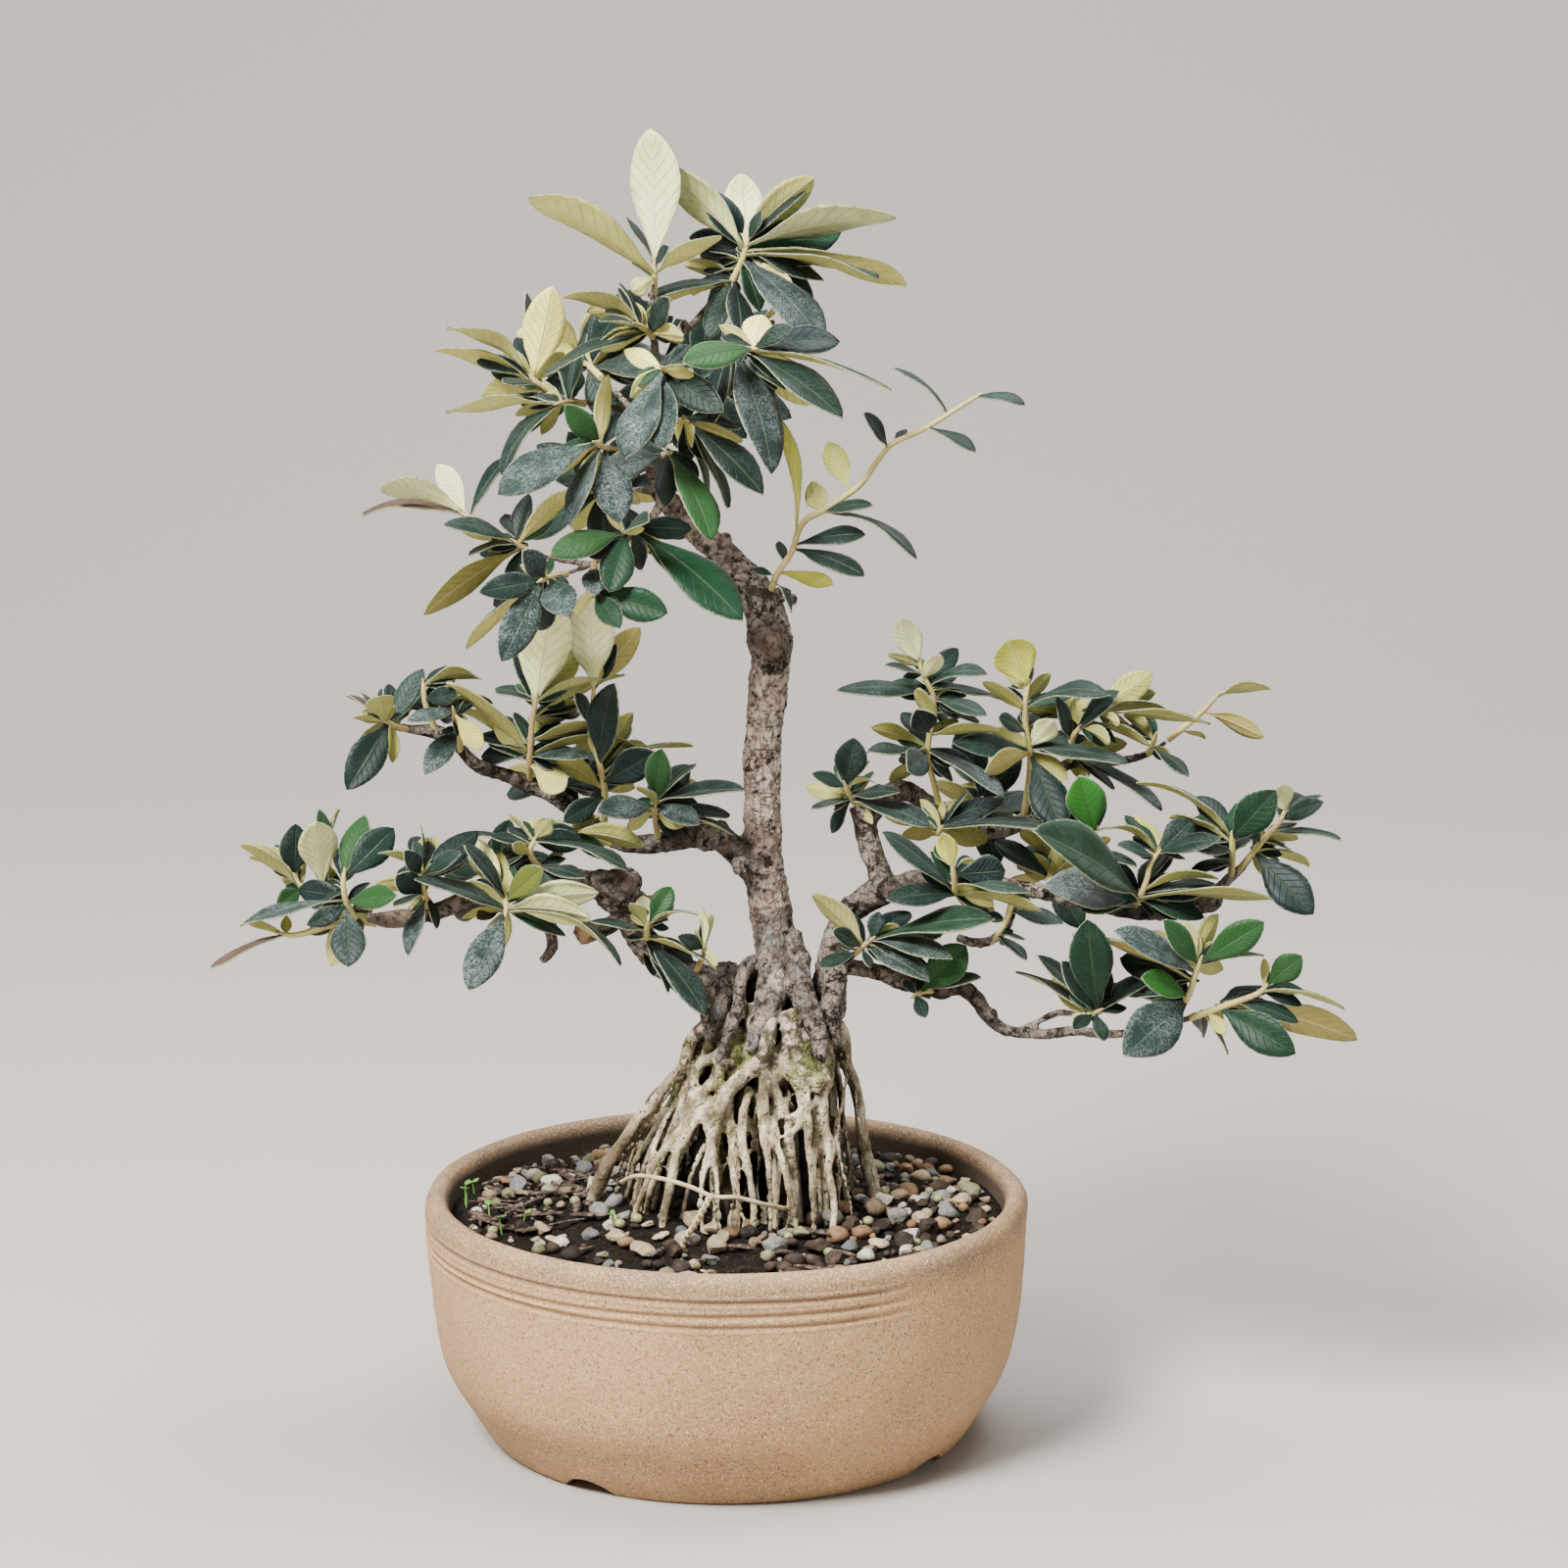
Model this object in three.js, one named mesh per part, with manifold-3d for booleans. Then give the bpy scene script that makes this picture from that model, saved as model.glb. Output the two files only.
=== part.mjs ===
// A himalayan cotoneaster grown as a bonsai, standing in its round stoneware bowl.
// Millimetres, +Z up, the viewer looks along +Y. The bowl is measured; the tree's places are
// read off one front view as [across, down] in that view's 1600 x 1600 frame, each with a
// depth in mm behind the bowl's axis, and carried into space through the viewpoint.
import * as THREE from "three";
import { mergeVertices } from "three/addons/utils/BufferGeometryUtils.js";
import Module from "manifold-3d";

// Driving dimensions
const POT_RADIUS = 100;
const POT_HEIGHT = 83;
const POT_WALL = 7.8;
const FOOT_RADIUS = 78;
const FOOT_HEIGHT = 5;
const NOTCH_WIDTH = 20;
const NOTCH_ANGLES = [-34, 56, 146, 236];
const DRAIN_RADIUS = 9;
const SOIL_EDGE = 74;
const SOIL_CROWN = 80;
const CLEARANCE = 0.3;
const LEAF_THICKNESS = 0.9;
const WIRE_RADIUS = 0.8;

// The viewpoint that the tree's places were read from
const VIEW_EYE = new THREE.Vector3(19.03, -1725.9, 594.2);
const VIEW_PITCH = THREE.MathUtils.degToRad(12.23);
const VIEW_FOCAL = 5515;
const VIEW_CENTRE = 800;
const LOOK = new THREE.Vector3(0, Math.cos(VIEW_PITCH), -Math.sin(VIEW_PITCH));

// Limbs of the grown wood: name, then [across, down, depth, thickness in the view] along it
const LIMBS = [
  ["trunk", [[796, 1075, 4, 62], [803, 1006, 2, 50], [793, 971, 1, 47], [788, 936, 0, 46], [782, 901, 0, 44],
    [778, 866, 0, 42], [778, 813, 0, 39], [778, 760, 0, 39], [785, 690, 0, 42], [786, 652, -1, 50],
    [778, 618, -1, 42], [760, 590, 0, 35], [732, 560, 2, 30], [698, 531, 4, 27], [672, 500, 5, 22]]],
  ["knot", [[772, 640, -6, 20], [784, 655, -11, 24], [796, 668, -7, 16]]],
  ["c_leader", [[676, 505, 4, 21], [662, 470, 5, 18], [667, 430, 3, 16], [674, 392, 0, 13], [690, 345, -2, 10],
    [700, 325, -2, 7]]],
  ["c_top_left", [[674, 395, 0, 11], [667, 345, -5, 9], [666, 305, -8, 7], [667, 288, -10, 5]]],
  ["c_top_right", [[688, 350, -2, 9], [722, 314, 4, 8], [746, 290, 7, 6], [754, 274, 6, 5]]],
  ["c_right", [[676, 385, 0, 9], [712, 362, -8, 7], [750, 358, -18, 5]]],
  ["c_left", [[667, 430, 3, 11], [622, 414, -4, 8], [582, 408, -9, 7], [554, 397, -11, 5]]],
  ["c_mid_left", [[663, 466, 5, 9], [640, 462, -10, 7], [620, 459, -21, 5]]],
  ["c_low", [[680, 510, 5, 12], [656, 538, -12, 10], [632, 556, -20, 8], [603, 576, -26, 7], [572, 588, -30, 5]]],
  ["c_far_left", [[603, 576, -26, 7], [560, 569, -22, 6], [530, 557, -19, 5], [496, 539, -17, 4]]],
  ["c_back", [[667, 430, 3, 9], [690, 418, 18, 8], [704, 402, 32, 6]]],
  ["c_back_left", [[664, 440, 4, 9], [640, 412, 18, 8], [612, 384, 32, 6]]],
  ["c_back_low", [[676, 505, 5, 10], [652, 500, 18, 8], [628, 508, 32, 6]]],
  ["left_mid", [[782, 905, 0, 34], [762, 880, 1, 30], [738, 856, 2, 30], [712, 852, 4, 30], [697, 857, 5, 24],
    [661, 862, 7, 20], [626, 858, 9, 18], [600, 838, 10, 18], [570, 815, 12, 19], [540, 800, 14, 19],
    [512, 790, 13, 16], [484, 779, 11, 15], [467, 762, 10, 12], [447, 748, 9, 16], [420, 744, 7, 11],
    [404, 742, 4, 8]]],
  ["left_mid_knob", [[742, 868, -2, 14], [726, 848, -7, 26], [716, 840, -6, 14]]],
  ["left_low", [[790, 1030, 0, 44], [745, 1012, 0, 44], [716, 1004, -3, 42], [684, 986, -6, 34],
    [658, 964, -9, 32], [640, 932, -11, 34], [622, 908, -12, 36], [594, 900, -14, 26], [556, 892, -16, 22],
    [504, 905, -18, 18], [452, 928, -20, 20], [405, 938, -22, 20], [374, 936, -24, 10]]],
  ["left_low_knob", [[622, 925, -14, 34], [636, 902, -16, 40], [650, 900, -13, 20]]],
  ["left_low_stub", [[636, 938, -14, 16], [606, 950, -20, 24], [592, 953, -24, 25]]],
  ["left_low_spur", [[556, 892, -16, 12], [558, 934, -20, 14], [564, 966, -21, 13], [552, 981, -22, 9]]],
  ["left_low_snag", [[452, 928, -20, 10], [440, 942, -21, 7]]],
  ["right_stump", [[806, 1080, 2, 44], [840, 1040, 2, 40], [847, 1000, 1, 34], [852, 966, 0, 32],
    [860, 940, -1, 28], [880, 922, -3, 30], [904, 906, -4, 34]]],
  ["right_up", [[904, 908, -4, 28], [894, 882, -1, 25], [884, 850, 3, 26], [882, 824, 6, 30]]],
  ["right_up_knob", [[884, 830, 4, 20], [892, 818, 6, 22], [898, 810, 8, 14]]],
  ["right_top", [[884, 836, 5, 22], [918, 806, 10, 24], [952, 824, 14, 22], [1000, 845, 18, 22],
    [1044, 838, 20, 18], [1082, 784, 18, 14], [1124, 780, 14, 10], [1152, 774, 12, 9], [1176, 767, 10, 8],
    [1190, 757, 8, 6]]],
  ["right_mid", [[900, 910, -4, 24], [926, 900, -6, 22], [952, 896, -8, 20], [1010, 900, -10, 16],
    [1064, 911, -12, 18], [1122, 922, -12, 18], [1156, 930, -12, 18], [1196, 929, -12, 16],
    [1242, 922, -12, 18]]],
  ["right_mid_rise", [[1222, 924, -12, 12], [1248, 902, -12, 13], [1266, 886, -12, 10], [1279, 870, -14, 7]]],
  ["right_low", [[850, 985, 2, 20], [890, 990, -4, 18], [926, 1004, -10, 18], [956, 1008, -14, 20],
    [978, 1006, -16, 20], [996, 1018, -18, 18], [1008, 1036, -18, 16], [1024, 1050, -19, 13],
    [1060, 1056, -20, 12], [1094, 1052, -21, 12], [1142, 1056, -23, 10], [1186, 1046, -25, 8],
    [1216, 1038, -26, 7]]],
  ["right_low_twig", [[1040, 1052, -20, 8], [1064, 1040, -19, 8], [1082, 1032, -19, 8], [1102, 1036, -21, 6]]],
  ["right_moss", [[1040, 908, -12, 9], [1026, 948, -10, 9], [1000, 962, -8, 12], [976, 956, -8, 9]]],
];

// Exposed roots, read off the same view. Their depth follows the cone that they stand on.
const ROOTS = [
  [[722, 1035, 16], [710, 1053, 14], [692, 1094, 13], [664, 1127, 13], [636, 1165, 14], [618, 1193, 16],
    [606, 1226, 16], [598, 1256, 12]],
  [[730, 1090, 10], [718, 1112, 10], [700, 1140, 9], [682, 1168, 9], [667, 1188, 9], [656, 1215, 8],
    [645, 1250, 7]],
  [[734, 1112, 12], [713, 1135, 13], [697, 1165, 12], [687, 1190, 11], [679, 1232, 10], [670, 1276, 7]],
  [[752, 1050, 14], [733, 1076, 13], [713, 1089, 12], [705, 1117, 10], [694, 1145, 8]],
  [[746, 990, 13], [756, 1010, 12], [753, 1033, 12], [746, 1053, 12], [738, 1079, 12], [730, 1112, 11]],
  [[780, 1010, 18], [784, 1053, 18], [776, 1079, 18], [759, 1096, 18], [743, 1114, 17], [730, 1146, 14],
    [722, 1180, 9], [716, 1215, 7]],
  [[723, 1119, 8], [720, 1142, 8], [727, 1178, 7], [734, 1216, 6]],
  [[759, 1110, 11], [757, 1142, 10], [761, 1173, 10], [765, 1198, 9], [770, 1236, 8]],
  [[785, 1085, 14], [780, 1109, 13], [781, 1137, 13], [778, 1160, 11], [784, 1190, 8], [786, 1230, 7]],
  [[789, 1130, 10], [792, 1160, 9], [797, 1183, 9], [804, 1209, 9], [812, 1246, 8]],
  [[744, 1150, 7], [748, 1178, 6], [753, 1206, 6], [757, 1240, 5]],
  [[816, 1046, 14], [836, 1072, 11], [848, 1100, 10], [833, 1124, 9], [802, 1142, 9]],
  [[842, 1120, 9], [818, 1143, 8], [800, 1160, 8]],
  [[826, 1085, 18], [838, 1112, 14], [843, 1150, 11], [848, 1170, 11], [845, 1193, 10], [850, 1226, 9]],
  [[858, 1030, 9], [863, 1079, 6], [861, 1117, 6], [854, 1160, 5], [862, 1200, 5]],
  [[860, 1060, 7], [871, 1105, 5], [875, 1142, 5], [888, 1190, 4]],
  [[802, 1070, 22], [812, 1098, 22], [822, 1130, 12], [826, 1180, 9], [830, 1230, 7]],
];

// Where the tie wire runs, and its twisted tail
const WIRE_LINE = [[634, 1206, -24], [650, 1200, -36], [676, 1203, -46], [704, 1211, -50], [728, 1221, -52],
  [752, 1222, -52], [780, 1229, -48], [806, 1234, -36]];
const WIRE_TAIL = [[726, 1219, -52], [718, 1234, -53], [710, 1249, -53], [700, 1262, -52], [696, 1274, -50]];

// Shapes of the small repeats
const POT_SIDES = 32;
const STONE_COUNT = 14;
const TURNED_ROOTS = [0, 3, 5, 7, 8, 13, 15];
const CORE_SHARE = [0.88, 0.74];
const ROOT_SPRING = 0.78;
const ROOT_SIDES = 4;
const TRUNK_SIDES = 9;
const LIMB_SIDES = 6;
const SLIM_LIMB = 13;
const SLIM_SIDES = 4;
const TWIG_SIDES = 3;
const TWIG_RADIUS = 1.3;
const TWIG_TAPER = 0.5;
const BUD_LENGTH = 2.6;
const BLADE_START = 0.4;
const LEAF_SLIMNESS = 0.4;
const SMALL_LEAF = 16;
const BLADE = [[0.36, 0.8], [0.64, 1], [0.87, 0.62]];
const SMALL_BLADE = [[0.42, 0.9], [0.8, 0.75]];
const BENDS = [0, 5, -5, 10, -10, 15, -15, 20, -20, 26, -26];

// Leafy sprays: name, the twig's [across, down, depth], then each leaf as [across, down] on the twig,
// [across, down] of its tip, the width shown (below zero: its underside), the tip's reach in depth
// in mm and, where it isn't slight, its arch as a share of its length
const SPRAYS = [
  ["crown_apex", [
    [667, 300, -8], [668, 283, -10], [668, 270, -10]],
    [[668, 275, 663, 131, -52, 6], [650, 280, 540, 200, -28, -20], [667, 268, 638, 220, 8, 10],
    [681, 279, 736, 240, -18, -12], [686, 283, 645, 298, -20, -14], [668, 272, 682, 251, 8, -8],
    [653, 284, 646, 267, 8, 10]]],
  ["crown_top_right", [
    [748, 286, 6], [757, 268, 5], [762, 250, 4]],
    [[752, 252, 675, 168, -36, -10], [758, 250, 756, 177, -41, 8], [765, 248, 777, 215, 10, 0],
    [771, 245, 914, 221, -26, -6], [768, 256, 845, 258, 12, 14], [768, 258, 925, 291, -12, 10],
    [768, 262, 897, 282, -14, -14], [762, 266, 840, 350, 34, -26], [742, 284, 723, 346, 24, -12],
    [744, 284, 756, 349, 28, -22], [725, 285, 661, 301, 8, -10], [722, 287, 662, 310, -10, 6],
    [750, 270, 706, 300, -12, 26], [752, 264, 715, 262, -8, 18]]],
  ["crown_upper_left", [
    [667, 345, -4], [660, 336, -14], [650, 331, -20]],
    [[662, 335, 573, 303, -16, -8, 0.14], [655, 332, 632, 289, 8, 8], [662, 335, 612, 327, 7, -16],
    [655, 334, 610, 322, -12, 6], [660, 340, 556, 381, 15, -20], [660, 340, 612, 357, -16, -26],
    [664, 340, 683, 304, 22, -14], [664, 340, 698, 342, -20, -16], [662, 338, 670, 318, 12, -6],
    [658, 336, 600, 318, -14, 24]]],
  ["crown_right", [
    [745, 358, -16], [758, 357, -22], [768, 356, -26]],
    [[768, 357, 697, 370, 30, -18], [768, 355, 778, 322, -34, 10], [768, 350, 808, 333, 18, -6],
    [765, 356, 792, 315, 6, 14], [768, 356, 823, 361, 10, 12], [768, 358, 910, 397, -9, -6],
    [768, 360, 815, 385, -18, 12], [760, 360, 860, 427, 26, -16], [750, 362, 788, 483, 44, -26],
    [764, 360, 742, 400, 16, 20]]],
  ["crown_front", [
    [676, 388, -2], [679, 381, -18], [676, 375, -34]],
    [[675, 372, 732, 367, 5, -8], [676, 378, 637, 357, -20, 6], [672, 380, 638, 468, 36, -22],
    [676, 380, 677, 457, 35, -26], [680, 378, 737, 420, 36, -18], [677, 376, 704, 352, 14, 4]]],
  ["crown_left", [
    [560, 398, -10], [548, 392, -12], [541, 382, -12]],
    [[541, 380, 456, 335, -14, -10, 0.12], [541, 388, 564, 292, -44, -6], [541, 384, 537, 297, 8, 16],
    [553, 396, 443, 357, -15, 10], [553, 394, 513, 390, 5, -16]]],
  ["crown_left_low", [
    [596, 412, -8], [580, 410, -18], [570, 412, -24]],
    [[570, 412, 455, 421, -11, -6], [570, 412, 520, 411, -9, 10], [572, 410, 522, 403, 8, 16],
    [574, 414, 512, 485, 14, -14, 0.12], [582, 408, 597, 340, 10, 12]]],
  ["crown_mid_left", [
    [630, 460, -16], [616, 457, -26], [608, 452, -32]],
    [[613, 455, 577, 413, 26, -6], [614, 452, 620, 382, -20, 8], [608, 452, 508, 505, 40, -16],
    [612, 456, 581, 537, 24, -14], [616, 460, 632, 533, 42, -16]]],
  ["crown_mid_right", [
    [670, 428, 2], [688, 428, -14], [700, 430, -24]],
    [[700, 426, 758, 450, -12, -4], [698, 430, 707, 455, -10, -14], [700, 432, 779, 505, 30, -14],
    [690, 430, 725, 470, 14, 8], [698, 432, 724, 510, 12, 14], [700, 432, 744, 518, 10, 4]]],
  ["crown_low_mid", [
    [664, 474, 4], [676, 464, -16], [684, 462, -26]],
    [[676, 460, 612, 482, 30, -18], [684, 465, 726, 551, 28, -20], [682, 464, 700, 520, 10, 8]]],
  ["crown_low", [
    [657, 538, -14], [650, 544, -26], [638, 543, -34]],
    [[636, 543, 562, 566, 30, -14], [640, 543, 622, 604, 36, -12], [636, 541, 662, 531, 8, -20],
    [654, 546, 758, 633, 44, -18], [644, 545, 655, 582, 16, 8], [652, 544, 682, 584, 8, 10]]],
  ["crown_low_left", [
    [606, 574, -26], [608, 590, -32], [607, 603, -36]],
    [[612, 578, 606, 607, 26, -18], [610, 603, 681, 626, 36, -8], [607, 603, 632, 641, 26, -16],
    [606, 600, 588, 628, -12, 10]]],
  ["crown_left_tip", [
    [545, 565, -22], [535, 560, -24], [527, 554, -26]],
    [[530, 552, 453, 535, 17, -10, 0.1], [530, 556, 473, 543, -8, 6], [528, 554, 478, 566, 6, -6, 0.1],
    [527, 556, 583, 500, -22, 4], [532, 560, 432, 627, -28, -12]]],
  ["crown_low_front", [
    [578, 586, -29], [562, 588, -36], [553, 592, -40]],
    [[556, 588, 534, 562, 26, -16], [552, 592, 489, 604, 28, -10], [553, 592, 475, 661, -14, 10],
    [553, 594, 512, 675, 38, -12], [560, 588, 580, 629, 38, -22]]],
  ["crown_far_left", [
    [500, 541, -17], [486, 531, -18], [476, 526, -18]],
    [[476, 526, 388, 497, -25, -8, 0.16], [478, 524, 447, 474, -26, 12],
    [478, 526, 370, 524, 10, 14, 0.1], [480, 525, 517, 467, 12, 6]]],
  ["shoot_right", [
    [786, 606, -2], [789, 590, -8], [810, 562, -10], [813, 544, -10], [822, 529, -12], [838, 523, -14],
    [863, 506, -14], [879, 495, -12], [894, 472, -12], [909, 452, -14], [930, 444, -16], [950, 434, -18],
    [970, 421, -18], [996, 405, -20]],
    [[996, 406, 1046, 412, 10, -4, 0.1], [966, 420, 910, 375, 4, 6, 0.1], [947, 436, 996, 461, 12, -8],
    [906, 456, 882, 421, 12, -8], [912, 451, 925, 438, 8, 6], [868, 503, 845, 451, -26, 6],
    [838, 523, 828, 492, -24, 10], [841, 522, 890, 515, 14, -8], [840, 523, 936, 569, 5, -10, 0.12],
    [812, 556, 883, 545, 18, -6], [812, 560, 882, 587, 22, -14], [794, 584, 850, 596, -13, 6],
    [792, 588, 768, 581, 8, 10], [800, 575, 795, 552, 10, 8], [813, 544, 785, 412, -18, 8, 0.08],
    [790, 592, 808, 625, 6, -4, 0.12]]],
  ["left_mid_tip", [
    [415, 744, 6], [402, 741, 2], [394, 736, 0]],
    [[396, 738, 354, 806, 38, -12], [394, 737, 385, 710, -30, -14], [400, 738, 432, 682, 24, 8],
    [395, 737, 368, 706, 8, 10], [396, 739, 361, 732, -8, 4], [400, 740, 415, 720, 12, 14],
    [394, 736, 354, 709, 3, -2]]],
  ["left_mid_up", [
    [447, 752, 9], [438, 730, 6], [433, 714, 4], [432, 700, 4]],
    [[432, 700, 491, 693, -14, -6, 0.2], [433, 714, 467, 707, 20, -10], [433, 712, 503, 717, -7, 8],
    [436, 726, 412, 716, 10, 8]]],
  ["left_mid_second", [
    [470, 768, 10], [467, 745, 2], [463, 726, -4]],
    [[466, 745, 434, 790, 26, -16], [463, 726, 416, 735, 16, -10], [464, 728, 492, 764, -22, -8],
    [465, 735, 482, 716, 8, 10]]],
  ["left_mid_third", [
    [541, 799, 14], [540, 782, 8], [541, 765, 4], [543, 735, 2], [547, 714, 0]],
    [[541, 770, 456, 696, -14, -8], [541, 768, 457, 722, -16, 4, 0.08], [540, 776, 498, 757, 12, 8],
    [541, 768, 512, 733, 18, 14], [545, 722, 563, 605, -56, -10], [547, 716, 590, 662, -30, 6],
    [547, 716, 616, 692, -8, -6, 0.08], [544, 732, 637, 688, -12, 10],
    [541, 770, 655, 768, -8, -10, 0.12], [541, 772, 600, 772, 12, -14], [542, 755, 625, 742, -14, 6],
    [547, 716, 506, 702, 12, 16], [540, 780, 577, 806, -30, -14]]],
  ["left_mid_fourth", [
    [616, 848, 10], [618, 815, 4], [616, 798, 0], [607, 760, 2], [604, 735, 4], [606, 700, 6]],
    [[606, 700, 600, 602, -50, -6], [606, 700, 653, 640, -30, 8], [605, 742, 586, 708, 12, -10],
    [605, 742, 595, 716, -8, 8], [612, 780, 627, 697, 30, -14], [617, 798, 668, 768, 36, -16],
    [614, 790, 707, 761, -7, 12, 0.12], [617, 806, 563, 766, -22, -8], [617, 812, 575, 838, 24, -12]]],
  ["left_mid_front", [
    [672, 856, 6], [668, 836, -6], [669, 818, -14]],
    [[669, 818, 675, 764, 28, -12], [668, 822, 610, 828, 24, -18], [669, 818, 760, 806, 14, -10],
    [669, 818, 720, 800, 6, 4], [669, 820, 703, 780, 26, 10], [669, 822, 713, 841, 22, -16],
    [669, 820, 756, 801, -5, 16], [669, 824, 745, 832, 14, 6], [668, 828, 748, 850, 8, -4],
    [669, 820, 652, 802, -8, -12], [668, 828, 700, 842, -20, -4], [668, 828, 640, 845, -14, -10],
    [669, 818, 710, 779, 7, 14]]],
  ["left_mid_low", [
    [592, 830, 11], [584, 845, -2], [577, 856, -10]],
    [[578, 855, 548, 838, -20, -8], [582, 848, 658, 862, -22, -14], [580, 852, 605, 835, -14, 4],
    [580, 852, 552, 860, 8, -8]]],
  ["left_low_tip", [
    [362, 937, -24], [354, 925, -28], [350, 905, -30], [351, 893, -30]],
    [[352, 896, 402, 845, 36, 8], [350, 900, 362, 858, 20, 14], [350, 903, 372, 832, 26, 16],
    [354, 922, 404, 913, 24, -12], [352, 918, 245, 944, 14, -6], [354, 925, 356, 986, 37, -16],
    [354, 925, 313, 944, 20, -8], [356, 928, 338, 986, -26, 4], [358, 932, 383, 945, -14, 6],
    [351, 910, 318, 925, 12, 10]]],
  ["left_low_left", [
    [360, 934, -23], [340, 910, -18], [325, 906, -16], [306, 906, -16], [300, 892, -16]],
    [[301, 890, 302, 840, 32, -8], [330, 906, 322, 838, -42, -12], [306, 904, 246, 861, -8, -6],
    [301, 892, 262, 862, -8, 6], [302, 896, 275, 865, -12, 10], [302, 896, 255, 874, 4, 2],
    [308, 906, 283, 925, 22, -8], [330, 906, 326, 826, 16, 10], [335, 907, 345, 826, 14, 14]]],
  ["left_low_under", [
    [352, 938, -24], [320, 950, -30], [300, 955, -32], [289, 953, -32]],
    [[290, 953, 215, 987, 8, -4], [292, 954, 292, 935, -12, 6], [290, 953, 254, 942, -8, 4]]],
  ["left_low_second", [
    [438, 930, -20], [433, 912, -28], [430, 896, -32], [430, 884, -32]],
    [[430, 890, 386, 870, -8, -6, 0.16], [431, 892, 413, 868, 18, -10], [430, 886, 424, 857, 12, 6],
    [431, 888, 429, 842, 8, 12], [431, 894, 470, 871, 18, -8], [432, 898, 488, 848, 30, 12],
    [433, 912, 405, 893, 26, -12], [432, 904, 382, 905, -14, 6], [433, 912, 402, 925, 6, -14],
    [434, 916, 416, 975, 18, -14]]],
  ["left_low_third", [
    [512, 906, -18], [517, 920, -30], [516, 931, -36]],
    [[517, 918, 474, 862, 16, -6], [517, 920, 553, 886, 26, -14], [516, 915, 548, 884, 16, 8],
    [517, 926, 603, 935, -26, -20], [516, 928, 423, 896, 20, -8], [516, 930, 478, 1010, 38, -16],
    [517, 930, 634, 984, 8, -16, 0.14], [517, 922, 560, 905, 14, 2], [514, 912, 463, 933, 26, 6],
    [515, 916, 487, 938, 18, -6], [514, 910, 478, 854, -28, 8], [514, 910, 490, 876, -12, 14],
    [517, 924, 611, 910, -30, 14]]],
  ["left_low_fourth", [
    [558, 893, -16], [545, 880, -20], [540, 868, -22], [546, 856, -22]],
    [[541, 872, 523, 861, -14, -8], [540, 868, 480, 849, 4, 4], [545, 858, 520, 831, -5, 6],
    [546, 857, 560, 836, -22, -6], [542, 862, 500, 853, 8, 10], [545, 858, 640, 886, 8, -10, 0.08],
    [550, 885, 597, 896, 12, -12], [550, 885, 570, 920, 18, -14]]],
  ["left_low_inner", [
    [662, 968, -8], [659, 952, -18], [661, 943, -22]],
    [[659, 946, 644, 921, -14, -8], [661, 944, 655, 914, -20, 4], [661, 944, 685, 905, 24, 6],
    [661, 944, 712, 933, -5, -4, 0.16], [659, 950, 603, 940, 8, -10], [660, 956, 731, 988, -6, -12],
    [660, 960, 720, 1036, 26, -16], [661, 946, 681, 936, 8, 10], [660, 956, 640, 957, 6, 8]]],
  ["left_low_right", [
    [708, 996, -5], [717, 978, -18], [719, 966, -22]],
    [[719, 966, 716, 924, -8, -4], [719, 965, 727, 933, -6, 4], [718, 968, 692, 955, 16, -8],
    [718, 970, 733, 984, -10, -8]]],
  ["right_knob", [
    [878, 826, 6], [868, 815, -2], [863, 802, -6]],
    [[863, 802, 872, 753, 34, -8], [864, 804, 829, 789, 14, -4], [867, 812, 822, 803, -20, 6],
    [868, 815, 828, 825, 8, -8], [864, 804, 893, 798, -6, -4, 0.2], [867, 812, 918, 808, 16, -12],
    [869, 816, 948, 843, 16, -18], [868, 816, 848, 850, 14, 4]]],
  ["right_top_apex", [
    [960, 828, 14], [952, 795, 8], [945, 772, 4], [950, 740, 2], [955, 712, 0], [943, 692, -2],
    [938, 676, -2]],
    [[938, 676, 918, 631, -30, -6], [938, 680, 906, 668, -8, 6], [941, 688, 903, 679, 7, -8],
    [943, 692, 960, 668, -18, -10], [945, 694, 978, 662, 22, 6], [948, 700, 1007, 687, 12, -8, 0.14],
    [950, 703, 1022, 713, 7, 10], [952, 706, 854, 704, 22, -10], [950, 742, 938, 702, -16, -14],
    [955, 714, 1007, 730, 16, -10], [953, 725, 1000, 736, 10, 8], [949, 748, 936, 724, 28, -18],
    [947, 762, 889, 742, -16, 8], [946, 768, 884, 767, 10, -6], [946, 768, 926, 786, 32, -20],
    [946, 774, 908, 798, -16, 4], [949, 750, 1020, 744, -14, -8], [947, 765, 1025, 812, 14, -16],
    [947, 780, 985, 783, 4, 6], [954, 712, 968, 704, -6, 8]]],
  ["right_top_mid", [
    [1044, 838, 20], [1050, 800, 12], [1052, 766, 6], [1046, 740, 4], [1046, 715, 2], [1049, 700, 2]],
    [[1049, 700, 1028, 653, -46, -8], [1048, 704, 1025, 684, -12, 8], [1046, 725, 1003, 695, -16, -6],
    [1046, 722, 1133, 709, 12, -8, 0.14], [1048, 748, 1019, 732, 14, -12],
    [1051, 762, 1075, 735, -26, -10], [1051, 766, 972, 758, 24, -10], [1052, 768, 1005, 787, -20, -16],
    [1052, 770, 1084, 847, 42, -20], [1052, 764, 1150, 778, 14, -16], [1047, 742, 1078, 727, 4, 8]]],
  ["right_top_right", [
    [1092, 780, 18], [1092, 762, 10], [1096, 748, 6], [1108, 738, 4], [1122, 728, 2]],
    [[1093, 757, 1078, 711, 14, -6], [1097, 748, 1142, 705, 16, -8], [1102, 742, 1097, 706, -26, 8],
    [1112, 736, 1173, 760, -6, -6], [1104, 741, 1133, 757, -12, -14], [1122, 728, 1143, 738, -10, -10],
    [1122, 728, 1192, 726, -12, 4, 0.12], [1122, 728, 1235, 738, -8, -12],
    [1092, 770, 1186, 826, 14, -16]]],
  ["right_top_tip", [
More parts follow.
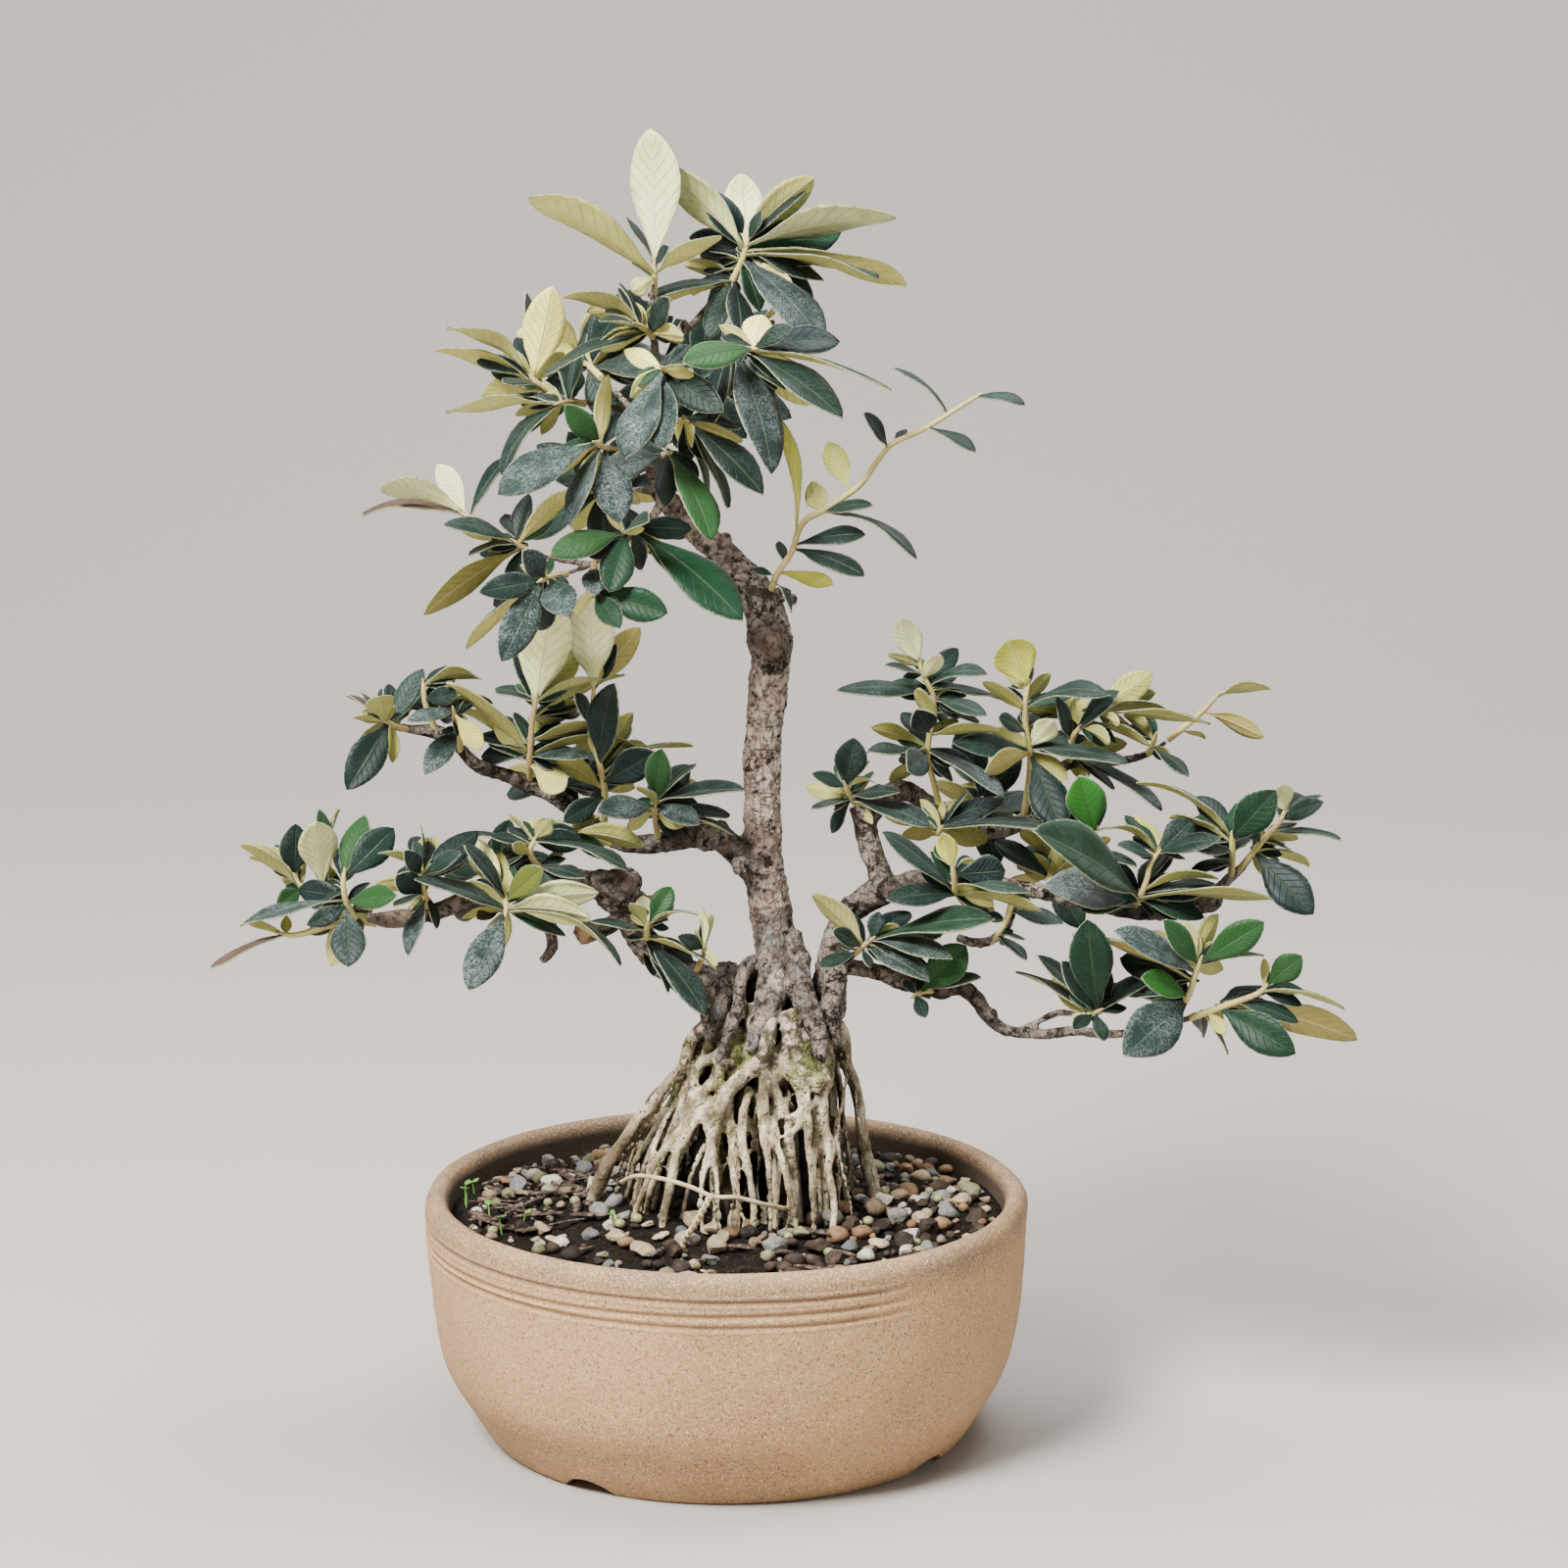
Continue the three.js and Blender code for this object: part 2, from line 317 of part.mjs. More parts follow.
    [1192, 755, 8], [1222, 732, 5], [1241, 711, 2]],
    [[1241, 711, 1297, 702, -12, -6, 0.1], [1205, 745, 1230, 753, -6, 6],
    [1228, 726, 1290, 752, -18, -10]]],
  ["right_top_twig", [
    [1172, 769, 10], [1176, 760, 4], [1179, 751, 0]],
    [[1178, 756, 1147, 729, -12, 6, 0.16], [1176, 762, 1213, 792, 12, -12]]],
  ["right_mid_bright", [
    [1110, 920, -12], [1106, 890, -14], [1114, 862, -16], [1118, 850, -16]],
    [[1118, 850, 1101, 792, 42, -6], [1117, 854, 1104, 787, -14, 14], [1112, 868, 1160, 884, 12, -10],
    [1113, 864, 1133, 856, -10, 6]]],
  ["right_mid_big", [
    [1154, 930, -12], [1162, 918, -20], [1170, 900, -22], [1173, 882, -20], [1182, 870, -18]],
    [[1163, 916, 1055, 848, 44, -12], [1181, 870, 1118, 848, -8, -4, 0.2], [1178, 874, 1140, 862, 14, -8],
    [1182, 870, 1216, 837, 30, 4], [1182, 870, 1245, 856, 18, -8], [1166, 908, 1243, 896, -10, -6, 0.1],
    [1165, 912, 1240, 901, 8, 6], [1163, 916, 1300, 917, -6, -12], [1162, 918, 1245, 914, -6, 4],
    [1160, 921, 1066, 903, 38, -18], [1158, 924, 1104, 930, 10, -24]]],
  ["right_mid_tip", [
    [1262, 890, -12], [1279, 870, -14], [1291, 854, -16], [1307, 839, -18], [1312, 826, -18]],
    [[1286, 860, 1271, 836, 18, -8], [1312, 828, 1308, 801, -22, -6], [1312, 826, 1349, 811, 6, 6],
    [1309, 836, 1350, 818, 20, -10], [1307, 839, 1304, 822, 8, 8], [1294, 851, 1368, 856, 8, -8, 0.08],
    [1288, 858, 1317, 867, 4, 4], [1281, 868, 1336, 884, -10, 8, 0.1], [1280, 869, 1340, 933, 42, -16]]],
  ["right_mid_fork", [
    [1256, 895, -12], [1258, 872, -18], [1257, 855, -20]],
    [[1257, 855, 1302, 806, 40, -10], [1258, 868, 1219, 868, 13, -8], [1257, 860, 1194, 833, -7, 6, 0.08],
    [1257, 855, 1160, 798, -10, 4, 0.12], [1257, 880, 1215, 888, 12, 4], [1258, 870, 1278, 852, 8, 8]]],
  ["right_low_mid", [
    [1096, 1037, -20], [1112, 1036, -25], [1120, 1032, -27]],
    [[1120, 1033, 1109, 938, 46, -10], [1118, 1034, 1083, 981, 24, -16], [1119, 1032, 1180, 993, 20, 10],
    [1116, 1035, 1095, 1050, 14, -10], [1118, 1034, 1126, 1062, 16, -12],
    [1119, 1032, 1150, 1028, 10, 4], [1116, 1034, 1058, 974, 14, 8], [1112, 1036, 1037, 991, 6, 14]]],
  ["right_low_main", [
    [1198, 1042, -26], [1214, 1015, -30], [1219, 995, -32], [1224, 982, -32]],
    [[1222, 985, 1187, 939, 24, -8], [1224, 982, 1290, 941, 34, -6], [1223, 985, 1290, 974, 8, 6],
    [1219, 992, 1137, 950, 28, -12], [1218, 1000, 1094, 953, -10, -16], [1216, 1020, 1165, 997, 22, -14],
    [1216, 1024, 1147, 1077, 54, -16], [1216, 1018, 1150, 1015, 10, 6]]],
  ["right_low_tip", [
    [1214, 1039, -26], [1263, 1022, -28], [1285, 1014, -30], [1292, 1006, -30]],
    [[1292, 1006, 1328, 975, 30, -6], [1290, 1008, 1290, 978, -10, 6],
    [1288, 1011, 1372, 1029, -6, -6, 0.08], [1244, 1028, 1322, 1075, 40, -14],
    [1262, 1022, 1325, 1043, 16, -8], [1252, 1026, 1385, 1060, -26, 6],
    [1232, 1032, 1251, 1055, -14, -8], [1228, 1034, 1254, 1076, 6, 4]]],
  ["right_front", [
    [858, 985, 0], [876, 970, -14], [889, 959, -20]],
    [[882, 965, 829, 911, -22, -6], [880, 967, 850, 950, 16, -10], [874, 972, 837, 988, 14, -12],
    [889, 959, 897, 930, 18, 4], [889, 959, 1015, 938, 18, -14], [889, 959, 972, 978, 18, -12],
    [889, 959, 962, 953, 12, 6], [882, 966, 948, 1001, 24, -18], [880, 968, 888, 987, 9, -8],
    [889, 959, 940, 945, 10, 12]]],
  ["right_mid_second", [
    [976, 902, -9], [975, 915, -20], [974, 900, -26], [972, 884, -28]],
    [[974, 910, 900, 849, 20, -6], [975, 913, 904, 918, 24, -10], [972, 886, 962, 850, -22, -6],
    [973, 892, 1026, 888, 36, 6], [974, 902, 1052, 911, 8, -8], [975, 912, 1028, 905, 22, -4],
    [975, 912, 1063, 929, -10, -12]]],
  ["right_mid_third", [
    [1034, 909, -11], [1032, 925, -18], [1026, 942, -20], [1015, 958, -20]],
    [[1031, 930, 1085, 942, 16, -6], [1028, 940, 1007, 933, 12, 4], [1018, 955, 1048, 979, 10, -8],
    [1019, 953, 1046, 958, 3, 4]]],
  ["right_low_left", [
    [957, 1010, -14], [942, 1011, -20], [933, 1016, -24]],
    [[938, 1012, 986, 965, 40, -8], [935, 1015, 944, 1038, 16, -10], [940, 1011, 1001, 997, 12, 8],
    [936, 1014, 950, 1018, 5, 4], [935, 1015, 922, 1000, 10, 6]]],
  ["right_top_low", [
    [970, 838, 15], [962, 842, 2], [957, 850, -6]],
    [[958, 847, 902, 832, -14, -6], [958, 850, 920, 852, -14, 6], [960, 845, 1083, 845, 12, -12, 0.06],
    [962, 842, 987, 808, 4, 2]]],
];
// Back sprays, which the view hides: a limb's place to grow from, the way it leans and its leaves
const BACK_SPRAYS = [
  ["crown_back", [704, 402, 30], [716, 380, 56], 9, 30],
  ["crown_back_left", [614, 386, 30], [590, 362, 54], 9, 30],
  ["crown_back_low", [630, 507, 30], [612, 500, 56], 8, 28],
  ["left_mid_back", [570, 815, 12], [578, 786, 42], 6, 22],
  ["left_low_back", [504, 905, -18], [506, 880, 14], 6, 22],
  ["right_top_back", [1000, 845, 18], [1004, 806, 48], 7, 24],
  ["right_mid_back", [1064, 911, -12], [1078, 884, 22], 7, 24],
];
const BACK_SEED = 20;

const wasm = await Module();
wasm.setup();

function randomFrom(seed) {
  let state = seed >>> 0;
  return () => {
    state = (Math.imul(state, 1664525) + 1013904223) >>> 0;
    return state / 4294967296;
  };
}

// A place of the view, carried into space at its depth
function place([across, down, depth]) {
  const aside = (across - VIEW_CENTRE) / VIEW_FOCAL;
  const fall = (down - VIEW_CENTRE) / VIEW_FOCAL;
  const ray = new THREE.Vector3(aside, LOOK.y + fall * LOOK.z, LOOK.z - fall * LOOK.y);
  return VIEW_EYE.clone().addScaledVector(ray, (depth - VIEW_EYE.y) / ray.y);
}

function viewScale(point) {
  return point.clone().sub(VIEW_EYE).dot(LOOK) / VIEW_FOCAL;
}

function solidOf(corners, faces) {
  let volume = 0;
  for (let i = 0; i < faces.length; i += 3) {
    const [a, b, c] = [corners[faces[i]], corners[faces[i + 1]], corners[faces[i + 2]]];
    volume += a.dot(b.clone().cross(c));
  }
  const turned = volume < 0 ? faces.slice().reverse() : faces;
  const mesh = new wasm.Mesh({
    numProp: 3,
    vertProperties: new Float32Array(corners.flatMap((p) => [p.x, p.y, p.z])),
    triVerts: new Uint32Array(turned),
  });
  return new wasm.Manifold(mesh);
}

function solidOfGeometry(geometry) {
  const bare = geometry.index ? geometry.toNonIndexed() : geometry;
  const welded = mergeVertices(
    new THREE.BufferGeometry().setAttribute("position", bare.getAttribute("position")), 1e-3);
  const spots = welded.getAttribute("position");
  const corners = [];
  for (let i = 0; i < spots.count; i++) corners.push(new THREE.Vector3().fromBufferAttribute(spots, i));
  const faces = [];
  const index = Array.from(welded.index.array);
  for (let i = 0; i < index.length; i += 3) {
    const [a, b, c] = index.slice(i, i + 3);
    if (a !== b && b !== c && a !== c) faces.push(a, b, c);
  }
  return solidOf(corners, faces);
}

// A closed skin over rings of equal count; an end ring may be a single point
function loft(rings) {
  const corners = rings.flat();
  const faces = [];
  let start = 0;
  for (let i = 1; i < rings.length; i++) {
    const [low, high] = [rings[i - 1].length, rings[i].length];
    const above = start + low;
    for (let k = 0; k < Math.max(low, high); k++) {
      const next = (k + 1) % Math.max(low, high);
      if (low > 1) faces.push(start + k, start + next, above + (high > 1 ? next : 0));
      if (high > 1) faces.push(start + (low > 1 ? k : 0), above + next, above + k);
    }
    start = above;
  }
  for (let k = 1; k < rings[0].length - 1; k++) faces.push(0, k + 1, k);
  for (let k = 1; k < rings.at(-1).length - 1; k++) faces.push(start, start + k, start + k + 1);
  return solidOf(corners, faces);
}

// A round skin along points, with flat ends, or with a pointed bud of some length at its far end
function tube(points, radii, sides, bud = 0) {
  const end = points.length - 1;
  const side = new THREE.Vector3();
  const rings = points.map((point, i) => {
    const along = points[Math.min(i + 1, end)].clone().sub(points[Math.max(i - 1, 0)]).normalize();
    if (i === 0) side.set(0, -1, 0).cross(along);
    if (side.lengthSq() < 1e-6) side.set(1, 0, 0);
    side.addScaledVector(along, -side.dot(along)).normalize();
    const lift = along.clone().cross(side);
    return Array.from({ length: sides }, (_, k) => {
      const angle = (2 * Math.PI * k) / sides;
      return point.clone()
        .addScaledVector(side, radii[i] * Math.cos(angle))
        .addScaledVector(lift, radii[i] * Math.sin(angle));
    });
  });
  const last = points[end].clone().sub(points[end - 1]).normalize();
  return loft(bud ? [...rings, [points[end].clone().addScaledVector(last, bud)]] : rings);
}

function join(solids) {
  return wasm.Manifold.union(solids);
}

// The largest body of a cut solid; the loose scraps are dropped
function largest(solid) {
  return solid.decompose().sort((a, b) => b.volume() - a.volume())[0];
}

function meshOf(name, solid, material) {
  const cut = solid.getMesh();
  const geometry = new THREE.BufferGeometry();
  geometry.setAttribute("position", new THREE.BufferAttribute(new Float32Array(cut.vertProperties), 3));
  geometry.setIndex(new THREE.BufferAttribute(new Uint32Array(cut.triVerts), 1));
  const mesh = new THREE.Mesh(geometry, material);
  mesh.name = name;
  return mesh;
}

function lathe(outline, segments) {
  const points = outline.map(([radius, height]) => new THREE.Vector2(radius, height));
  return new THREE.LatheGeometry(points, segments).rotateX(Math.PI / 2);
}

// The bowl: its wall swells from the foot to an upright rim that is rounded over
function makePot() {
  const inside = POT_RADIUS - POT_WALL;
  const swell = [[0, 0], [0.06, 4], [0.15, 8.7], [0.3, 15.6], [0.55, 19.9], [0.94, 22]];
  const outline = [
    [DRAIN_RADIUS, FOOT_HEIGHT + 0.5], [FOOT_RADIUS - 14, FOOT_HEIGHT + 0.5], [FOOT_RADIUS - 11, 0],
    ...swell.map(([share, out]) => [FOOT_RADIUS + out, share * POT_HEIGHT]),
    [POT_RADIUS - 1.2, POT_HEIGHT - 1.6], [POT_RADIUS - 3.9, POT_HEIGHT],
    [inside + 1.6, POT_HEIGHT - 1.2], [inside, POT_HEIGHT - 4],
    [inside - 0.5, 0.72 * POT_HEIGHT], [inside - 5, 0.34 * POT_HEIGHT], [inside - 20, 13], [DRAIN_RADIUS, 12.5],
    [DRAIN_RADIUS, FOOT_HEIGHT + 0.5],
  ];
  const notchRadius = (NOTCH_WIDTH ** 2 / 4 + FOOT_HEIGHT ** 2) / (2 * FOOT_HEIGHT);
  let bowl = solidOfGeometry(lathe(outline, POT_SIDES));
  for (const angle of NOTCH_ANGLES) {
    const turn = THREE.MathUtils.degToRad(angle);
    const notch = new THREE.CylinderGeometry(notchRadius, notchRadius, 40, 20);
    notch.translate(0, FOOT_RADIUS - 6, 0).rotateX(Math.PI);
    notch.rotateZ(turn).translate(0, 0, FOOT_HEIGHT - notchRadius);
    bowl = bowl.subtract(solidOfGeometry(notch));
  }
  return bowl;
}

// The soil's height at a distance from the bowl's axis, and its low swells
function soilHeight(x, y) {
  const reach = Math.min(Math.max((Math.hypot(x, y) - 30) / 58, 0), 1);
  const swell = 0.8 * Math.sin(x / 9 + 1.3) * Math.cos(y / 8) + 0.5 * Math.sin((x + y) / 4.7);
  return SOIL_CROWN + (SOIL_EDGE - SOIL_CROWN) * reach * reach * (3 - 2 * reach) + swell;
}

// The soil fills the bowl to a low mound, with its larger stones and bark raised on top
function makeSoil(wood, wire) {
  const inside = POT_RADIUS - POT_WALL - CLEARANCE;
  const outline = [
    [0, 12.9], [inside - 20.2, 13.4], [inside - 5.2, 0.35 * POT_HEIGHT], [inside - 0.7, 0.72 * POT_HEIGHT],
    [inside, SOIL_EDGE], [78, SOIL_EDGE + 1], [60, SOIL_EDGE + 1], [42, SOIL_EDGE + 1], [0, SOIL_EDGE + 1],
  ];
  const body = lathe(outline, POT_SIDES);
  const spots = body.getAttribute("position");
  for (let i = 0; i < spots.count; i++)
    if (spots.getZ(i) >= SOIL_EDGE + 0.9) spots.setZ(i, soilHeight(spots.getX(i), spots.getY(i)));
  const random = randomFrom(7);
  const stones = [];
  while (stones.length < STONE_COUNT) {
    const size = 2 + 3.4 * random() ** 2;
    const angle = 2 * Math.PI * random();
    const reach = 46 + (inside - 52) * Math.sqrt(random());
    const stretch = [1, 0.75 + 0.3 * random(), 0.6 + 0.2 * random()];
    const [x, y] = [reach * Math.cos(angle), reach * Math.sin(angle)];
    const stone = new THREE.IcosahedronGeometry(size, 0).scale(...stretch);
    stone.rotateX(random()).rotateZ(2 * Math.PI * random());
    stones.push(solidOfGeometry(stone.translate(x, y, soilHeight(x, y) + 0.25 * size)));
  }
  return largest(join([solidOfGeometry(body), ...stones]).subtract(join([wood, wire])));
}

// Half the cone of roots, as seen in the view: [down, left half, right half]
const CONE_AXIS = 786;
const CONE_DEPTH = 0.85;
const CONE = [[990, 44, 40], [1041, 86, 80], [1076, 90, 84], [1114, 116, 90], [1150, 146, 94],
  [1193, 174, 102], [1290, 196, 118]];

function coneAt(down) {
  const next = Math.max(1, CONE.findIndex(([level]) => level >= down));
  const [low, high] = [CONE[next - 1], CONE[next]];
  const share = Math.min(Math.max((down - low[0]) / (high[0] - low[0]), 0), 1);
  return [1, 2].map((side) => low[side] + share * (high[side] - low[side]));
}

// Where a root runs on the cone; a turned one runs the same way round the back
function rootPlace(across, down, turned) {
  const halves = coneAt(down);
  const aside = across - CONE_AXIS;
  const [here, there] = aside < 0 ? halves : [halves[1], halves[0]];
  const share = Math.min(Math.abs(aside) / here, 0.999);
  const mean = (halves[0] + halves[1]) / 2;
  const depth = CONE_DEPTH * mean * viewScale(place([across, down, 0])) * Math.sqrt(1 - share ** 2);
  return turned ? [CONE_AXIS - (aside * there) / here, down - 0.55 * depth, depth] : [across, down, -depth];
}

function limb(route, sides, growth) {
  const points = route.map(place);
  const radii = route.map((spot, i) => (spot[3] / 2) * viewScale(points[i]) + growth);
  return tube(points, radii, sides);
}

// The core that the roots lie against
function rootCore(growth) {
  const sides = 10;
  const levels = [1000, 1036, 1090, 1150, 1215, 1285];
  const rings = levels.map((down, level) => {
    const halves = coneAt(down);
    const scale = viewScale(place([CONE_AXIS, down, 0]));
    const share = THREE.MathUtils.lerp(...CORE_SHARE, level / (levels.length - 1));
    const depth = CONE_DEPTH * 0.5 * (halves[0] + halves[1]) * scale * share + growth;
    return Array.from({ length: sides }, (_, k) => {
      const angle = (2 * Math.PI * k) / sides;
      const half = halves[Math.cos(angle) < 0 ? 0 : 1] * share + growth / scale;
      const spot = place([CONE_AXIS + half * Math.cos(angle), down, 0]);
      return spot.setY(-depth * Math.sin(angle));
    });
  });
  return loft(rings);
}

// All the grown wood in one body: roots, trunk and limbs
function makeWood(growth) {
  const roots = ROOTS.flatMap((route, i) => (TURNED_ROOTS.includes(i) ? [false, true] : [false])
    .map((turned) => route.filter((_, k) => !turned || k % 2 === 0).map(([across, down, thick], k) => {
      const [x, y, depth] = rootPlace(across, down, turned);
      const spring = k ? 1 : ROOT_SPRING;
      return [CONE_AXIS + spring * (x - CONE_AXIS), y, spring * depth, thick];
    })));
  return join([
    rootCore(growth),
    ...roots.map((route) => limb(route, ROOT_SIDES, growth)),
    ...LIMBS.map(([name, route]) => {
      const slim = route[0][3] < SLIM_LIMB ? SLIM_SIDES : LIMB_SIDES;
      return limb(route, name === "trunk" ? TRUNK_SIDES : slim, growth);
    }),
  ]);
}

// The bare wire across the front of the roots, and its twisted tail
function makeWire(growth) {
  const line = WIRE_LINE.map((spot) => place([...spot]));
  const tail = WIRE_TAIL.map((spot) => place([...spot]));
  return join([line, tail].map((route) => tube(route, route.map(() => WIRE_RADIUS + growth), 6)));
}

// The spot of a spray's twig nearest to a place of the view, with its depth
function onTwig(route, across, down) {
  let best = null;
  for (let i = 1; i < route.length; i++) {
    const [from, to] = [route[i - 1], route[i]];
    const [dx, dy] = [to[0] - from[0], to[1] - from[1]];
    const share = Math.min(Math.max(
      ((across - from[0]) * dx + (down - from[1]) * dy) / (dx * dx + dy * dy), 0), 1);
    const spot = from.map((value, k) => value + share * (to[k] - value));
    const gap = Math.hypot(spot[0] - across, spot[1] - down);
    if (!best || gap < best.gap) best = { gap, spot };
  }
  return best.spot;
}

// A leaf as a thin blade with a keel: narrow stalk, widest past the middle, pointed tip.
// A width above zero shows its upper side to the view, below zero its underside.
function bladeRings(route, [across, down, tipAcross, tipDown, shown, reach, arch = 0.05], bend) {
  const spot = onTwig(route, across, down);
  const base = place(spot);
  const tip = place([tipAcross, tipDown, spot[2] + reach + bend]);
  const axis = tip.clone().sub(base);
  const length = axis.length();
  axis.normalize();
  const toView = VIEW_EYE.clone().sub(base).normalize();
  toView.addScaledVector(axis, -toView.dot(axis)).normalize();
  const rise = axis.clone().cross(toView);
  if (rise.z < 0) rise.negate();
  const seen = Math.abs(shown) * viewScale(base);
  const width = Math.max(seen, LEAF_SLIMNESS * length);
  const facing = seen / width;
  const normal = toView.multiplyScalar(Math.sign(shown) * facing)
    .addScaledVector(rise, Math.sqrt(1 - facing ** 2));
  const side = axis.clone().cross(normal);
  base.addScaledVector(axis, BLADE_START);
  const stations = width > SMALL_LEAF ? BLADE : SMALL_BLADE;
  const rings = stations.map(([along, share]) => {
    const middle = base.clone().addScaledVector(axis, along * length)
      .addScaledVector(normal, 4 * arch * length * along * (1 - along));
    const half = (share * width) / 2;
    return [
      middle.clone().addScaledVector(side, half), middle.clone().addScaledVector(side, -half),
      middle.clone().addScaledVector(normal, -LEAF_THICKNESS),
    ];
  });
  return [[base], ...rings, [tip]];
}

function touches(solid, others) {
  const box = solid.boundingBox();
  return others.some((other) => {
    const apart = [0, 1, 2].some((k) => other.box.min[k] > box.max[k] || other.box.max[k] < box.min[k]);
    return !apart && !solid.intersect(other.solid).isEmpty();
  });
}

// The leaves of a spray behind the tree, set round its twig by a seeded rule
function backLeaves([, from, to, count, length], seed) {
  const random = randomFrom(seed);
  return Array.from({ length: count }, (_, i) => {
    const along = 0.35 + (0.65 * (i + 1)) / count;
    const [across, down] = [0, 1].map((k) => from[k] + along * (to[k] - from[k]));
    const angle = 2.4 * i + 0.6 * random();
    const reach = (length / 0.33) * (0.8 + 0.4 * random());
    const depth = (0.25 + 0.5 * random()) * length * Math.sin(1.7 * i + 1);
    const shown = (random() < 0.3 ? -1 : 1) * reach * (0.25 + 0.2 * random());
    return [across, down, across + reach * Math.cos(angle), down - 0.8 * reach * Math.sin(angle), shown, depth];
  });
}

// Every spray: its twig, and each leaf bent nearer or farther until it clears what is near it
function makeSprays(grownWood) {
  const back = BACK_SPRAYS.map((entry, i) => [entry[0], entry.slice(1, 3), backLeaves(entry, BACK_SEED + i)]);
  const sprays = [...SPRAYS, ...back].map(([name, route, leaves]) => {
    const points = route.map(place);
    const radii = points.map((_, i) => TWIG_RADIUS - (TWIG_TAPER * i) / (points.length - 1));
    return { name, route, leaves, solids: [tube(points, radii, TWIG_SIDES, BUD_LENGTH)], outers: [] };
  });
  const keep = (solid, owner) => ({ solid, owner, box: solid.boundingBox() });
  const wood = { solid: grownWood, owner: null, box: grownWood.boundingBox() };
  const taken = sprays.map((spray) => keep(spray.solids[0].subtract(grownWood), spray));
  for (const spray of sprays)
    for (const leaf of spray.leaves) {
      const bends = [...BENDS.map((bend) => [bend, true]), ...BENDS.map((bend) => [bend, false])];
      for (const [bend, free] of bends) {
        const rings = bladeRings(spray.route, leaf, bend);
        const blade = loft(rings);
        const outer = loft(rings.slice(1));
        if (touches(outer, [wood]) || touches(blade, taken.filter((other) => other.owner !== spray))) continue;
        if (free && touches(outer, spray.outers)) continue;
        spray.solids.push(blade);
        spray.outers.push(keep(outer, spray));
        taken.push(keep(blade, spray));
        break;
      }
    }
  return sprays.map(({ name, solids }) => [name, largest(join(solids).subtract(grownWood))]);
}

const finish = (color, roughness) => new THREE.MeshStandardMaterial({ color, roughness, metalness: 0 });
const stoneware = finish(0x9c8066, 0.85);
const compost = finish(0x3a3027, 0.95);
const bark = finish(0x7d6b5d, 0.9);
const foliage = finish(0x2f4a3c, 0.7);
const tan = finish(0xb39a70, 0.6);

const bonsai = new THREE.Group();
const grown = makeWood(CLEARANCE);
bonsai.add(meshOf("pot", makePot(), stoneware));
bonsai.add(meshOf("soil", makeSoil(grown, makeWire(CLEARANCE)), compost));
bonsai.add(meshOf("tree_wood", largest(makeWood(0).subtract(makeWire(CLEARANCE))), bark));
bonsai.add(meshOf("tie_wire", makeWire(0), tan));
for (const [name, solid] of makeSprays(grown)) bonsai.add(meshOf("spray_" + name, solid, foliage));

// The origin is under the middle of the whole bonsai, on the surface it stands on
const whole = new THREE.Box3().setFromObject(bonsai);
const middle = whole.getCenter(new THREE.Vector3());
for (const piece of bonsai.children) piece.position.set(-middle.x, -middle.y, -whole.min.z);

export default bonsai;
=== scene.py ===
import math

import bpy
import numpy as np
from mathutils import Euler, Matrix, Vector, noise
from mathutils.kdtree import KDTree


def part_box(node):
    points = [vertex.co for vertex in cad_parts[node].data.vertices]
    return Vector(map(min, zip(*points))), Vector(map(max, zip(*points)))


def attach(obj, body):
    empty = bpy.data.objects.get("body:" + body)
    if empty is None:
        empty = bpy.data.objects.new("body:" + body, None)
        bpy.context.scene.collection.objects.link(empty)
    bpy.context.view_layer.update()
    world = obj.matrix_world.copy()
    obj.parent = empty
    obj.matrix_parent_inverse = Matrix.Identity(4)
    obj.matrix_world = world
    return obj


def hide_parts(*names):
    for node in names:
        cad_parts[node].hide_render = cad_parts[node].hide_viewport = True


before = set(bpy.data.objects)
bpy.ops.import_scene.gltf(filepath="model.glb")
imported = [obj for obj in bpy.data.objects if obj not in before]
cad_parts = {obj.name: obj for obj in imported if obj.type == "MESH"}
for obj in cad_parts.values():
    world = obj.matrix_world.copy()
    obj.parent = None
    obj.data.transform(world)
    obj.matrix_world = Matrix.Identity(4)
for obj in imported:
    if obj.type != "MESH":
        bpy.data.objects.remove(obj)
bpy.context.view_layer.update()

# A cotoneaster bonsai in its stoneware bowl. Lengths here are in mm, and the meshes in metres.
pot_box = [[1000 * value for value in corner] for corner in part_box("pot")]
POT_AXIS = Vector(((pot_box[0][0] + pot_box[1][0]) / 2, (pot_box[0][1] + pot_box[1][1]) / 2, 0))
MM = 0.001
NOISE_SEED = 7
noise.seed_set(NOISE_SEED)

# The bowl
POT_RADIUS = 100
POT_HEIGHT = 83
POT_WALL = 7.8
FOOT_RADIUS = 78
FOOT_HEIGHT = 5
NOTCH_WIDTH = 20
NOTCH_ANGLES = (-34, 56, 146, 236)
DRAIN_RADIUS = 9
GROOVES = ((8.8, 0.75), (13.5, 0.6), (16.7, 0.6))
SOIL_EDGE = 74
SOIL_CROWN = 80

# The view, from the bowl's axis on the table
VIEW_EYE = Vector((19.03, -1725.9, 594.2))
VIEW_PITCH = math.radians(12.23)
VIEW_FOCAL = 5515
VIEW_CENTRE = 800
LOOK = Vector((0, math.cos(VIEW_PITCH), -math.sin(VIEW_PITCH)))

# Leaves
LEAF_SLIMNESS = 0.4
LEAF_THICKNESS = 0.4
LEAF_ARCH = 0.05
BENDS = (0, 5, -5, 10, -10, 15, -15, 20, -20, 26, -26)
BACK_SEED = 20

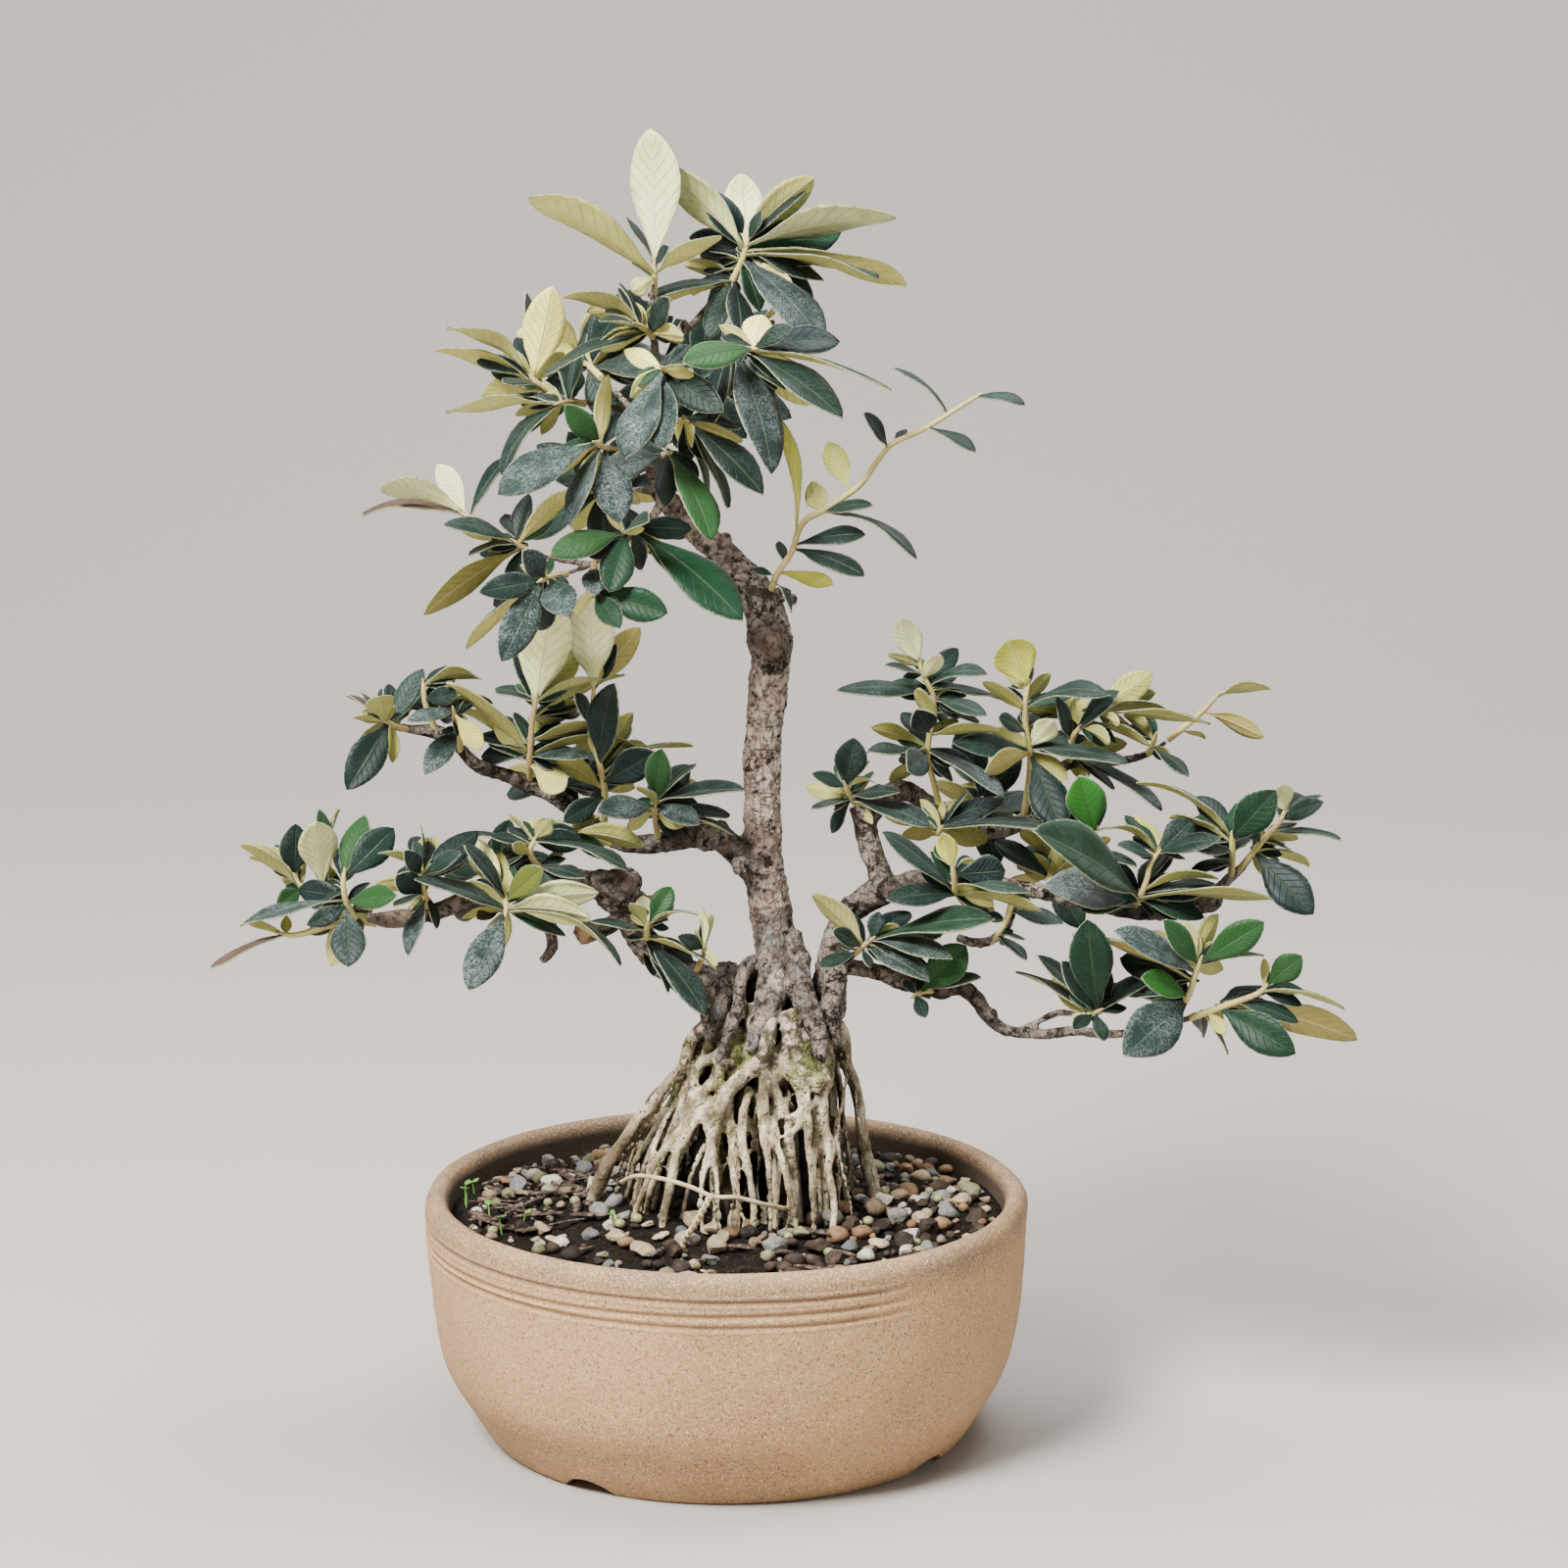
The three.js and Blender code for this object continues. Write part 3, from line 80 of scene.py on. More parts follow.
# Limbs of the grown wood: name, then [across, down, depth, thickness in the view] along it
LIMBS = [
  ["trunk", [[796, 1075, 4, 62], [803, 1006, 2, 50], [793, 971, 1, 47], [788, 936, 0, 46], [782, 901, 0, 44],
    [778, 866, 0, 42], [778, 813, 0, 39], [778, 760, 0, 39], [785, 690, 0, 42], [786, 652, -1, 50],
    [778, 618, -1, 42], [760, 590, 0, 35], [732, 560, 2, 30], [698, 531, 4, 27], [672, 500, 5, 22]]],
  ["knot", [[772, 640, -6, 20], [784, 655, -11, 24], [796, 668, -7, 16]]],
  ["c_leader", [[676, 505, 4, 21], [662, 470, 5, 18], [667, 430, 3, 16], [674, 392, 0, 13],
    [690, 345, -2, 10], [700, 325, -2, 7]]],
  ["c_top_left", [[674, 395, 0, 11], [667, 345, -5, 9], [666, 305, -8, 7], [667, 288, -10, 5]]],
  ["c_top_right", [[688, 350, -2, 9], [722, 314, 4, 8], [746, 290, 7, 6], [754, 274, 6, 5]]],
  ["c_right", [[676, 385, 0, 9], [712, 362, -8, 7], [750, 358, -18, 5]]],
  ["c_left", [[667, 430, 3, 11], [622, 414, -4, 8], [582, 408, -9, 7], [554, 397, -11, 5]]],
  ["c_mid_left", [[663, 466, 5, 9], [640, 462, -10, 7], [620, 459, -21, 5]]],
  ["c_low", [[680, 510, 5, 12], [656, 538, -12, 10], [632, 556, -20, 8], [603, 576, -26, 7],
    [572, 588, -30, 5]]],
  ["c_far_left", [[603, 576, -26, 7], [560, 569, -22, 6], [530, 557, -19, 5], [496, 539, -17, 4]]],
  ["c_back", [[667, 430, 3, 9], [690, 418, 18, 8], [704, 402, 32, 6]]],
  ["c_back_left", [[664, 440, 4, 9], [640, 412, 18, 8], [612, 384, 32, 6]]],
  ["c_back_low", [[676, 505, 5, 10], [652, 500, 18, 8], [628, 508, 32, 6]]],
  ["left_mid", [[782, 905, 0, 34], [762, 880, 1, 30], [738, 856, 2, 30], [712, 852, 4, 30], [697, 857, 5, 24],
    [661, 862, 7, 20], [626, 858, 9, 18], [600, 838, 10, 18], [570, 815, 12, 19], [540, 800, 14, 19],
    [512, 790, 13, 16], [484, 779, 11, 15], [467, 762, 10, 12], [447, 748, 9, 16], [420, 744, 7, 11],
    [404, 742, 4, 8]]],
  ["left_mid_knob", [[742, 868, -2, 14], [726, 848, -7, 26], [716, 840, -6, 14]]],
  ["left_low", [[790, 1030, 0, 44], [745, 1012, 0, 44], [716, 1004, -3, 42], [684, 986, -6, 34],
    [658, 964, -9, 32], [640, 932, -11, 34], [622, 908, -12, 36], [594, 900, -14, 26], [556, 892, -16, 22],
    [504, 905, -18, 18], [452, 928, -20, 20], [405, 938, -22, 20], [374, 936, -24, 10]]],
  ["left_low_knob", [[622, 925, -14, 34], [636, 902, -16, 40], [650, 900, -13, 20]]],
  ["left_low_stub", [[636, 938, -14, 16], [606, 950, -20, 24], [592, 953, -24, 25]]],
  ["left_low_spur", [[556, 892, -16, 12], [558, 934, -20, 14], [564, 966, -21, 13], [552, 981, -22, 9]]],
  ["left_low_snag", [[452, 928, -20, 10], [440, 942, -21, 7]]],
  ["right_stump", [[806, 1080, 2, 44], [840, 1040, 2, 40], [847, 1000, 1, 34], [852, 966, 0, 32],
    [860, 940, -1, 28], [880, 922, -3, 30], [904, 906, -4, 34]]],
  ["right_up", [[904, 908, -4, 28], [894, 882, -1, 25], [884, 850, 3, 26], [882, 824, 6, 30]]],
  ["right_up_knob", [[884, 830, 4, 20], [892, 818, 6, 22], [898, 810, 8, 14]]],
  ["right_top", [[884, 836, 5, 22], [918, 806, 10, 24], [952, 824, 14, 22], [1000, 845, 18, 22],
    [1044, 838, 20, 18], [1082, 784, 18, 14], [1124, 780, 14, 10], [1152, 774, 12, 9], [1176, 767, 10, 8],
    [1190, 757, 8, 6]]],
  ["right_mid", [[900, 910, -4, 24], [926, 900, -6, 22], [952, 896, -8, 20], [1010, 900, -10, 16],
    [1064, 911, -12, 18], [1122, 922, -12, 18], [1156, 930, -12, 18], [1196, 929, -12, 16],
    [1242, 922, -12, 18]]],
  ["right_mid_rise", [[1222, 924, -12, 12], [1248, 902, -12, 13], [1266, 886, -12, 10], [1279, 870, -14, 7]]],
  ["right_low", [[850, 985, 2, 20], [890, 990, -4, 18], [926, 1004, -10, 18], [956, 1008, -14, 20],
    [978, 1006, -16, 20], [996, 1018, -18, 18], [1008, 1036, -18, 16], [1024, 1050, -19, 13],
    [1060, 1056, -20, 12], [1094, 1052, -21, 12], [1142, 1056, -23, 10], [1186, 1046, -25, 8],
    [1216, 1038, -26, 7]]],
  ["right_low_twig", [[1040, 1052, -20, 8], [1064, 1040, -19, 8], [1082, 1032, -19, 8],
    [1102, 1036, -21, 6]]],
  ["right_moss", [[1040, 908, -12, 9], [1026, 948, -10, 9], [1000, 962, -8, 12], [976, 956, -8, 9]]],
]

# Exposed roots, read off the same view: [across, down, thickness]
ROOTS = [
  [[722, 1035, 16], [710, 1053, 14], [692, 1094, 13], [664, 1127, 13], [636, 1165, 14], [618, 1193, 16],
    [606, 1226, 16], [598, 1256, 12]],
  [[730, 1090, 10], [718, 1112, 10], [700, 1140, 9], [682, 1168, 9], [667, 1188, 9], [656, 1215, 8],
    [645, 1250, 7]],
  [[734, 1112, 12], [713, 1135, 13], [697, 1165, 12], [687, 1190, 11], [679, 1232, 10], [670, 1276, 7]],
  [[752, 1050, 14], [733, 1076, 13], [713, 1089, 12], [705, 1117, 10], [694, 1145, 8]],
  [[746, 990, 13], [756, 1010, 12], [753, 1033, 12], [746, 1053, 12], [738, 1079, 12], [730, 1112, 11]],
  [[780, 1010, 18], [784, 1053, 18], [776, 1079, 18], [759, 1096, 18], [743, 1114, 17], [730, 1146, 14],
    [722, 1180, 9], [716, 1215, 7]],
  [[723, 1119, 8], [720, 1142, 8], [727, 1178, 7], [734, 1216, 6]],
  [[759, 1110, 11], [757, 1142, 10], [761, 1173, 10], [765, 1198, 9], [770, 1236, 8]],
  [[785, 1085, 14], [780, 1109, 13], [781, 1137, 13], [778, 1160, 11], [784, 1190, 8], [786, 1230, 7]],
  [[789, 1130, 10], [792, 1160, 9], [797, 1183, 9], [804, 1209, 9], [812, 1246, 8]],
  [[744, 1150, 7], [748, 1178, 6], [753, 1206, 6], [757, 1240, 5]],
  [[816, 1046, 14], [836, 1072, 11], [848, 1100, 10], [833, 1124, 9], [802, 1142, 9]],
  [[842, 1120, 9], [818, 1143, 8], [800, 1160, 8]],
  [[826, 1085, 18], [838, 1112, 14], [843, 1150, 11], [848, 1170, 11], [845, 1193, 10], [850, 1226, 9]],
  [[858, 1030, 9], [863, 1079, 6], [861, 1117, 6], [854, 1160, 5], [862, 1200, 5]],
  [[860, 1060, 7], [871, 1105, 5], [875, 1142, 5], [888, 1190, 4]],
  [[802, 1070, 22], [812, 1098, 22], [822, 1130, 12], [826, 1180, 9], [830, 1230, 7]],
]

# Sprays behind the tree: name, where the shoot starts and ends (across, down, depth), leaves, their length
BACK_SPRAYS = [
  ["crown_back", [704, 402, 30], [716, 380, 56], 9, 30],
  ["crown_back_left", [614, 386, 30], [590, 362, 54], 9, 30],
  ["crown_back_low", [630, 507, 30], [612, 500, 56], 8, 28],
  ["left_mid_back", [570, 815, 12], [578, 786, 42], 6, 22],
  ["left_low_back", [504, 905, -18], [506, 880, 14], 6, 22],
  ["right_top_back", [1000, 845, 18], [1004, 806, 48], 7, 24],
  ["right_mid_back", [1064, 911, -12], [1078, 884, 22], 7, 24],
]

# Where the tie wire runs, and its twisted tail: [across, down, depth]
WIRE_LINE = [[634, 1206, -24], [650, 1200, -36], [676, 1203, -46], [704, 1211, -50], [728, 1221, -52],
  [752, 1222, -52], [780, 1229, -48], [806, 1234, -36]]
WIRE_TAIL = [[726, 1219, -52], [718, 1234, -53], [710, 1249, -53], [700, 1262, -52], [696, 1274, -50]]

# Leafy sprays: name, the twig's (across, down, depth), then each leaf as (across, down) on the twig,
# (across, down) of its tip, the width shown (below zero: its underside), the tip's reach in depth
# in mm, its arch where it isn't slight, and the letter of its tone
SPRAYS = [
    ("crown_apex", [(667, 300, -8), (668, 283, -10), (668, 270, -10)],
     [(668, 275, 663, 131, -52, 6, "c"), (650, 280, 540, 200, -28, -20), (667, 268, 638, 220, 8, 10),
     (681, 279, 736, 240, -18, -12), (686, 283, 645, 298, -20, -14), (668, 272, 682, 251, 8, -8),
     (653, 284, 646, 267, 8, 10)]),
    ("crown_top_right", [(748, 286, 6), (757, 268, 5), (762, 250, 4)],
     [(752, 252, 675, 168, -36, -10, "c"), (758, 250, 756, 177, -41, 8, "c"), (765, 248, 777, 215, 10, 0),
     (771, 245, 914, 221, -26, -6, "c"), (768, 256, 845, 258, 12, 14), (768, 258, 925, 291, -12, 10),
     (768, 262, 897, 282, -14, -14), (762, 266, 840, 350, 34, -26, "f"), (742, 284, 723, 346, 24, -12),
     (744, 284, 756, 349, 28, -22, "d"), (725, 285, 661, 301, 8, -10), (722, 287, 662, 310, -10, 6),
     (750, 270, 706, 300, -12, 26), (752, 264, 715, 262, -8, 18)]),
    ("crown_upper_left", [(667, 345, -4), (660, 336, -14), (650, 331, -20)],
     [(662, 335, 573, 303, -16, -8, 0.14), (655, 332, 632, 289, 8, 8), (662, 335, 612, 327, 7, -16),
     (655, 334, 610, 322, -12, 6), (660, 340, 556, 381, 15, -20), (660, 340, 612, 357, -16, -26),
     (664, 340, 683, 304, 22, -14), (664, 340, 698, 342, -20, -16), (662, 338, 670, 318, 12, -6),
     (658, 336, 600, 318, -14, 24)]),
    ("crown_right", [(745, 358, -16), (758, 357, -22), (768, 356, -26)],
     [(768, 357, 697, 370, 30, -18, "b"), (768, 355, 778, 322, -34, 10), (768, 350, 808, 333, 18, -6),
     (765, 356, 792, 315, 6, 14), (768, 356, 823, 361, 10, 12), (768, 358, 910, 397, -9, -6),
     (768, 360, 815, 385, -18, 12), (760, 360, 860, 427, 26, -16), (750, 362, 788, 483, 44, -26, "f"),
     (764, 360, 742, 400, 16, 20)]),
    ("crown_front", [(676, 388, -2), (679, 381, -18), (676, 375, -34)],
     [(675, 372, 732, 367, 5, -8), (676, 378, 637, 357, -20, 6, "b"), (672, 380, 638, 468, 36, -22, "f"),
     (676, 380, 677, 457, 35, -26, "f"), (680, 378, 737, 420, 36, -18), (677, 376, 704, 352, 14, 4)]),
    ("crown_left", [(560, 398, -10), (548, 392, -12), (541, 382, -12)],
     [(541, 380, 456, 335, -14, -10, 0.12), (541, 388, 564, 292, -44, -6), (541, 384, 537, 297, 8, 16),
     (553, 396, 443, 357, -15, 10), (553, 394, 513, 390, 5, -16)]),
    ("crown_left_low", [(596, 412, -8), (580, 410, -18), (570, 412, -24)],
     [(570, 412, 455, 421, -11, -6), (570, 412, 520, 411, -9, 10), (572, 410, 522, 403, 8, 16),
     (574, 414, 512, 485, 14, -14, 0.12), (582, 408, 597, 340, 10, 12)]),
    ("crown_mid_left", [(630, 460, -16), (616, 457, -26), (608, 452, -32)],
     [(613, 455, 577, 413, 26, -6, "b"), (614, 452, 620, 382, -20, 8), (608, 452, 508, 505, 40, -16, "f"),
     (612, 456, 581, 537, 24, -14, "f"), (616, 460, 632, 533, 42, -16, "f")]),
    ("crown_mid_right", [(670, 428, 2), (688, 428, -14), (700, 430, -24)],
     [(700, 426, 758, 450, -12, -4), (698, 430, 707, 455, -10, -14), (700, 432, 779, 505, 30, -14),
     (690, 430, 725, 470, 14, 8), (698, 432, 724, 510, 12, 14), (700, 432, 744, 518, 10, 4)]),
    ("crown_low_mid", [(664, 474, 4), (676, 464, -16), (684, 462, -26)],
     [(676, 460, 612, 482, 30, -18, "s"), (684, 465, 726, 551, 28, -20, "b"), (682, 464, 700, 520, 10, 8)]),
    ("crown_low", [(657, 538, -14), (650, 544, -26), (638, 543, -34)],
     [(636, 543, 562, 566, 30, -14, "b"), (640, 543, 622, 604, 36, -12, "g"), (636, 541, 662, 531, 8, -20),
     (654, 546, 758, 633, 44, -18, "g"), (644, 545, 655, 582, 16, 8), (652, 544, 682, 584, 8, 10)]),
    ("crown_low_left", [(606, 574, -26), (608, 590, -32), (607, 603, -36)],
     [(612, 578, 606, 607, 26, -18, "f"), (610, 603, 681, 626, 36, -8, "g"),
     (607, 603, 632, 641, 26, -16, "g"), (606, 600, 588, 628, -12, 10)]),
    ("crown_left_tip", [(545, 565, -22), (535, 560, -24), (527, 554, -26)],
     [(530, 552, 453, 535, 17, -10, 0.1), (530, 556, 473, 543, -8, 6), (528, 554, 478, 566, 6, -6, 0.1),
     (527, 556, 583, 500, -22, 4), (532, 560, 432, 627, -28, -12, "t")]),
    ("crown_low_front", [(578, 586, -29), (562, 588, -36), (553, 592, -40)],
     [(556, 588, 534, 562, 26, -16, "f"), (552, 592, 489, 604, 28, -10), (553, 592, 475, 661, -14, 10),
     (553, 594, 512, 675, 38, -12, "f"), (560, 588, 580, 629, 38, -22, "f")]),
    ("crown_far_left", [(500, 541, -17), (486, 531, -18), (476, 526, -18)],
     [(476, 526, 388, 497, -25, -8, 0.16, "c"), (478, 524, 447, 474, -26, 12, "c"),
     (478, 526, 370, 524, 10, 14, 0.1, "o"), (480, 525, 517, 467, 12, 6)]),
    ("shoot_right", [(786, 606, -2), (789, 590, -8), (810, 562, -10), (813, 544, -10), (822, 529, -12),
     (838, 523, -14), (863, 506, -14), (879, 495, -12), (894, 472, -12), (909, 452, -14), (930, 444, -16),
     (950, 434, -18), (970, 421, -18), (996, 405, -20)],
     [(996, 406, 1046, 412, 10, -4, 0.1), (966, 420, 910, 375, 4, 6, 0.1), (947, 436, 996, 461, 12, -8),
     (906, 456, 882, 421, 12, -8), (912, 451, 925, 438, 8, 6), (868, 503, 845, 451, -26, 6),
     (838, 523, 828, 492, -24, 10), (841, 522, 890, 515, 14, -8), (840, 523, 936, 569, 5, -10, 0.12),
     (812, 556, 883, 545, 18, -6), (812, 560, 882, 587, 22, -14), (794, 584, 850, 596, -13, 6, "y"),
     (792, 588, 768, 581, 8, 10), (800, 575, 795, 552, 10, 8), (813, 544, 785, 412, -18, 8, 0.08, "y"),
     (790, 592, 808, 625, 6, -4, 0.12)]),
    ("left_mid_tip", [(415, 744, 6), (402, 741, 2), (394, 736, 0)],
     [(396, 738, 354, 806, 38, -12), (394, 737, 385, 710, -30, -14), (400, 738, 432, 682, 24, 8),
     (395, 737, 368, 706, 8, 10), (396, 739, 361, 732, -8, 4), (400, 740, 415, 720, 12, 14),
     (394, 736, 354, 709, 3, -2, "o")]),
    ("left_mid_up", [(447, 752, 9), (438, 730, 6), (433, 714, 4), (432, 700, 4)],
     [(432, 700, 491, 693, -14, -6, 0.2), (433, 714, 467, 707, 20, -10), (433, 712, 503, 717, -7, 8),
     (436, 726, 412, 716, 10, 8)]),
    ("left_mid_second", [(470, 768, 10), (467, 745, 2), (463, 726, -4)],
     [(466, 745, 434, 790, 26, -16, "f"), (463, 726, 416, 735, 16, -10, "f"),
     (464, 728, 492, 764, -22, -8, "t"), (465, 735, 482, 716, 8, 10)]),
    ("left_mid_third", [(541, 799, 14), (540, 782, 8), (541, 765, 4), (543, 735, 2), (547, 714, 0)],
     [(541, 770, 456, 696, -14, -8), (541, 768, 457, 722, -16, 4, 0.08), (540, 776, 498, 757, 12, 8),
     (541, 768, 512, 733, 18, 14), (545, 722, 563, 605, -56, -10, "c"), (547, 716, 590, 662, -30, 6),
     (547, 716, 616, 692, -8, -6, 0.08), (544, 732, 637, 688, -12, 10),
     (541, 770, 655, 768, -8, -10, 0.12), (541, 772, 600, 772, 12, -14, "f"), (542, 755, 625, 742, -14, 6),
     (547, 716, 506, 702, 12, 16), (540, 780, 577, 806, -30, -14)]),
    ("left_mid_fourth", [(616, 848, 10), (618, 815, 4), (616, 798, 0), (607, 760, 2), (604, 735, 4),
     (606, 700, 6)],
     [(606, 700, 600, 602, -50, -6, "c"), (606, 700, 653, 640, -30, 8, "t"), (605, 742, 586, 708, 12, -10),
     (605, 742, 595, 716, -8, 8), (612, 780, 627, 697, 30, -14), (617, 798, 668, 768, 36, -16, "d"),
     (614, 790, 707, 761, -7, 12, 0.12), (617, 806, 563, 766, -22, -8), (617, 812, 575, 838, 24, -12)]),
    ("left_mid_front", [(672, 856, 6), (668, 836, -6), (669, 818, -14)],
     [(669, 818, 675, 764, 28, -12, "b"), (668, 822, 610, 828, 24, -18, "f"), (669, 818, 760, 806, 14, -10),
     (669, 818, 720, 800, 6, 4), (669, 820, 703, 780, 26, 10), (669, 822, 713, 841, 22, -16, "f"),
     (669, 820, 756, 801, -5, 16), (669, 824, 745, 832, 14, 6), (668, 828, 748, 850, 8, -4),
     (669, 820, 652, 802, -8, -12), (668, 828, 700, 842, -20, -4), (668, 828, 640, 845, -14, -10),
     (669, 818, 710, 779, 7, 14)]),
    ("left_mid_low", [(592, 830, 11), (584, 845, -2), (577, 856, -10)],
     [(578, 855, 548, 838, -20, -8), (582, 848, 658, 862, -22, -14), (580, 852, 605, 835, -14, 4),
     (580, 852, 552, 860, 8, -8)]),
    ("left_low_tip", [(362, 937, -24), (354, 925, -28), (350, 905, -30), (351, 893, -30)],
     [(352, 896, 402, 845, 36, 8), (350, 900, 362, 858, 20, 14), (350, 903, 372, 832, 26, 16, "b"),
     (354, 922, 404, 913, 24, -12, "b"), (352, 918, 245, 944, 14, -6, "f"),
     (354, 925, 356, 986, 37, -16, "f"), (354, 925, 313, 944, 20, -8), (356, 928, 338, 986, -26, 4),
     (358, 932, 383, 945, -14, 6), (351, 910, 318, 925, 12, 10)]),
    ("left_low_left", [(360, 934, -23), (340, 910, -18), (325, 906, -16), (306, 906, -16), (300, 892, -16)],
     [(301, 890, 302, 840, 32, -8), (330, 906, 322, 838, -42, -12, "c"), (306, 904, 246, 861, -8, -6),
     (301, 892, 262, 862, -8, 6), (302, 896, 275, 865, -12, 10), (302, 896, 255, 874, 4, 2),
     (308, 906, 283, 925, 22, -8, "b"), (330, 906, 326, 826, 16, 10, "b"),
     (335, 907, 345, 826, 14, 14, "b")]),
    ("left_low_under", [(352, 938, -24), (320, 950, -30), (300, 955, -32), (289, 953, -32)],
     [(290, 953, 215, 987, 8, -4, "o"), (292, 954, 292, 935, -12, 6), (290, 953, 254, 942, -8, 4)]),
    ("left_low_second", [(438, 930, -20), (433, 912, -28), (430, 896, -32), (430, 884, -32)],
     [(430, 890, 386, 870, -8, -6, 0.16), (431, 892, 413, 868, 18, -10), (430, 886, 424, 857, 12, 6),
     (431, 888, 429, 842, 8, 12), (431, 894, 470, 871, 18, -8), (432, 898, 488, 848, 30, 12, "d"),
     (433, 912, 405, 893, 26, -12), (432, 904, 382, 905, -14, 6, "t"), (433, 912, 402, 925, 6, -14),
     (434, 916, 416, 975, 18, -14, "f")]),
    ("left_low_third", [(512, 906, -18), (517, 920, -30), (516, 931, -36)],
     [(517, 918, 474, 862, 16, -6), (517, 920, 553, 886, 26, -14, "v"), (516, 915, 548, 884, 16, 8, "d"),
     (517, 926, 603, 935, -26, -20, "c"), (516, 928, 423, 896, 20, -8),
     (516, 930, 478, 1010, 38, -16, "f"), (517, 930, 634, 984, 8, -16, 0.14), (517, 922, 560, 905, 14, 2),
     (514, 912, 463, 933, 26, 6, "o"), (515, 916, 487, 938, 18, -6, "o"),
     (514, 910, 478, 854, -28, 8, "c"), (514, 910, 490, 876, -12, 14), (517, 924, 611, 910, -30, 14, "c")]),
    ("left_low_fourth", [(558, 893, -16), (545, 880, -20), (540, 868, -22), (546, 856, -22)],
     [(541, 872, 523, 861, -14, -8), (540, 868, 480, 849, 4, 4), (545, 858, 520, 831, -5, 6),
     (546, 857, 560, 836, -22, -6), (542, 862, 500, 853, 8, 10), (545, 858, 640, 886, 8, -10, 0.08),
     (550, 885, 597, 896, 12, -12), (550, 885, 570, 920, 18, -14)]),
    ("left_low_inner", [(662, 968, -8), (659, 952, -18), (661, 943, -22)],
     [(659, 946, 644, 921, -14, -8), (661, 944, 655, 914, -20, 4, "c"), (661, 944, 685, 905, 24, 6, "b"),
     (661, 944, 712, 933, -5, -4, 0.16), (659, 950, 603, 940, 8, -10), (660, 956, 731, 988, -6, -12),
     (660, 960, 720, 1036, 26, -16), (661, 946, 681, 936, 8, 10), (660, 956, 640, 957, 6, 8)]),
    ("left_low_right", [(708, 996, -5), (717, 978, -18), (719, 966, -22)],
     [(719, 966, 716, 924, -8, -4, "c"), (719, 965, 727, 933, -6, 4), (718, 968, 692, 955, 16, -8),
     (718, 970, 733, 984, -10, -8)]),
    ("right_knob", [(878, 826, 6), (868, 815, -2), (863, 802, -6)],
     [(863, 802, 872, 753, 34, -8), (864, 804, 829, 789, 14, -4), (867, 812, 822, 803, -20, 6),
     (868, 815, 828, 825, 8, -8), (864, 804, 893, 798, -6, -4, 0.2), (867, 812, 918, 808, 16, -12),
     (869, 816, 948, 843, 16, -18), (868, 816, 848, 850, 14, 4)]),
    ("right_top_apex", [(960, 828, 14), (952, 795, 8), (945, 772, 4), (950, 740, 2), (955, 712, 0),
     (943, 692, -2), (938, 676, -2)],
     [(938, 676, 918, 631, -30, -6, "c"), (938, 680, 906, 668, -8, 6), (941, 688, 903, 679, 7, -8),
     (943, 692, 960, 668, -18, -10, "c"), (945, 694, 978, 662, 22, 6), (948, 700, 1007, 687, 12, -8, 0.14),
     (950, 703, 1022, 713, 7, 10), (952, 706, 854, 704, 22, -10), (950, 742, 938, 702, -16, -14),
     (955, 714, 1007, 730, 16, -10), (953, 725, 1000, 736, 10, 8), (949, 748, 936, 724, 28, -18, "d"),
     (947, 762, 889, 742, -16, 8), (946, 768, 884, 767, 10, -6), (946, 768, 926, 786, 32, -20, "f"),
     (946, 774, 908, 798, -16, 4), (949, 750, 1020, 744, -14, -8), (947, 765, 1025, 812, 14, -16, "f"),
     (947, 780, 985, 783, 4, 6), (954, 712, 968, 704, -6, 8)]),
    ("right_top_mid", [(1044, 838, 20), (1050, 800, 12), (1052, 766, 6), (1046, 740, 4), (1046, 715, 2),
     (1049, 700, 2)],
     [(1049, 700, 1028, 653, -46, -8, "y"), (1048, 704, 1025, 684, -12, 8), (1046, 725, 1003, 695, -16, -6),
     (1046, 722, 1133, 709, 12, -8, 0.14), (1048, 748, 1019, 732, 14, -12),
     (1051, 762, 1075, 735, -26, -10, "c"), (1051, 766, 972, 758, 24, -10),
     (1052, 768, 1005, 787, -20, -16, "t"), (1052, 770, 1084, 847, 42, -20, "d"),
     (1052, 764, 1150, 778, 14, -16), (1047, 742, 1078, 727, 4, 8)]),
    ("right_top_right", [(1092, 780, 18), (1092, 762, 10), (1096, 748, 6), (1108, 738, 4), (1122, 728, 2)],
     [(1093, 757, 1078, 711, 14, -6), (1097, 748, 1142, 705, 16, -8), (1102, 742, 1097, 706, -26, 8),
     (1112, 736, 1173, 760, -6, -6), (1104, 741, 1133, 757, -12, -14), (1122, 728, 1143, 738, -10, -10),
     (1122, 728, 1192, 726, -12, 4, 0.12), (1122, 728, 1235, 738, -8, -12),
     (1092, 770, 1186, 826, 14, -16, "f")]),
    ("right_top_tip", [(1192, 755, 8), (1222, 732, 5), (1241, 711, 2)],
     [(1241, 711, 1297, 702, -12, -6, 0.1), (1205, 745, 1230, 753, -6, 6),
     (1228, 726, 1290, 752, -18, -10, "t")]),
    ("right_top_twig", [(1172, 769, 10), (1176, 760, 4), (1179, 751, 0)],
     [(1178, 756, 1147, 729, -12, 6, 0.16), (1176, 762, 1213, 792, 12, -12)]),
    ("right_mid_bright", [(1110, 920, -12), (1106, 890, -14), (1114, 862, -16), (1118, 850, -16)],
     [(1118, 850, 1101, 792, 42, -6, "w"), (1117, 854, 1104, 787, -14, 14, "o"),
     (1112, 868, 1160, 884, 12, -10), (1113, 864, 1133, 856, -10, 6)]),
    ("right_mid_big", [(1154, 930, -12), (1162, 918, -20), (1170, 900, -22), (1173, 882, -20),
     (1182, 870, -18)],
     [(1163, 916, 1055, 848, 44, -12, "g"), (1181, 870, 1118, 848, -8, -4, 0.2),
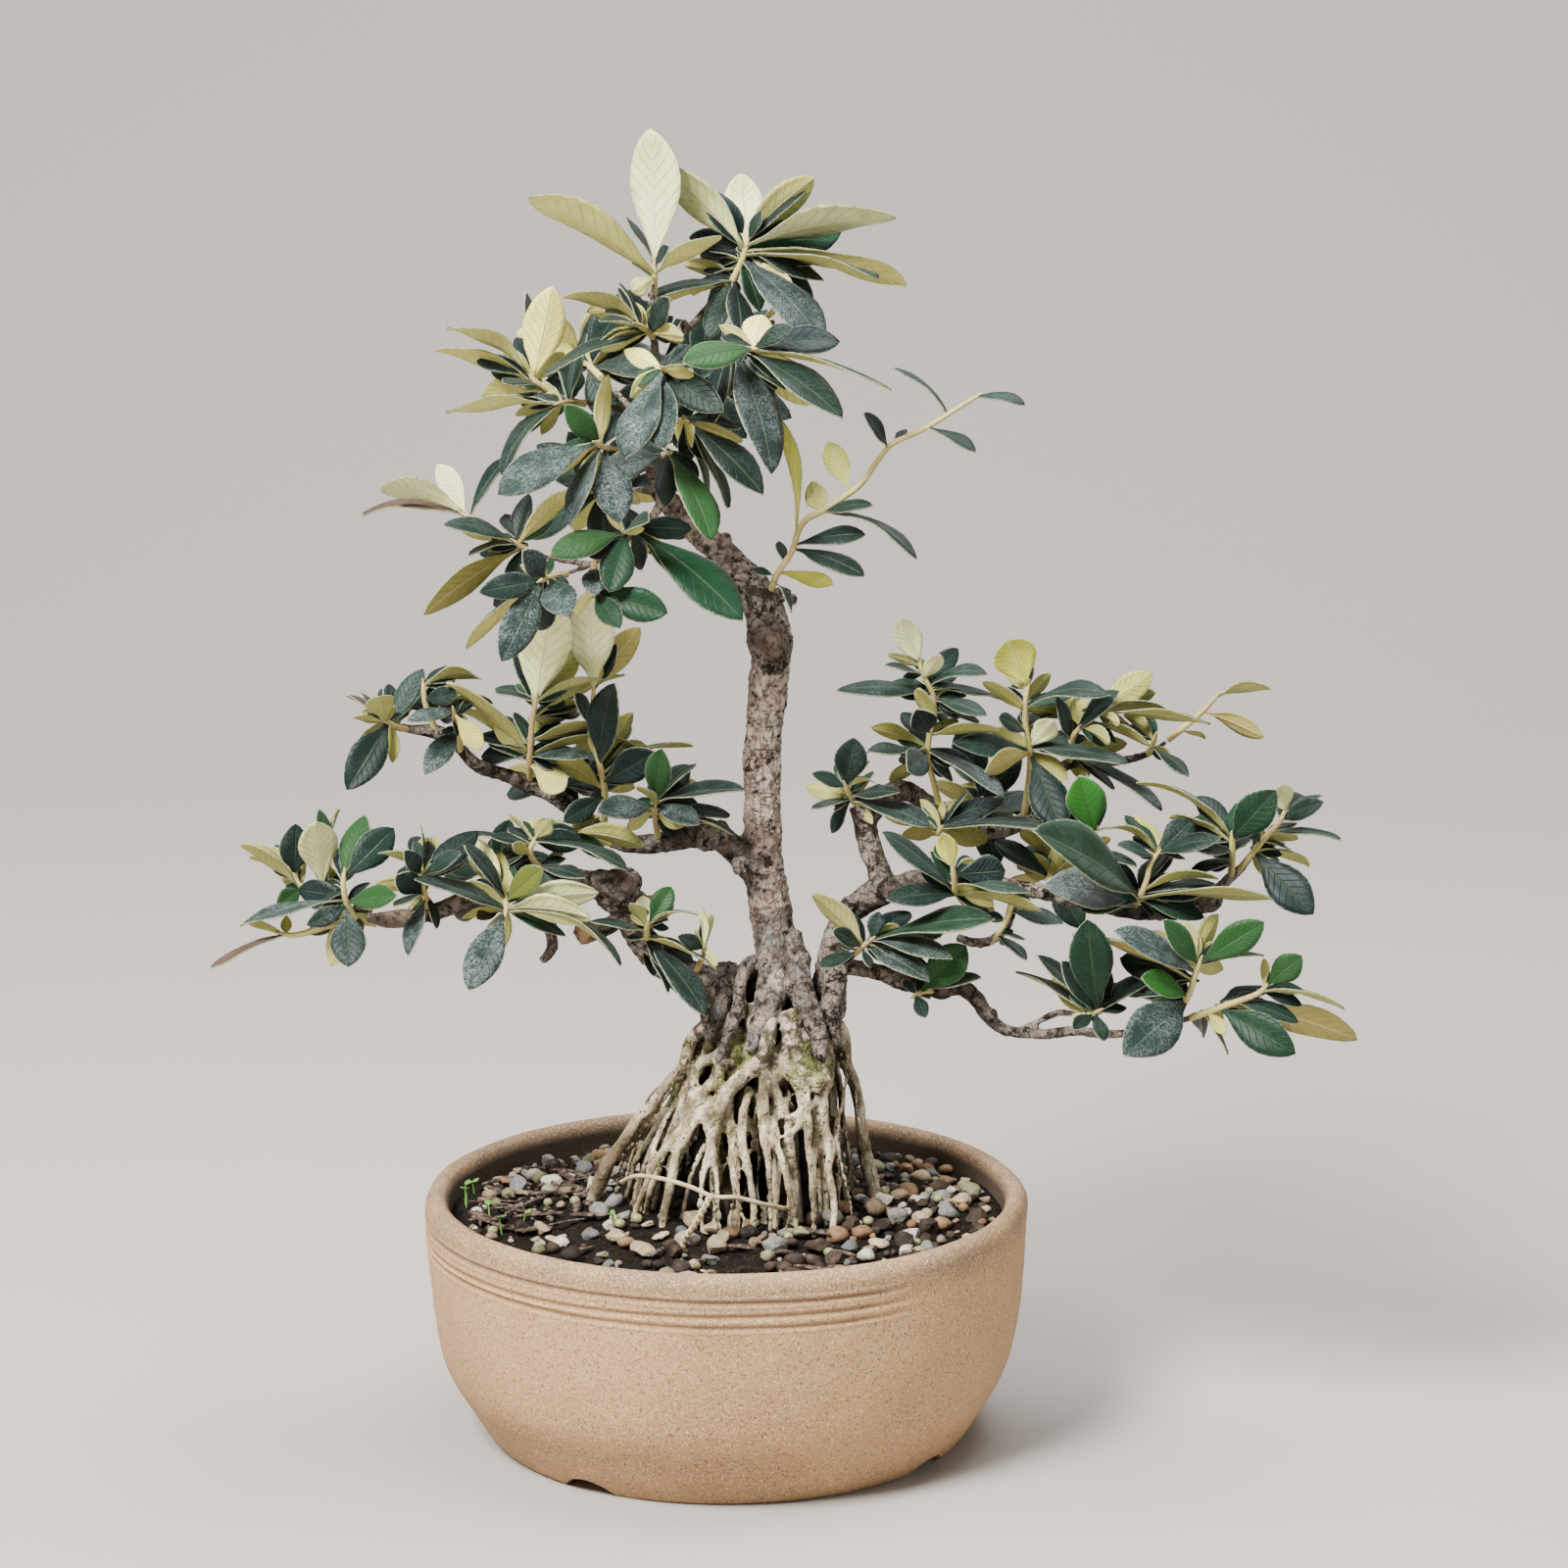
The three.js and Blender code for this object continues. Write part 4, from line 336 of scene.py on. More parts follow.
     (1178, 874, 1140, 862, 14, -8), (1182, 870, 1216, 837, 30, 4), (1182, 870, 1245, 856, 18, -8),
     (1166, 908, 1243, 896, -10, -6, 0.1), (1165, 912, 1240, 901, 8, 6), (1163, 916, 1300, 917, -6, -12),
     (1162, 918, 1245, 914, -6, 4, "t"), (1160, 921, 1066, 903, 38, -18, "s"),
     (1158, 924, 1104, 930, 10, -24, "b")]),
    ("right_mid_tip", [(1262, 890, -12), (1279, 870, -14), (1291, 854, -16), (1307, 839, -18),
     (1312, 826, -18)],
     [(1286, 860, 1271, 836, 18, -8), (1312, 828, 1308, 801, -22, -6, "c"), (1312, 826, 1349, 811, 6, 6),
     (1309, 836, 1350, 818, 20, -10), (1307, 839, 1304, 822, 8, 8), (1294, 851, 1368, 856, 8, -8, 0.08),
     (1288, 858, 1317, 867, 4, 4), (1281, 868, 1336, 884, -10, 8, 0.1),
     (1280, 869, 1340, 933, 42, -16, "d")]),
    ("right_mid_fork", [(1256, 895, -12), (1258, 872, -18), (1257, 855, -20)],
     [(1257, 855, 1302, 806, 40, -10, "g"), (1258, 868, 1219, 868, 13, -8),
     (1257, 860, 1194, 833, -7, 6, 0.08), (1257, 855, 1160, 798, -10, 4, 0.12),
     (1257, 880, 1215, 888, 12, 4), (1258, 870, 1278, 852, 8, 8)]),
    ("right_low_mid", [(1096, 1037, -20), (1112, 1036, -25), (1120, 1032, -27)],
     [(1120, 1033, 1109, 938, 46, -10, "g"), (1118, 1034, 1083, 981, 24, -16),
     (1119, 1032, 1180, 993, 20, 10), (1116, 1035, 1095, 1050, 14, -10), (1118, 1034, 1126, 1062, 16, -12),
     (1119, 1032, 1150, 1028, 10, 4), (1116, 1034, 1058, 974, 14, 8), (1112, 1036, 1037, 991, 6, 14)]),
    ("right_low_main", [(1198, 1042, -26), (1214, 1015, -30), (1219, 995, -32), (1224, 982, -32)],
     [(1222, 985, 1187, 939, 24, -8, "b"), (1224, 982, 1290, 941, 34, -6, "b"),
     (1223, 985, 1290, 974, 8, 6), (1219, 992, 1137, 950, 28, -12, "f"),
     (1218, 1000, 1094, 953, -10, -16, "t"), (1216, 1020, 1165, 997, 22, -14, "w"),
     (1216, 1024, 1147, 1077, 54, -16, "f"), (1216, 1018, 1150, 1015, 10, 6)]),
    ("right_low_tip", [(1214, 1039, -26), (1263, 1022, -28), (1285, 1014, -30), (1292, 1006, -30)],
     [(1292, 1006, 1328, 975, 30, -6, "b"), (1290, 1008, 1290, 978, -10, 6),
     (1288, 1011, 1372, 1029, -6, -6, 0.08), (1244, 1028, 1322, 1075, 40, -14, "g"),
     (1262, 1022, 1325, 1043, 16, -8), (1252, 1026, 1385, 1060, -26, 6, "t"),
     (1232, 1032, 1251, 1055, -14, -8), (1228, 1034, 1254, 1076, 6, 4, "o")]),
    ("right_front", [(858, 985, 0), (876, 970, -14), (889, 959, -20)],
     [(882, 965, 829, 911, -22, -6), (880, 967, 850, 950, 16, -10), (874, 972, 837, 988, 14, -12),
     (889, 959, 897, 930, 18, 4), (889, 959, 1015, 938, 18, -14, "g"), (889, 959, 972, 978, 18, -12, "f"),
     (889, 959, 962, 953, 12, 6), (882, 966, 948, 1001, 24, -18, "f"), (880, 968, 888, 987, 9, -8),
     (889, 959, 940, 945, 10, 12)]),
    ("right_mid_second", [(976, 902, -9), (975, 915, -20), (974, 900, -26), (972, 884, -28)],
     [(974, 910, 900, 849, 20, -6), (975, 913, 904, 918, 24, -10), (972, 886, 962, 850, -22, -6, "y"),
     (973, 892, 1026, 888, 36, 6, "d"), (974, 902, 1052, 911, 8, -8), (975, 912, 1028, 905, 22, -4),
     (975, 912, 1063, 929, -10, -12)]),
    ("right_mid_third", [(1034, 909, -11), (1032, 925, -18), (1026, 942, -20), (1015, 958, -20)],
     [(1031, 930, 1085, 942, 16, -6), (1028, 940, 1007, 933, 12, 4), (1018, 955, 1048, 979, 10, -8),
     (1019, 953, 1046, 958, 3, 4)]),
    ("right_low_left", [(957, 1010, -14), (942, 1011, -20), (933, 1016, -24)],
     [(938, 1012, 986, 965, 40, -8, "b"), (935, 1015, 944, 1038, 16, -10), (940, 1011, 1001, 997, 12, 8),
     (936, 1014, 950, 1018, 5, 4), (935, 1015, 922, 1000, 10, 6)]),
    ("right_top_low", [(970, 838, 15), (962, 842, 2), (957, 850, -6)],
     [(958, 847, 902, 832, -14, -6, "t"), (958, 850, 920, 852, -14, 6, "t"),
     (960, 845, 1083, 845, 12, -12, 0.06), (962, 842, 987, 808, 4, 2)]),
]


def number_rule(seed):
    """A repeatable run of numbers from 0 to 1."""
    state = seed

    def draw():
        nonlocal state
        state = (state * 1664525 + 1013904223) % 4294967296
        return state / 4294967296

    return draw


def place(spot):
    """A place of the view, carried to its depth, in mm from the bowl's axis on the table."""
    across, down, depth = spot[:3]
    aside = (across - VIEW_CENTRE) / VIEW_FOCAL
    fall = (down - VIEW_CENTRE) / VIEW_FOCAL
    ray = Vector((aside, LOOK.y + fall * LOOK.z, LOOK.z - fall * LOOK.y))
    return VIEW_EYE + ray * ((depth - VIEW_EYE.y) / ray.y)


def view_scale(point):
    return (point - VIEW_EYE).dot(LOOK) / VIEW_FOCAL


def deselect():
    bpy.ops.object.select_all(action="DESELECT")


def choose(*objects):
    deselect()
    for item in objects:
        item.select_set(True)
    bpy.context.view_layer.objects.active = objects[0]


def settle(piece):
    """Puts a piece's place into its mesh."""
    choose(piece)
    bpy.ops.object.transform_apply(location=True, rotation=True, scale=True)


def add_modifier(piece, kind, **settings):
    modifier = piece.modifiers.new(kind.title(), kind)
    for name, value in settings.items():
        setattr(modifier, name, value)
    choose(piece)
    bpy.ops.object.modifier_apply(modifier=modifier.name)


def join_pieces(name, pieces):
    choose(*pieces)
    if len(pieces) > 1:
        bpy.ops.object.join()
    piece = bpy.context.view_layer.objects.active
    piece.name = piece.data.name = name
    deselect()
    return piece


def get_points(mesh):
    points = np.empty(3 * len(mesh.vertices), dtype=np.float32)
    mesh.vertices.foreach_get("co", points)
    return points.reshape(-1, 3).astype(np.float64)


def set_points(mesh, points):
    mesh.vertices.foreach_set("co", np.asarray(points, dtype=np.float32).ravel())
    mesh.update()


def points_mm(piece):
    """A piece's points, in mm from the bowl's axis."""
    return get_points(piece.data) / MM - np.array(POT_AXIS)


def set_points_mm(piece, points):
    set_points(piece.data, (points + np.array(POT_AXIS)) * MM)


def smooth(piece, rounded=True):
    for face in piece.data.polygons:
        face.use_smooth = rounded


def paint(piece, name):
    """Gives a piece one material and no other."""
    piece.data.materials.clear()
    piece.data.materials.append(bpy.data.materials[name])


def keep_colors(piece, name, values):
    """Keeps a colour for each point, for the materials to read."""
    layer = piece.data.attributes.new(name, "FLOAT_COLOR", "POINT")
    layer.data.foreach_set("color", values)


def blank_colors(count):
    """Black for each point of a piece."""
    colors = np.zeros((count, 4), dtype=np.float32)
    colors[:, 3] = 1
    return colors


def copy_of(piece):
    """A copy with its own mesh."""
    copy = piece.copy()
    copy.data = piece.data.copy()
    bpy.context.collection.objects.link(copy)
    return copy


def mesh_of_curve(name, data):
    """A curve as an object, turned into a mesh."""
    piece = bpy.data.objects.new(name, data)
    bpy.context.collection.objects.link(piece)
    choose(piece)
    bpy.ops.object.convert(target="MESH")
    return bpy.context.object


def finish_piece(piece, slot, *replaced):
    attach(piece, "root")
    if replaced:
        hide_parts(*replaced)


class Shade:
    """A small hand for wiring the nodes of one material."""

    def __init__(self, name, rough, specular=0.4):
        self.material = bpy.data.materials.new(name)
        self.material.use_nodes = True
        self.nodes = self.material.node_tree.nodes
        self.links = self.material.node_tree.links
        self.nodes.clear()
        out = self.nodes.new("ShaderNodeOutputMaterial")
        self.body = self.nodes.new("ShaderNodeBsdfPrincipled")
        self.set("Roughness", rough)
        self.set("Specular IOR Level", specular)
        self.links.new(self.body.outputs[0], out.inputs["Surface"])
        self.place = self.nodes.new("ShaderNodeTexCoord").outputs["Object"]

    def set(self, socket, value):
        self.body.inputs[socket].default_value = value

    def plug(self, socket, value):
        if hasattr(value, "is_output"):
            self.links.new(value, socket)
        else:
            socket.default_value = value

    def noise(self, scale, detail=4, rough=0.55, warp=0.0, at=None):
        node = self.nodes.new("ShaderNodeTexNoise")
        node.inputs["Scale"].default_value = scale
        node.inputs["Detail"].default_value = detail
        node.inputs["Roughness"].default_value = rough
        node.inputs["Distortion"].default_value = warp
        self.links.new(at or self.place, node.inputs["Vector"])
        return node.outputs["Fac"]

    def cells(self, scale, kind="F1", at=None):
        node = self.nodes.new("ShaderNodeTexVoronoi")
        node.feature = kind
        node.inputs["Scale"].default_value = scale
        self.links.new(at or self.place, node.inputs["Vector"])
        return node.outputs["Distance"]

    def upright(self, share):
        """The place with its height scaled, for a pattern that runs up and down or across."""
        node = self.nodes.new("ShaderNodeMapping")
        node.inputs["Scale"].default_value = (1, 1, share)
        self.links.new(self.place, node.inputs["Vector"])
        return node.outputs[0]

    def ramp(self, value, *stops):
        """A colour ramp, or one of plain shares, from (spot, colour or share) stops."""
        node = self.nodes.new("ShaderNodeValToRGB")
        ramp = node.color_ramp
        while len(ramp.elements) < len(stops):
            ramp.elements.new(0.5)
        for element, (spot, color) in zip(ramp.elements, stops):
            element.position = spot
            element.color = (*color, 1) if isinstance(color, tuple) else (color, color, color, 1)
        self.links.new(value, node.inputs[0])
        return node.outputs[0]

    def mix(self, share, first, second, blend="MIX"):
        node = self.nodes.new("ShaderNodeMix")
        node.data_type = "RGBA"
        node.blend_type = blend
        self.plug(node.inputs[0], share)
        for socket, value in ((node.inputs[6], first), (node.inputs[7], second)):
            self.plug(socket, (*value, 1) if isinstance(value, tuple) else value)
        return node.outputs[2]

    def deepen(self, share, color, tone):
        """A colour that is multiplied by a tone where the share is high."""
        return self.mix(share, color, self.mix(1.0, color, tone, "MULTIPLY"))

    def math(self, kind, first, second=0.0, clamp=False):
        node = self.nodes.new("ShaderNodeMath")
        node.operation = kind
        node.use_clamp = clamp
        self.plug(node.inputs[0], first)
        self.plug(node.inputs[1], second)
        return node.outputs[0]

    def add(self, first, second):
        return self.math("ADD", first, second)

    def times(self, first, second):
        return self.math("MULTIPLY", first, second)

    def part(self, vector, axis):
        node = self.nodes.new("ShaderNodeSeparateXYZ")
        self.links.new(vector, node.inputs[0])
        return node.outputs[axis]

    def own(self, name):
        """The piece's own attribute."""
        node = self.nodes.new("ShaderNodeAttribute")
        node.attribute_name = name
        return node.outputs["Color"]

    def bump(self, height, depth, strength):
        node = self.nodes.new("ShaderNodeBump")
        node.inputs["Strength"].default_value = strength
        node.inputs["Distance"].default_value = depth
        self.links.new(height, node.inputs["Height"])
        self.links.new(node.outputs[0], self.body.inputs["Normal"])

    def color(self, value):
        self.plug(self.body.inputs["Base Color"], (*value, 1) if isinstance(value, tuple) else value)

    def rough(self, value):
        self.plug(self.body.inputs["Roughness"], value)


VEIN_SLANT = 0.42
VEIN_PITCH = 32
MIDRIB_HALF = 0.035


def leaf_veins(shade, vein_strength):
    """Ribs along the blade's own map: the midrib, and side veins that curve to the tip."""
    own = shade.nodes.new("ShaderNodeUVMap")
    own.uv_map = "UVMap"
    across = shade.math("ABSOLUTE", shade.math("SUBTRACT", shade.part(own.outputs[0], 0), 0.5))
    along = shade.part(own.outputs[0], 1)
    midrib = shade.ramp(across, (0.0, 1.0), (MIDRIB_HALF, 0.0))
    slant = shade.math("SUBTRACT", along, shade.times(across, VEIN_SLANT))
    wave = shade.math("ABSOLUTE", shade.math("SINE", shade.times(slant, VEIN_PITCH)))
    veins = shade.ramp(wave, (0.0, vein_strength), (0.28, 0.0))
    return across, midrib, veins


def make_leaf_upper():
    """The dark hairy upper side: veins, a pale rim, and rime where its old down has stayed."""
    rib_color, vein_color = (0.07, 0.12, 0.05), (0.03, 0.07, 0.04)
    rim_color, rime_color = (0.24, 0.28, 0.20), (0.150, 0.190, 0.192)
    shade = Shade("leaf_upper", 0.5, 0.14)
    across, midrib, veins = leaf_veins(shade, 0.6)
    hairs = shade.noise(1500, 5, 0.7)
    patches = shade.ramp(shade.noise(110, 3, 0.6), (0.40, 0.12), (0.62, 1.0))
    rime = shade.times(shade.ramp(hairs, (0.46, 0.06), (0.60, 1.0)), patches)
    rime = shade.math("MULTIPLY", rime, shade.part(shade.own("frost"), 0), clamp=True)
    clouds = shade.ramp(shade.noise(60, 3), (0.35, 0.0), (0.7, 0.6))
    leaf = shade.deepen(clouds, shade.own("upper_tone"), (0.62, 0.72, 0.80))
    leaf = shade.mix(shade.times(veins, 0.10), leaf, vein_color)
    leaf = shade.mix(shade.times(midrib, 0.42), leaf, rib_color)
    rim = shade.ramp(across, (0.455, 0.0), (0.5, 0.75))
    rim = shade.times(rim, shade.ramp(hairs, (0.42, 0.0), (0.58, 1.0)))
    leaf = shade.mix(rim, leaf, rim_color)
    shade.color(shade.mix(rime, leaf, rime_color))
    shade.rough(shade.ramp(rime, (0.0, 0.43), (0.8, 0.75)))
    relief = shade.math("SUBTRACT", shade.times(hairs, 0.35), shade.add(midrib, veins))
    shade.bump(relief, 0.00035, 0.7)
    shade.set("Sheen Weight", 0.04)
    shade.set("Sheen Roughness", 0.5)


def make_leaf_felt():
    """The felted underside: a woolly pale cover, thin in patches and along the veins."""
    rib_color = (0.72, 0.68, 0.38)
    shade = Shade("leaf_felt", 0.85, 0.15)
    _, midrib, veins = leaf_veins(shade, 0.8)
    wool = shade.noise(1100, 5, 0.75)
    thin = shade.mix(1.0, shade.own("felt_tone"), (0.76, 0.78, 0.56), "MULTIPLY")
    felt = shade.mix(shade.ramp(wool, (0.3, 0.0), (0.75, 1.0)), thin, shade.own("felt_tone"))
    worn = shade.ramp(shade.noise(90, 4, 0.6), (0.36, 0.55), (0.58, 0.0))
    felt = shade.deepen(worn, felt, (0.62, 0.70, 0.44))
    felt = shade.deepen(shade.times(veins, 0.5), felt, (0.66, 0.70, 0.46))
    shade.color(shade.mix(shade.times(midrib, 0.7), felt, rib_color))
    shade.bump(shade.add(shade.times(wool, 0.4), shade.add(midrib, veins)), 0.0004, 0.7)
    shade.set("Sheen Weight", 0.06)


def make_leaf_materials():
    make_leaf_upper()
    make_leaf_felt()
    shade = Shade("leaf_rim", 0.85, 0.15)
    bare, woolly = (0.10, 0.12, 0.06), (0.34, 0.36, 0.22)
    shade.color(shade.mix(shade.ramp(shade.noise(1300, 3), (0.35, 0.0), (0.65, 1.0)), bare, woolly))
    shade.set("Sheen Weight", 0.3)

    shade = Shade("shoot", 0.7, 0.3)
    green, brown, woolly = (0.40, 0.38, 0.09), (0.38, 0.23, 0.11), (0.56, 0.53, 0.27)
    patches = shade.ramp(shade.noise(70, 3), (0.35, 0.0), (0.65, 1.0))
    down = shade.ramp(shade.noise(1200, 4), (0.4, 0.0), (0.65, 0.6))
    shade.color(shade.mix(down, shade.mix(patches, green, brown), woolly))
    shade.bump(shade.noise(900, 4), 0.0003, 0.6)


def make_trunk_bark():
    """Flaking bark: pale plates with dark edges, pits and cracks, lichen low on the trunk."""
    dirt, edge = (0.075, 0.054, 0.040), (0.060, 0.040, 0.030)
    pit, crack = (0.022, 0.014, 0.010), (0.040, 0.027, 0.020)
    lichen_color, limb_tone = (0.44, 0.435, 0.42), (0.44, 0.465, 0.50)
    shade = Shade("trunk_bark", 0.85, 0.2)
    height = shade.part(shade.place, 2)
    wide = shade.noise(45, 5, 0.6, at=shade.upright(0.35))
    fine = shade.noise(340, 6, 0.65, 0.4)
    flakes = shade.cells(170, at=shade.upright(0.45))
    color = shade.ramp(wide, (0.30, (0.075, 0.056, 0.043)), (0.43, (0.25, 0.190, 0.150)),
                       (0.55, (0.46, 0.365, 0.295)), (0.68, (0.68, 0.565, 0.475)))
    color = shade.mix(shade.ramp(fine, (0.40, 0.85), (0.52, 0.0)), color, dirt)
    edges = shade.cells(260, "DISTANCE_TO_EDGE", at=shade.upright(0.5))
    plates = shade.ramp(edges, (0.015, 0.38), (0.06, 0.0))
    color = shade.mix(plates, color, edge)
    pits = shade.ramp(shade.noise(210, 5, 0.75), (0.415, 1.0), (0.465, 0.0))
    color = shade.mix(pits, color, pit)
    cracks = shade.ramp(shade.noise(115, 4, 0.6, 1.2, at=shade.upright(2.4)), (0.37, 0.9), (0.43, 0.0))
    color = shade.mix(cracks, color, crack)
    lichen = shade.ramp(shade.noise(95, 5, 0.7), (0.56, 0.0), (0.66, 0.55))
    low = shade.ramp(height, (0.17, 0.85), (0.24, 0.15))
    color = shade.mix(shade.times(lichen, low), color, lichen_color)
    color = shade.deepen(shade.own("slim"), color, limb_tone)
    frayed = shade.ramp(shade.noise(260, 5, 0.7), (0.44, 0.15), (0.54, 1.0))
    color = shade.mix(shade.times(shade.own("wear"), frayed), color, shade.own("wear_color"))
    shade.color(color)
    skin = shade.add(shade.times(fine, 0.7), shade.times(flakes, 0.5))
    skin = shade.math("SUBTRACT", skin, shade.times(plates, 0.4))
    shade.bump(skin, 0.0035, 0.9)


def make_root_bark():
    """Pale worn roots that turn to bark at the top, with holes, specks and moss, painted shade in their
    crevices, and painted shade with a soil stain between them and deep in the cone.
    """
    dirt, crevice_shade, speck = (0.120, 0.085, 0.050), (0.035, 0.026, 0.016), (0.05, 0.038, 0.03)
    hole, dark = (0.040, 0.030, 0.017), (0.009, 0.006, 0.004)
    moss_dark, moss_light = (0.050, 0.075, 0.014), (0.20, 0.23, 0.060)
    shade = Shade("root_bark", 0.85, 0.2)
    height = shade.part(shade.place, 2)
    grain = shade.noise(260, 5, 0.65, at=shade.upright(0.3))
    wide = shade.noise(55, 4, 0.6)
    color = shade.ramp(grain, (0.32, (0.20, 0.140, 0.080)), (0.46, (0.44, 0.36, 0.23)),
                       (0.58, (0.76, 0.68, 0.49)))
    color = shade.mix(shade.ramp(wide, (0.40, 0.9), (0.55, 0.0)), color, dirt)
    # Painted shade in the crevices, at half strength low down.
    crevice_shade_share = shade.ramp(shade.noise(190, 5, 0.75), (0.36, 0.9), (0.46, 0.0))
    color = shade.mix(shade.times(crevice_shade_share, shade.ramp(height, (0.09, 0.5), (0.12, 1.0))), color, crevice_shade)
    specks = shade.ramp(shade.cells(330), (0.13, 0.95), (0.24, 0.0))
    color = shade.mix(shade.times(specks, shade.ramp(wide, (0.4, 0.2), (0.6, 1.0))), color, speck)
    bark = shade.ramp(shade.noise(240, 5, 0.7), (0.40, (0.050, 0.038, 0.027)),
                      (0.50, (0.26, 0.205, 0.165)), (0.60, (0.54, 0.45, 0.38)))
    color = shade.mix(shade.ramp(height, (0.128, 0.0), (0.150, 0.85)), color, bark)
    holes = shade.ramp(shade.noise(120, 5, 0.7), (0.44, 0.9), (0.51, 0.0))
    color = shade.mix(shade.times(holes, shade.ramp(height, (0.112, 0.0), (0.130, 1.0))), color, hole)
    moss = shade.ramp(shade.noise(75, 5, 0.7), (0.52, 0.0), (0.61, 0.8))
    moss = shade.times(moss, shade.ramp(height, (0.085, 0.35), (0.13, 1.0)))
    color = shade.mix(moss, color, shade.mix(shade.noise(500, 3), moss_dark, moss_light))
    # Near black between the roots and deep in the cone: painted shade, with a soil stain.
    shade.color(shade.mix(shade.own("hollow_shade_and_stain"), color, dark))
    shade.bump(shade.add(grain, shade.times(moss, 0.6)), 0.0030, 0.9)


def make_rough_clay():
    """Unglazed stoneware: soft clouds, a blush low down, a stained rim, an inner wall darkened by a stain and
    painted shade, and a gritty skin.
    """
    warm_color, blush_color, rim_stain = (0.470, 0.275, 0.125), (0.560, 0.285, 0.135), (0.158, 0.112, 0.079)
    pale_fleck, dark_fleck, sand = (0.72, 0.55, 0.36), (0.120, 0.070, 0.036), (0.76, 0.64, 0.47)
    groove_color, inner_stain_and_shade = (0.125, 0.080, 0.050), (0.040, 0.029, 0.021)
    shade = Shade("rough_clay", 0.78, 0.3)
    height = shade.part(shade.place, 2)
    across = shade.part(shade.place, 0)
    color = shade.ramp(shade.noise(16, 4, 0.6), (0.30, (0.330, 0.190, 0.092)),
                       (0.50, (0.410, 0.245, 0.118)), (0.70, (0.470, 0.290, 0.138)))
    warm = shade.ramp(shade.noise(24, 3), (0.40, 0.0), (0.65, 0.8))
    color = shade.mix(shade.times(shade.ramp(across, (0.0, 0.1), (0.08, 1.0)), warm), color, warm_color)
    blush = shade.ramp(shade.noise(38, 3, 0.6, 0.8), (0.60, 0.0), (0.72, 0.55))
    color = shade.mix(shade.times(blush, shade.ramp(height, (0.01, 1.0), (0.06, 0.25))), color, blush_color)
    rim = shade.ramp(height, (0.070, 0.0), (0.080, 0.92))
    stain = shade.ramp(shade.noise(60, 3), (0.3, 0.4), (0.7, 1.0))
    color = shade.mix(shade.times(rim, stain), color, rim_stain)
    color = shade.mix(shade.ramp(shade.noise(1500, 2, 0.6), (0.55, 0.0), (0.65, 0.6)), color, pale_fleck)
    color = shade.mix(shade.ramp(shade.noise(1100, 2, 0.6), (0.34, 0.75), (0.44, 0.0)), color, dark_fleck)
    color = shade.mix(shade.ramp(shade.cells(330), (0.05, 0.55), (0.11, 0.0)), color, sand)
    color = shade.mix(shade.part(shade.own("groove"), 0), color, groove_color)
    # The inner wall below the rim: a stain, darkened further as painted shade.
    shade.color(shade.mix(shade.part(shade.own("groove"), 2), color, inner_stain_and_shade))
    skin = shade.add(shade.times(shade.noise(800, 4, 0.7), 0.8), shade.noise(130, 3))
    shade.bump(skin, 0.0008, 0.55)


def make_soil_materials():
    shade = Shade("dark_compost", 0.95, 0.15)
    straw = (0.26, 0.19, 0.12)
    crumb = shade.noise(420, 6, 0.75)
    color = shade.ramp(crumb, (0.34, (0.003, 0.002, 0.002)), (0.54, (0.012, 0.008, 0.006)),
                       (0.72, (0.045, 0.026, 0.016)))
    shade.color(shade.mix(shade.ramp(shade.cells(560), (0.06, 0.8), (0.14, 0.0)), color, straw))
    shade.bump(crumb, 0.0022, 1.0)

    shade = Shade("grit", 0.75, 0.3)
    dirt = (0.10, 0.075, 0.05)
    grain = shade.noise(650, 5, 0.7)
    worn = shade.ramp(grain, (0.35, 0.8), (0.6, 0.0))
    color = shade.deepen(worn, shade.own("stone_tone"), (0.50, 0.44, 0.38))
    shade.color(shade.mix(shade.ramp(shade.noise(230, 4, 0.6), (0.56, 0.0), (0.68, 0.55)), color, dirt))
    shade.bump(grain, 0.0006, 0.8)

    shade = Shade("chip", 0.9, 0.2)
    fibre = shade.noise(520, 4, 0.7)
    shade.color(shade.ramp(fibre, (0.32, (0.016, 0.010, 0.008)), (0.50, (0.060, 0.040, 0.030)),
                           (0.66, (0.19, 0.145, 0.115))))
    shade.bump(fibre, 0.0008, 0.8)

    shade = Shade("grain", 0.28, 0.5)
    shade.color(shade.ramp(shade.noise(300, 3), (0.35, (0.30, 0.36, 0.16)), (0.65, (0.52, 0.50, 0.24))))
    shade.set("Transmission Weight", 0.45)
    shade.bump(shade.noise(700, 3), 0.0003, 0.4)

    shade = Shade("seedling", 0.5, 0.4)
    shade.color(shade.ramp(shade.noise(200, 2), (0.3, (0.07, 0.20, 0.035)), (0.7, (0.14, 0.30, 0.06))))

    shade = Shade("tie_wire_finish", 0.6, 0.4)
    shade.color(shade.ramp(shade.noise(260, 4, 0.6), (0.35, (0.30, 0.22, 0.13)), (0.6, (0.52, 0.42, 0.26))))
    shade.bump(shade.noise(900, 3), 0.0002, 0.4)


# The blade's form: its stalk's share of the length and half breadth, and how full it is to base and tip
STALK_SHARE = 0.07
STALK_HALF = 0.07
BASE_FULLNESS = 0.82
TIP_FULLNESS = 0.66
BLANK_THICKNESS = 0.01
BLADE_COLUMNS = 6
BLADE_ROWS = 9
ROW_CROWDING = 1.3
NEAR_CORNER = 0.35


def leaf_outline(along, peak, blunt):
    """Half the blade's breadth, as a share of its widest, at a share of the way to its tip."""
    if along <= STALK_SHARE:
        return STALK_HALF
    share = (along - STALK_SHARE) / (1 - STALK_SHARE)
    turn = share ** (math.log(0.5) / math.log(peak))
    swell = math.sin(math.pi * turn) ** (TIP_FULLNESS if share > peak else BASE_FULLNESS)
    least = 0.06 if share < 0.3 else 0.012
    return max(least, swell * (1 - blunt * share ** 6))


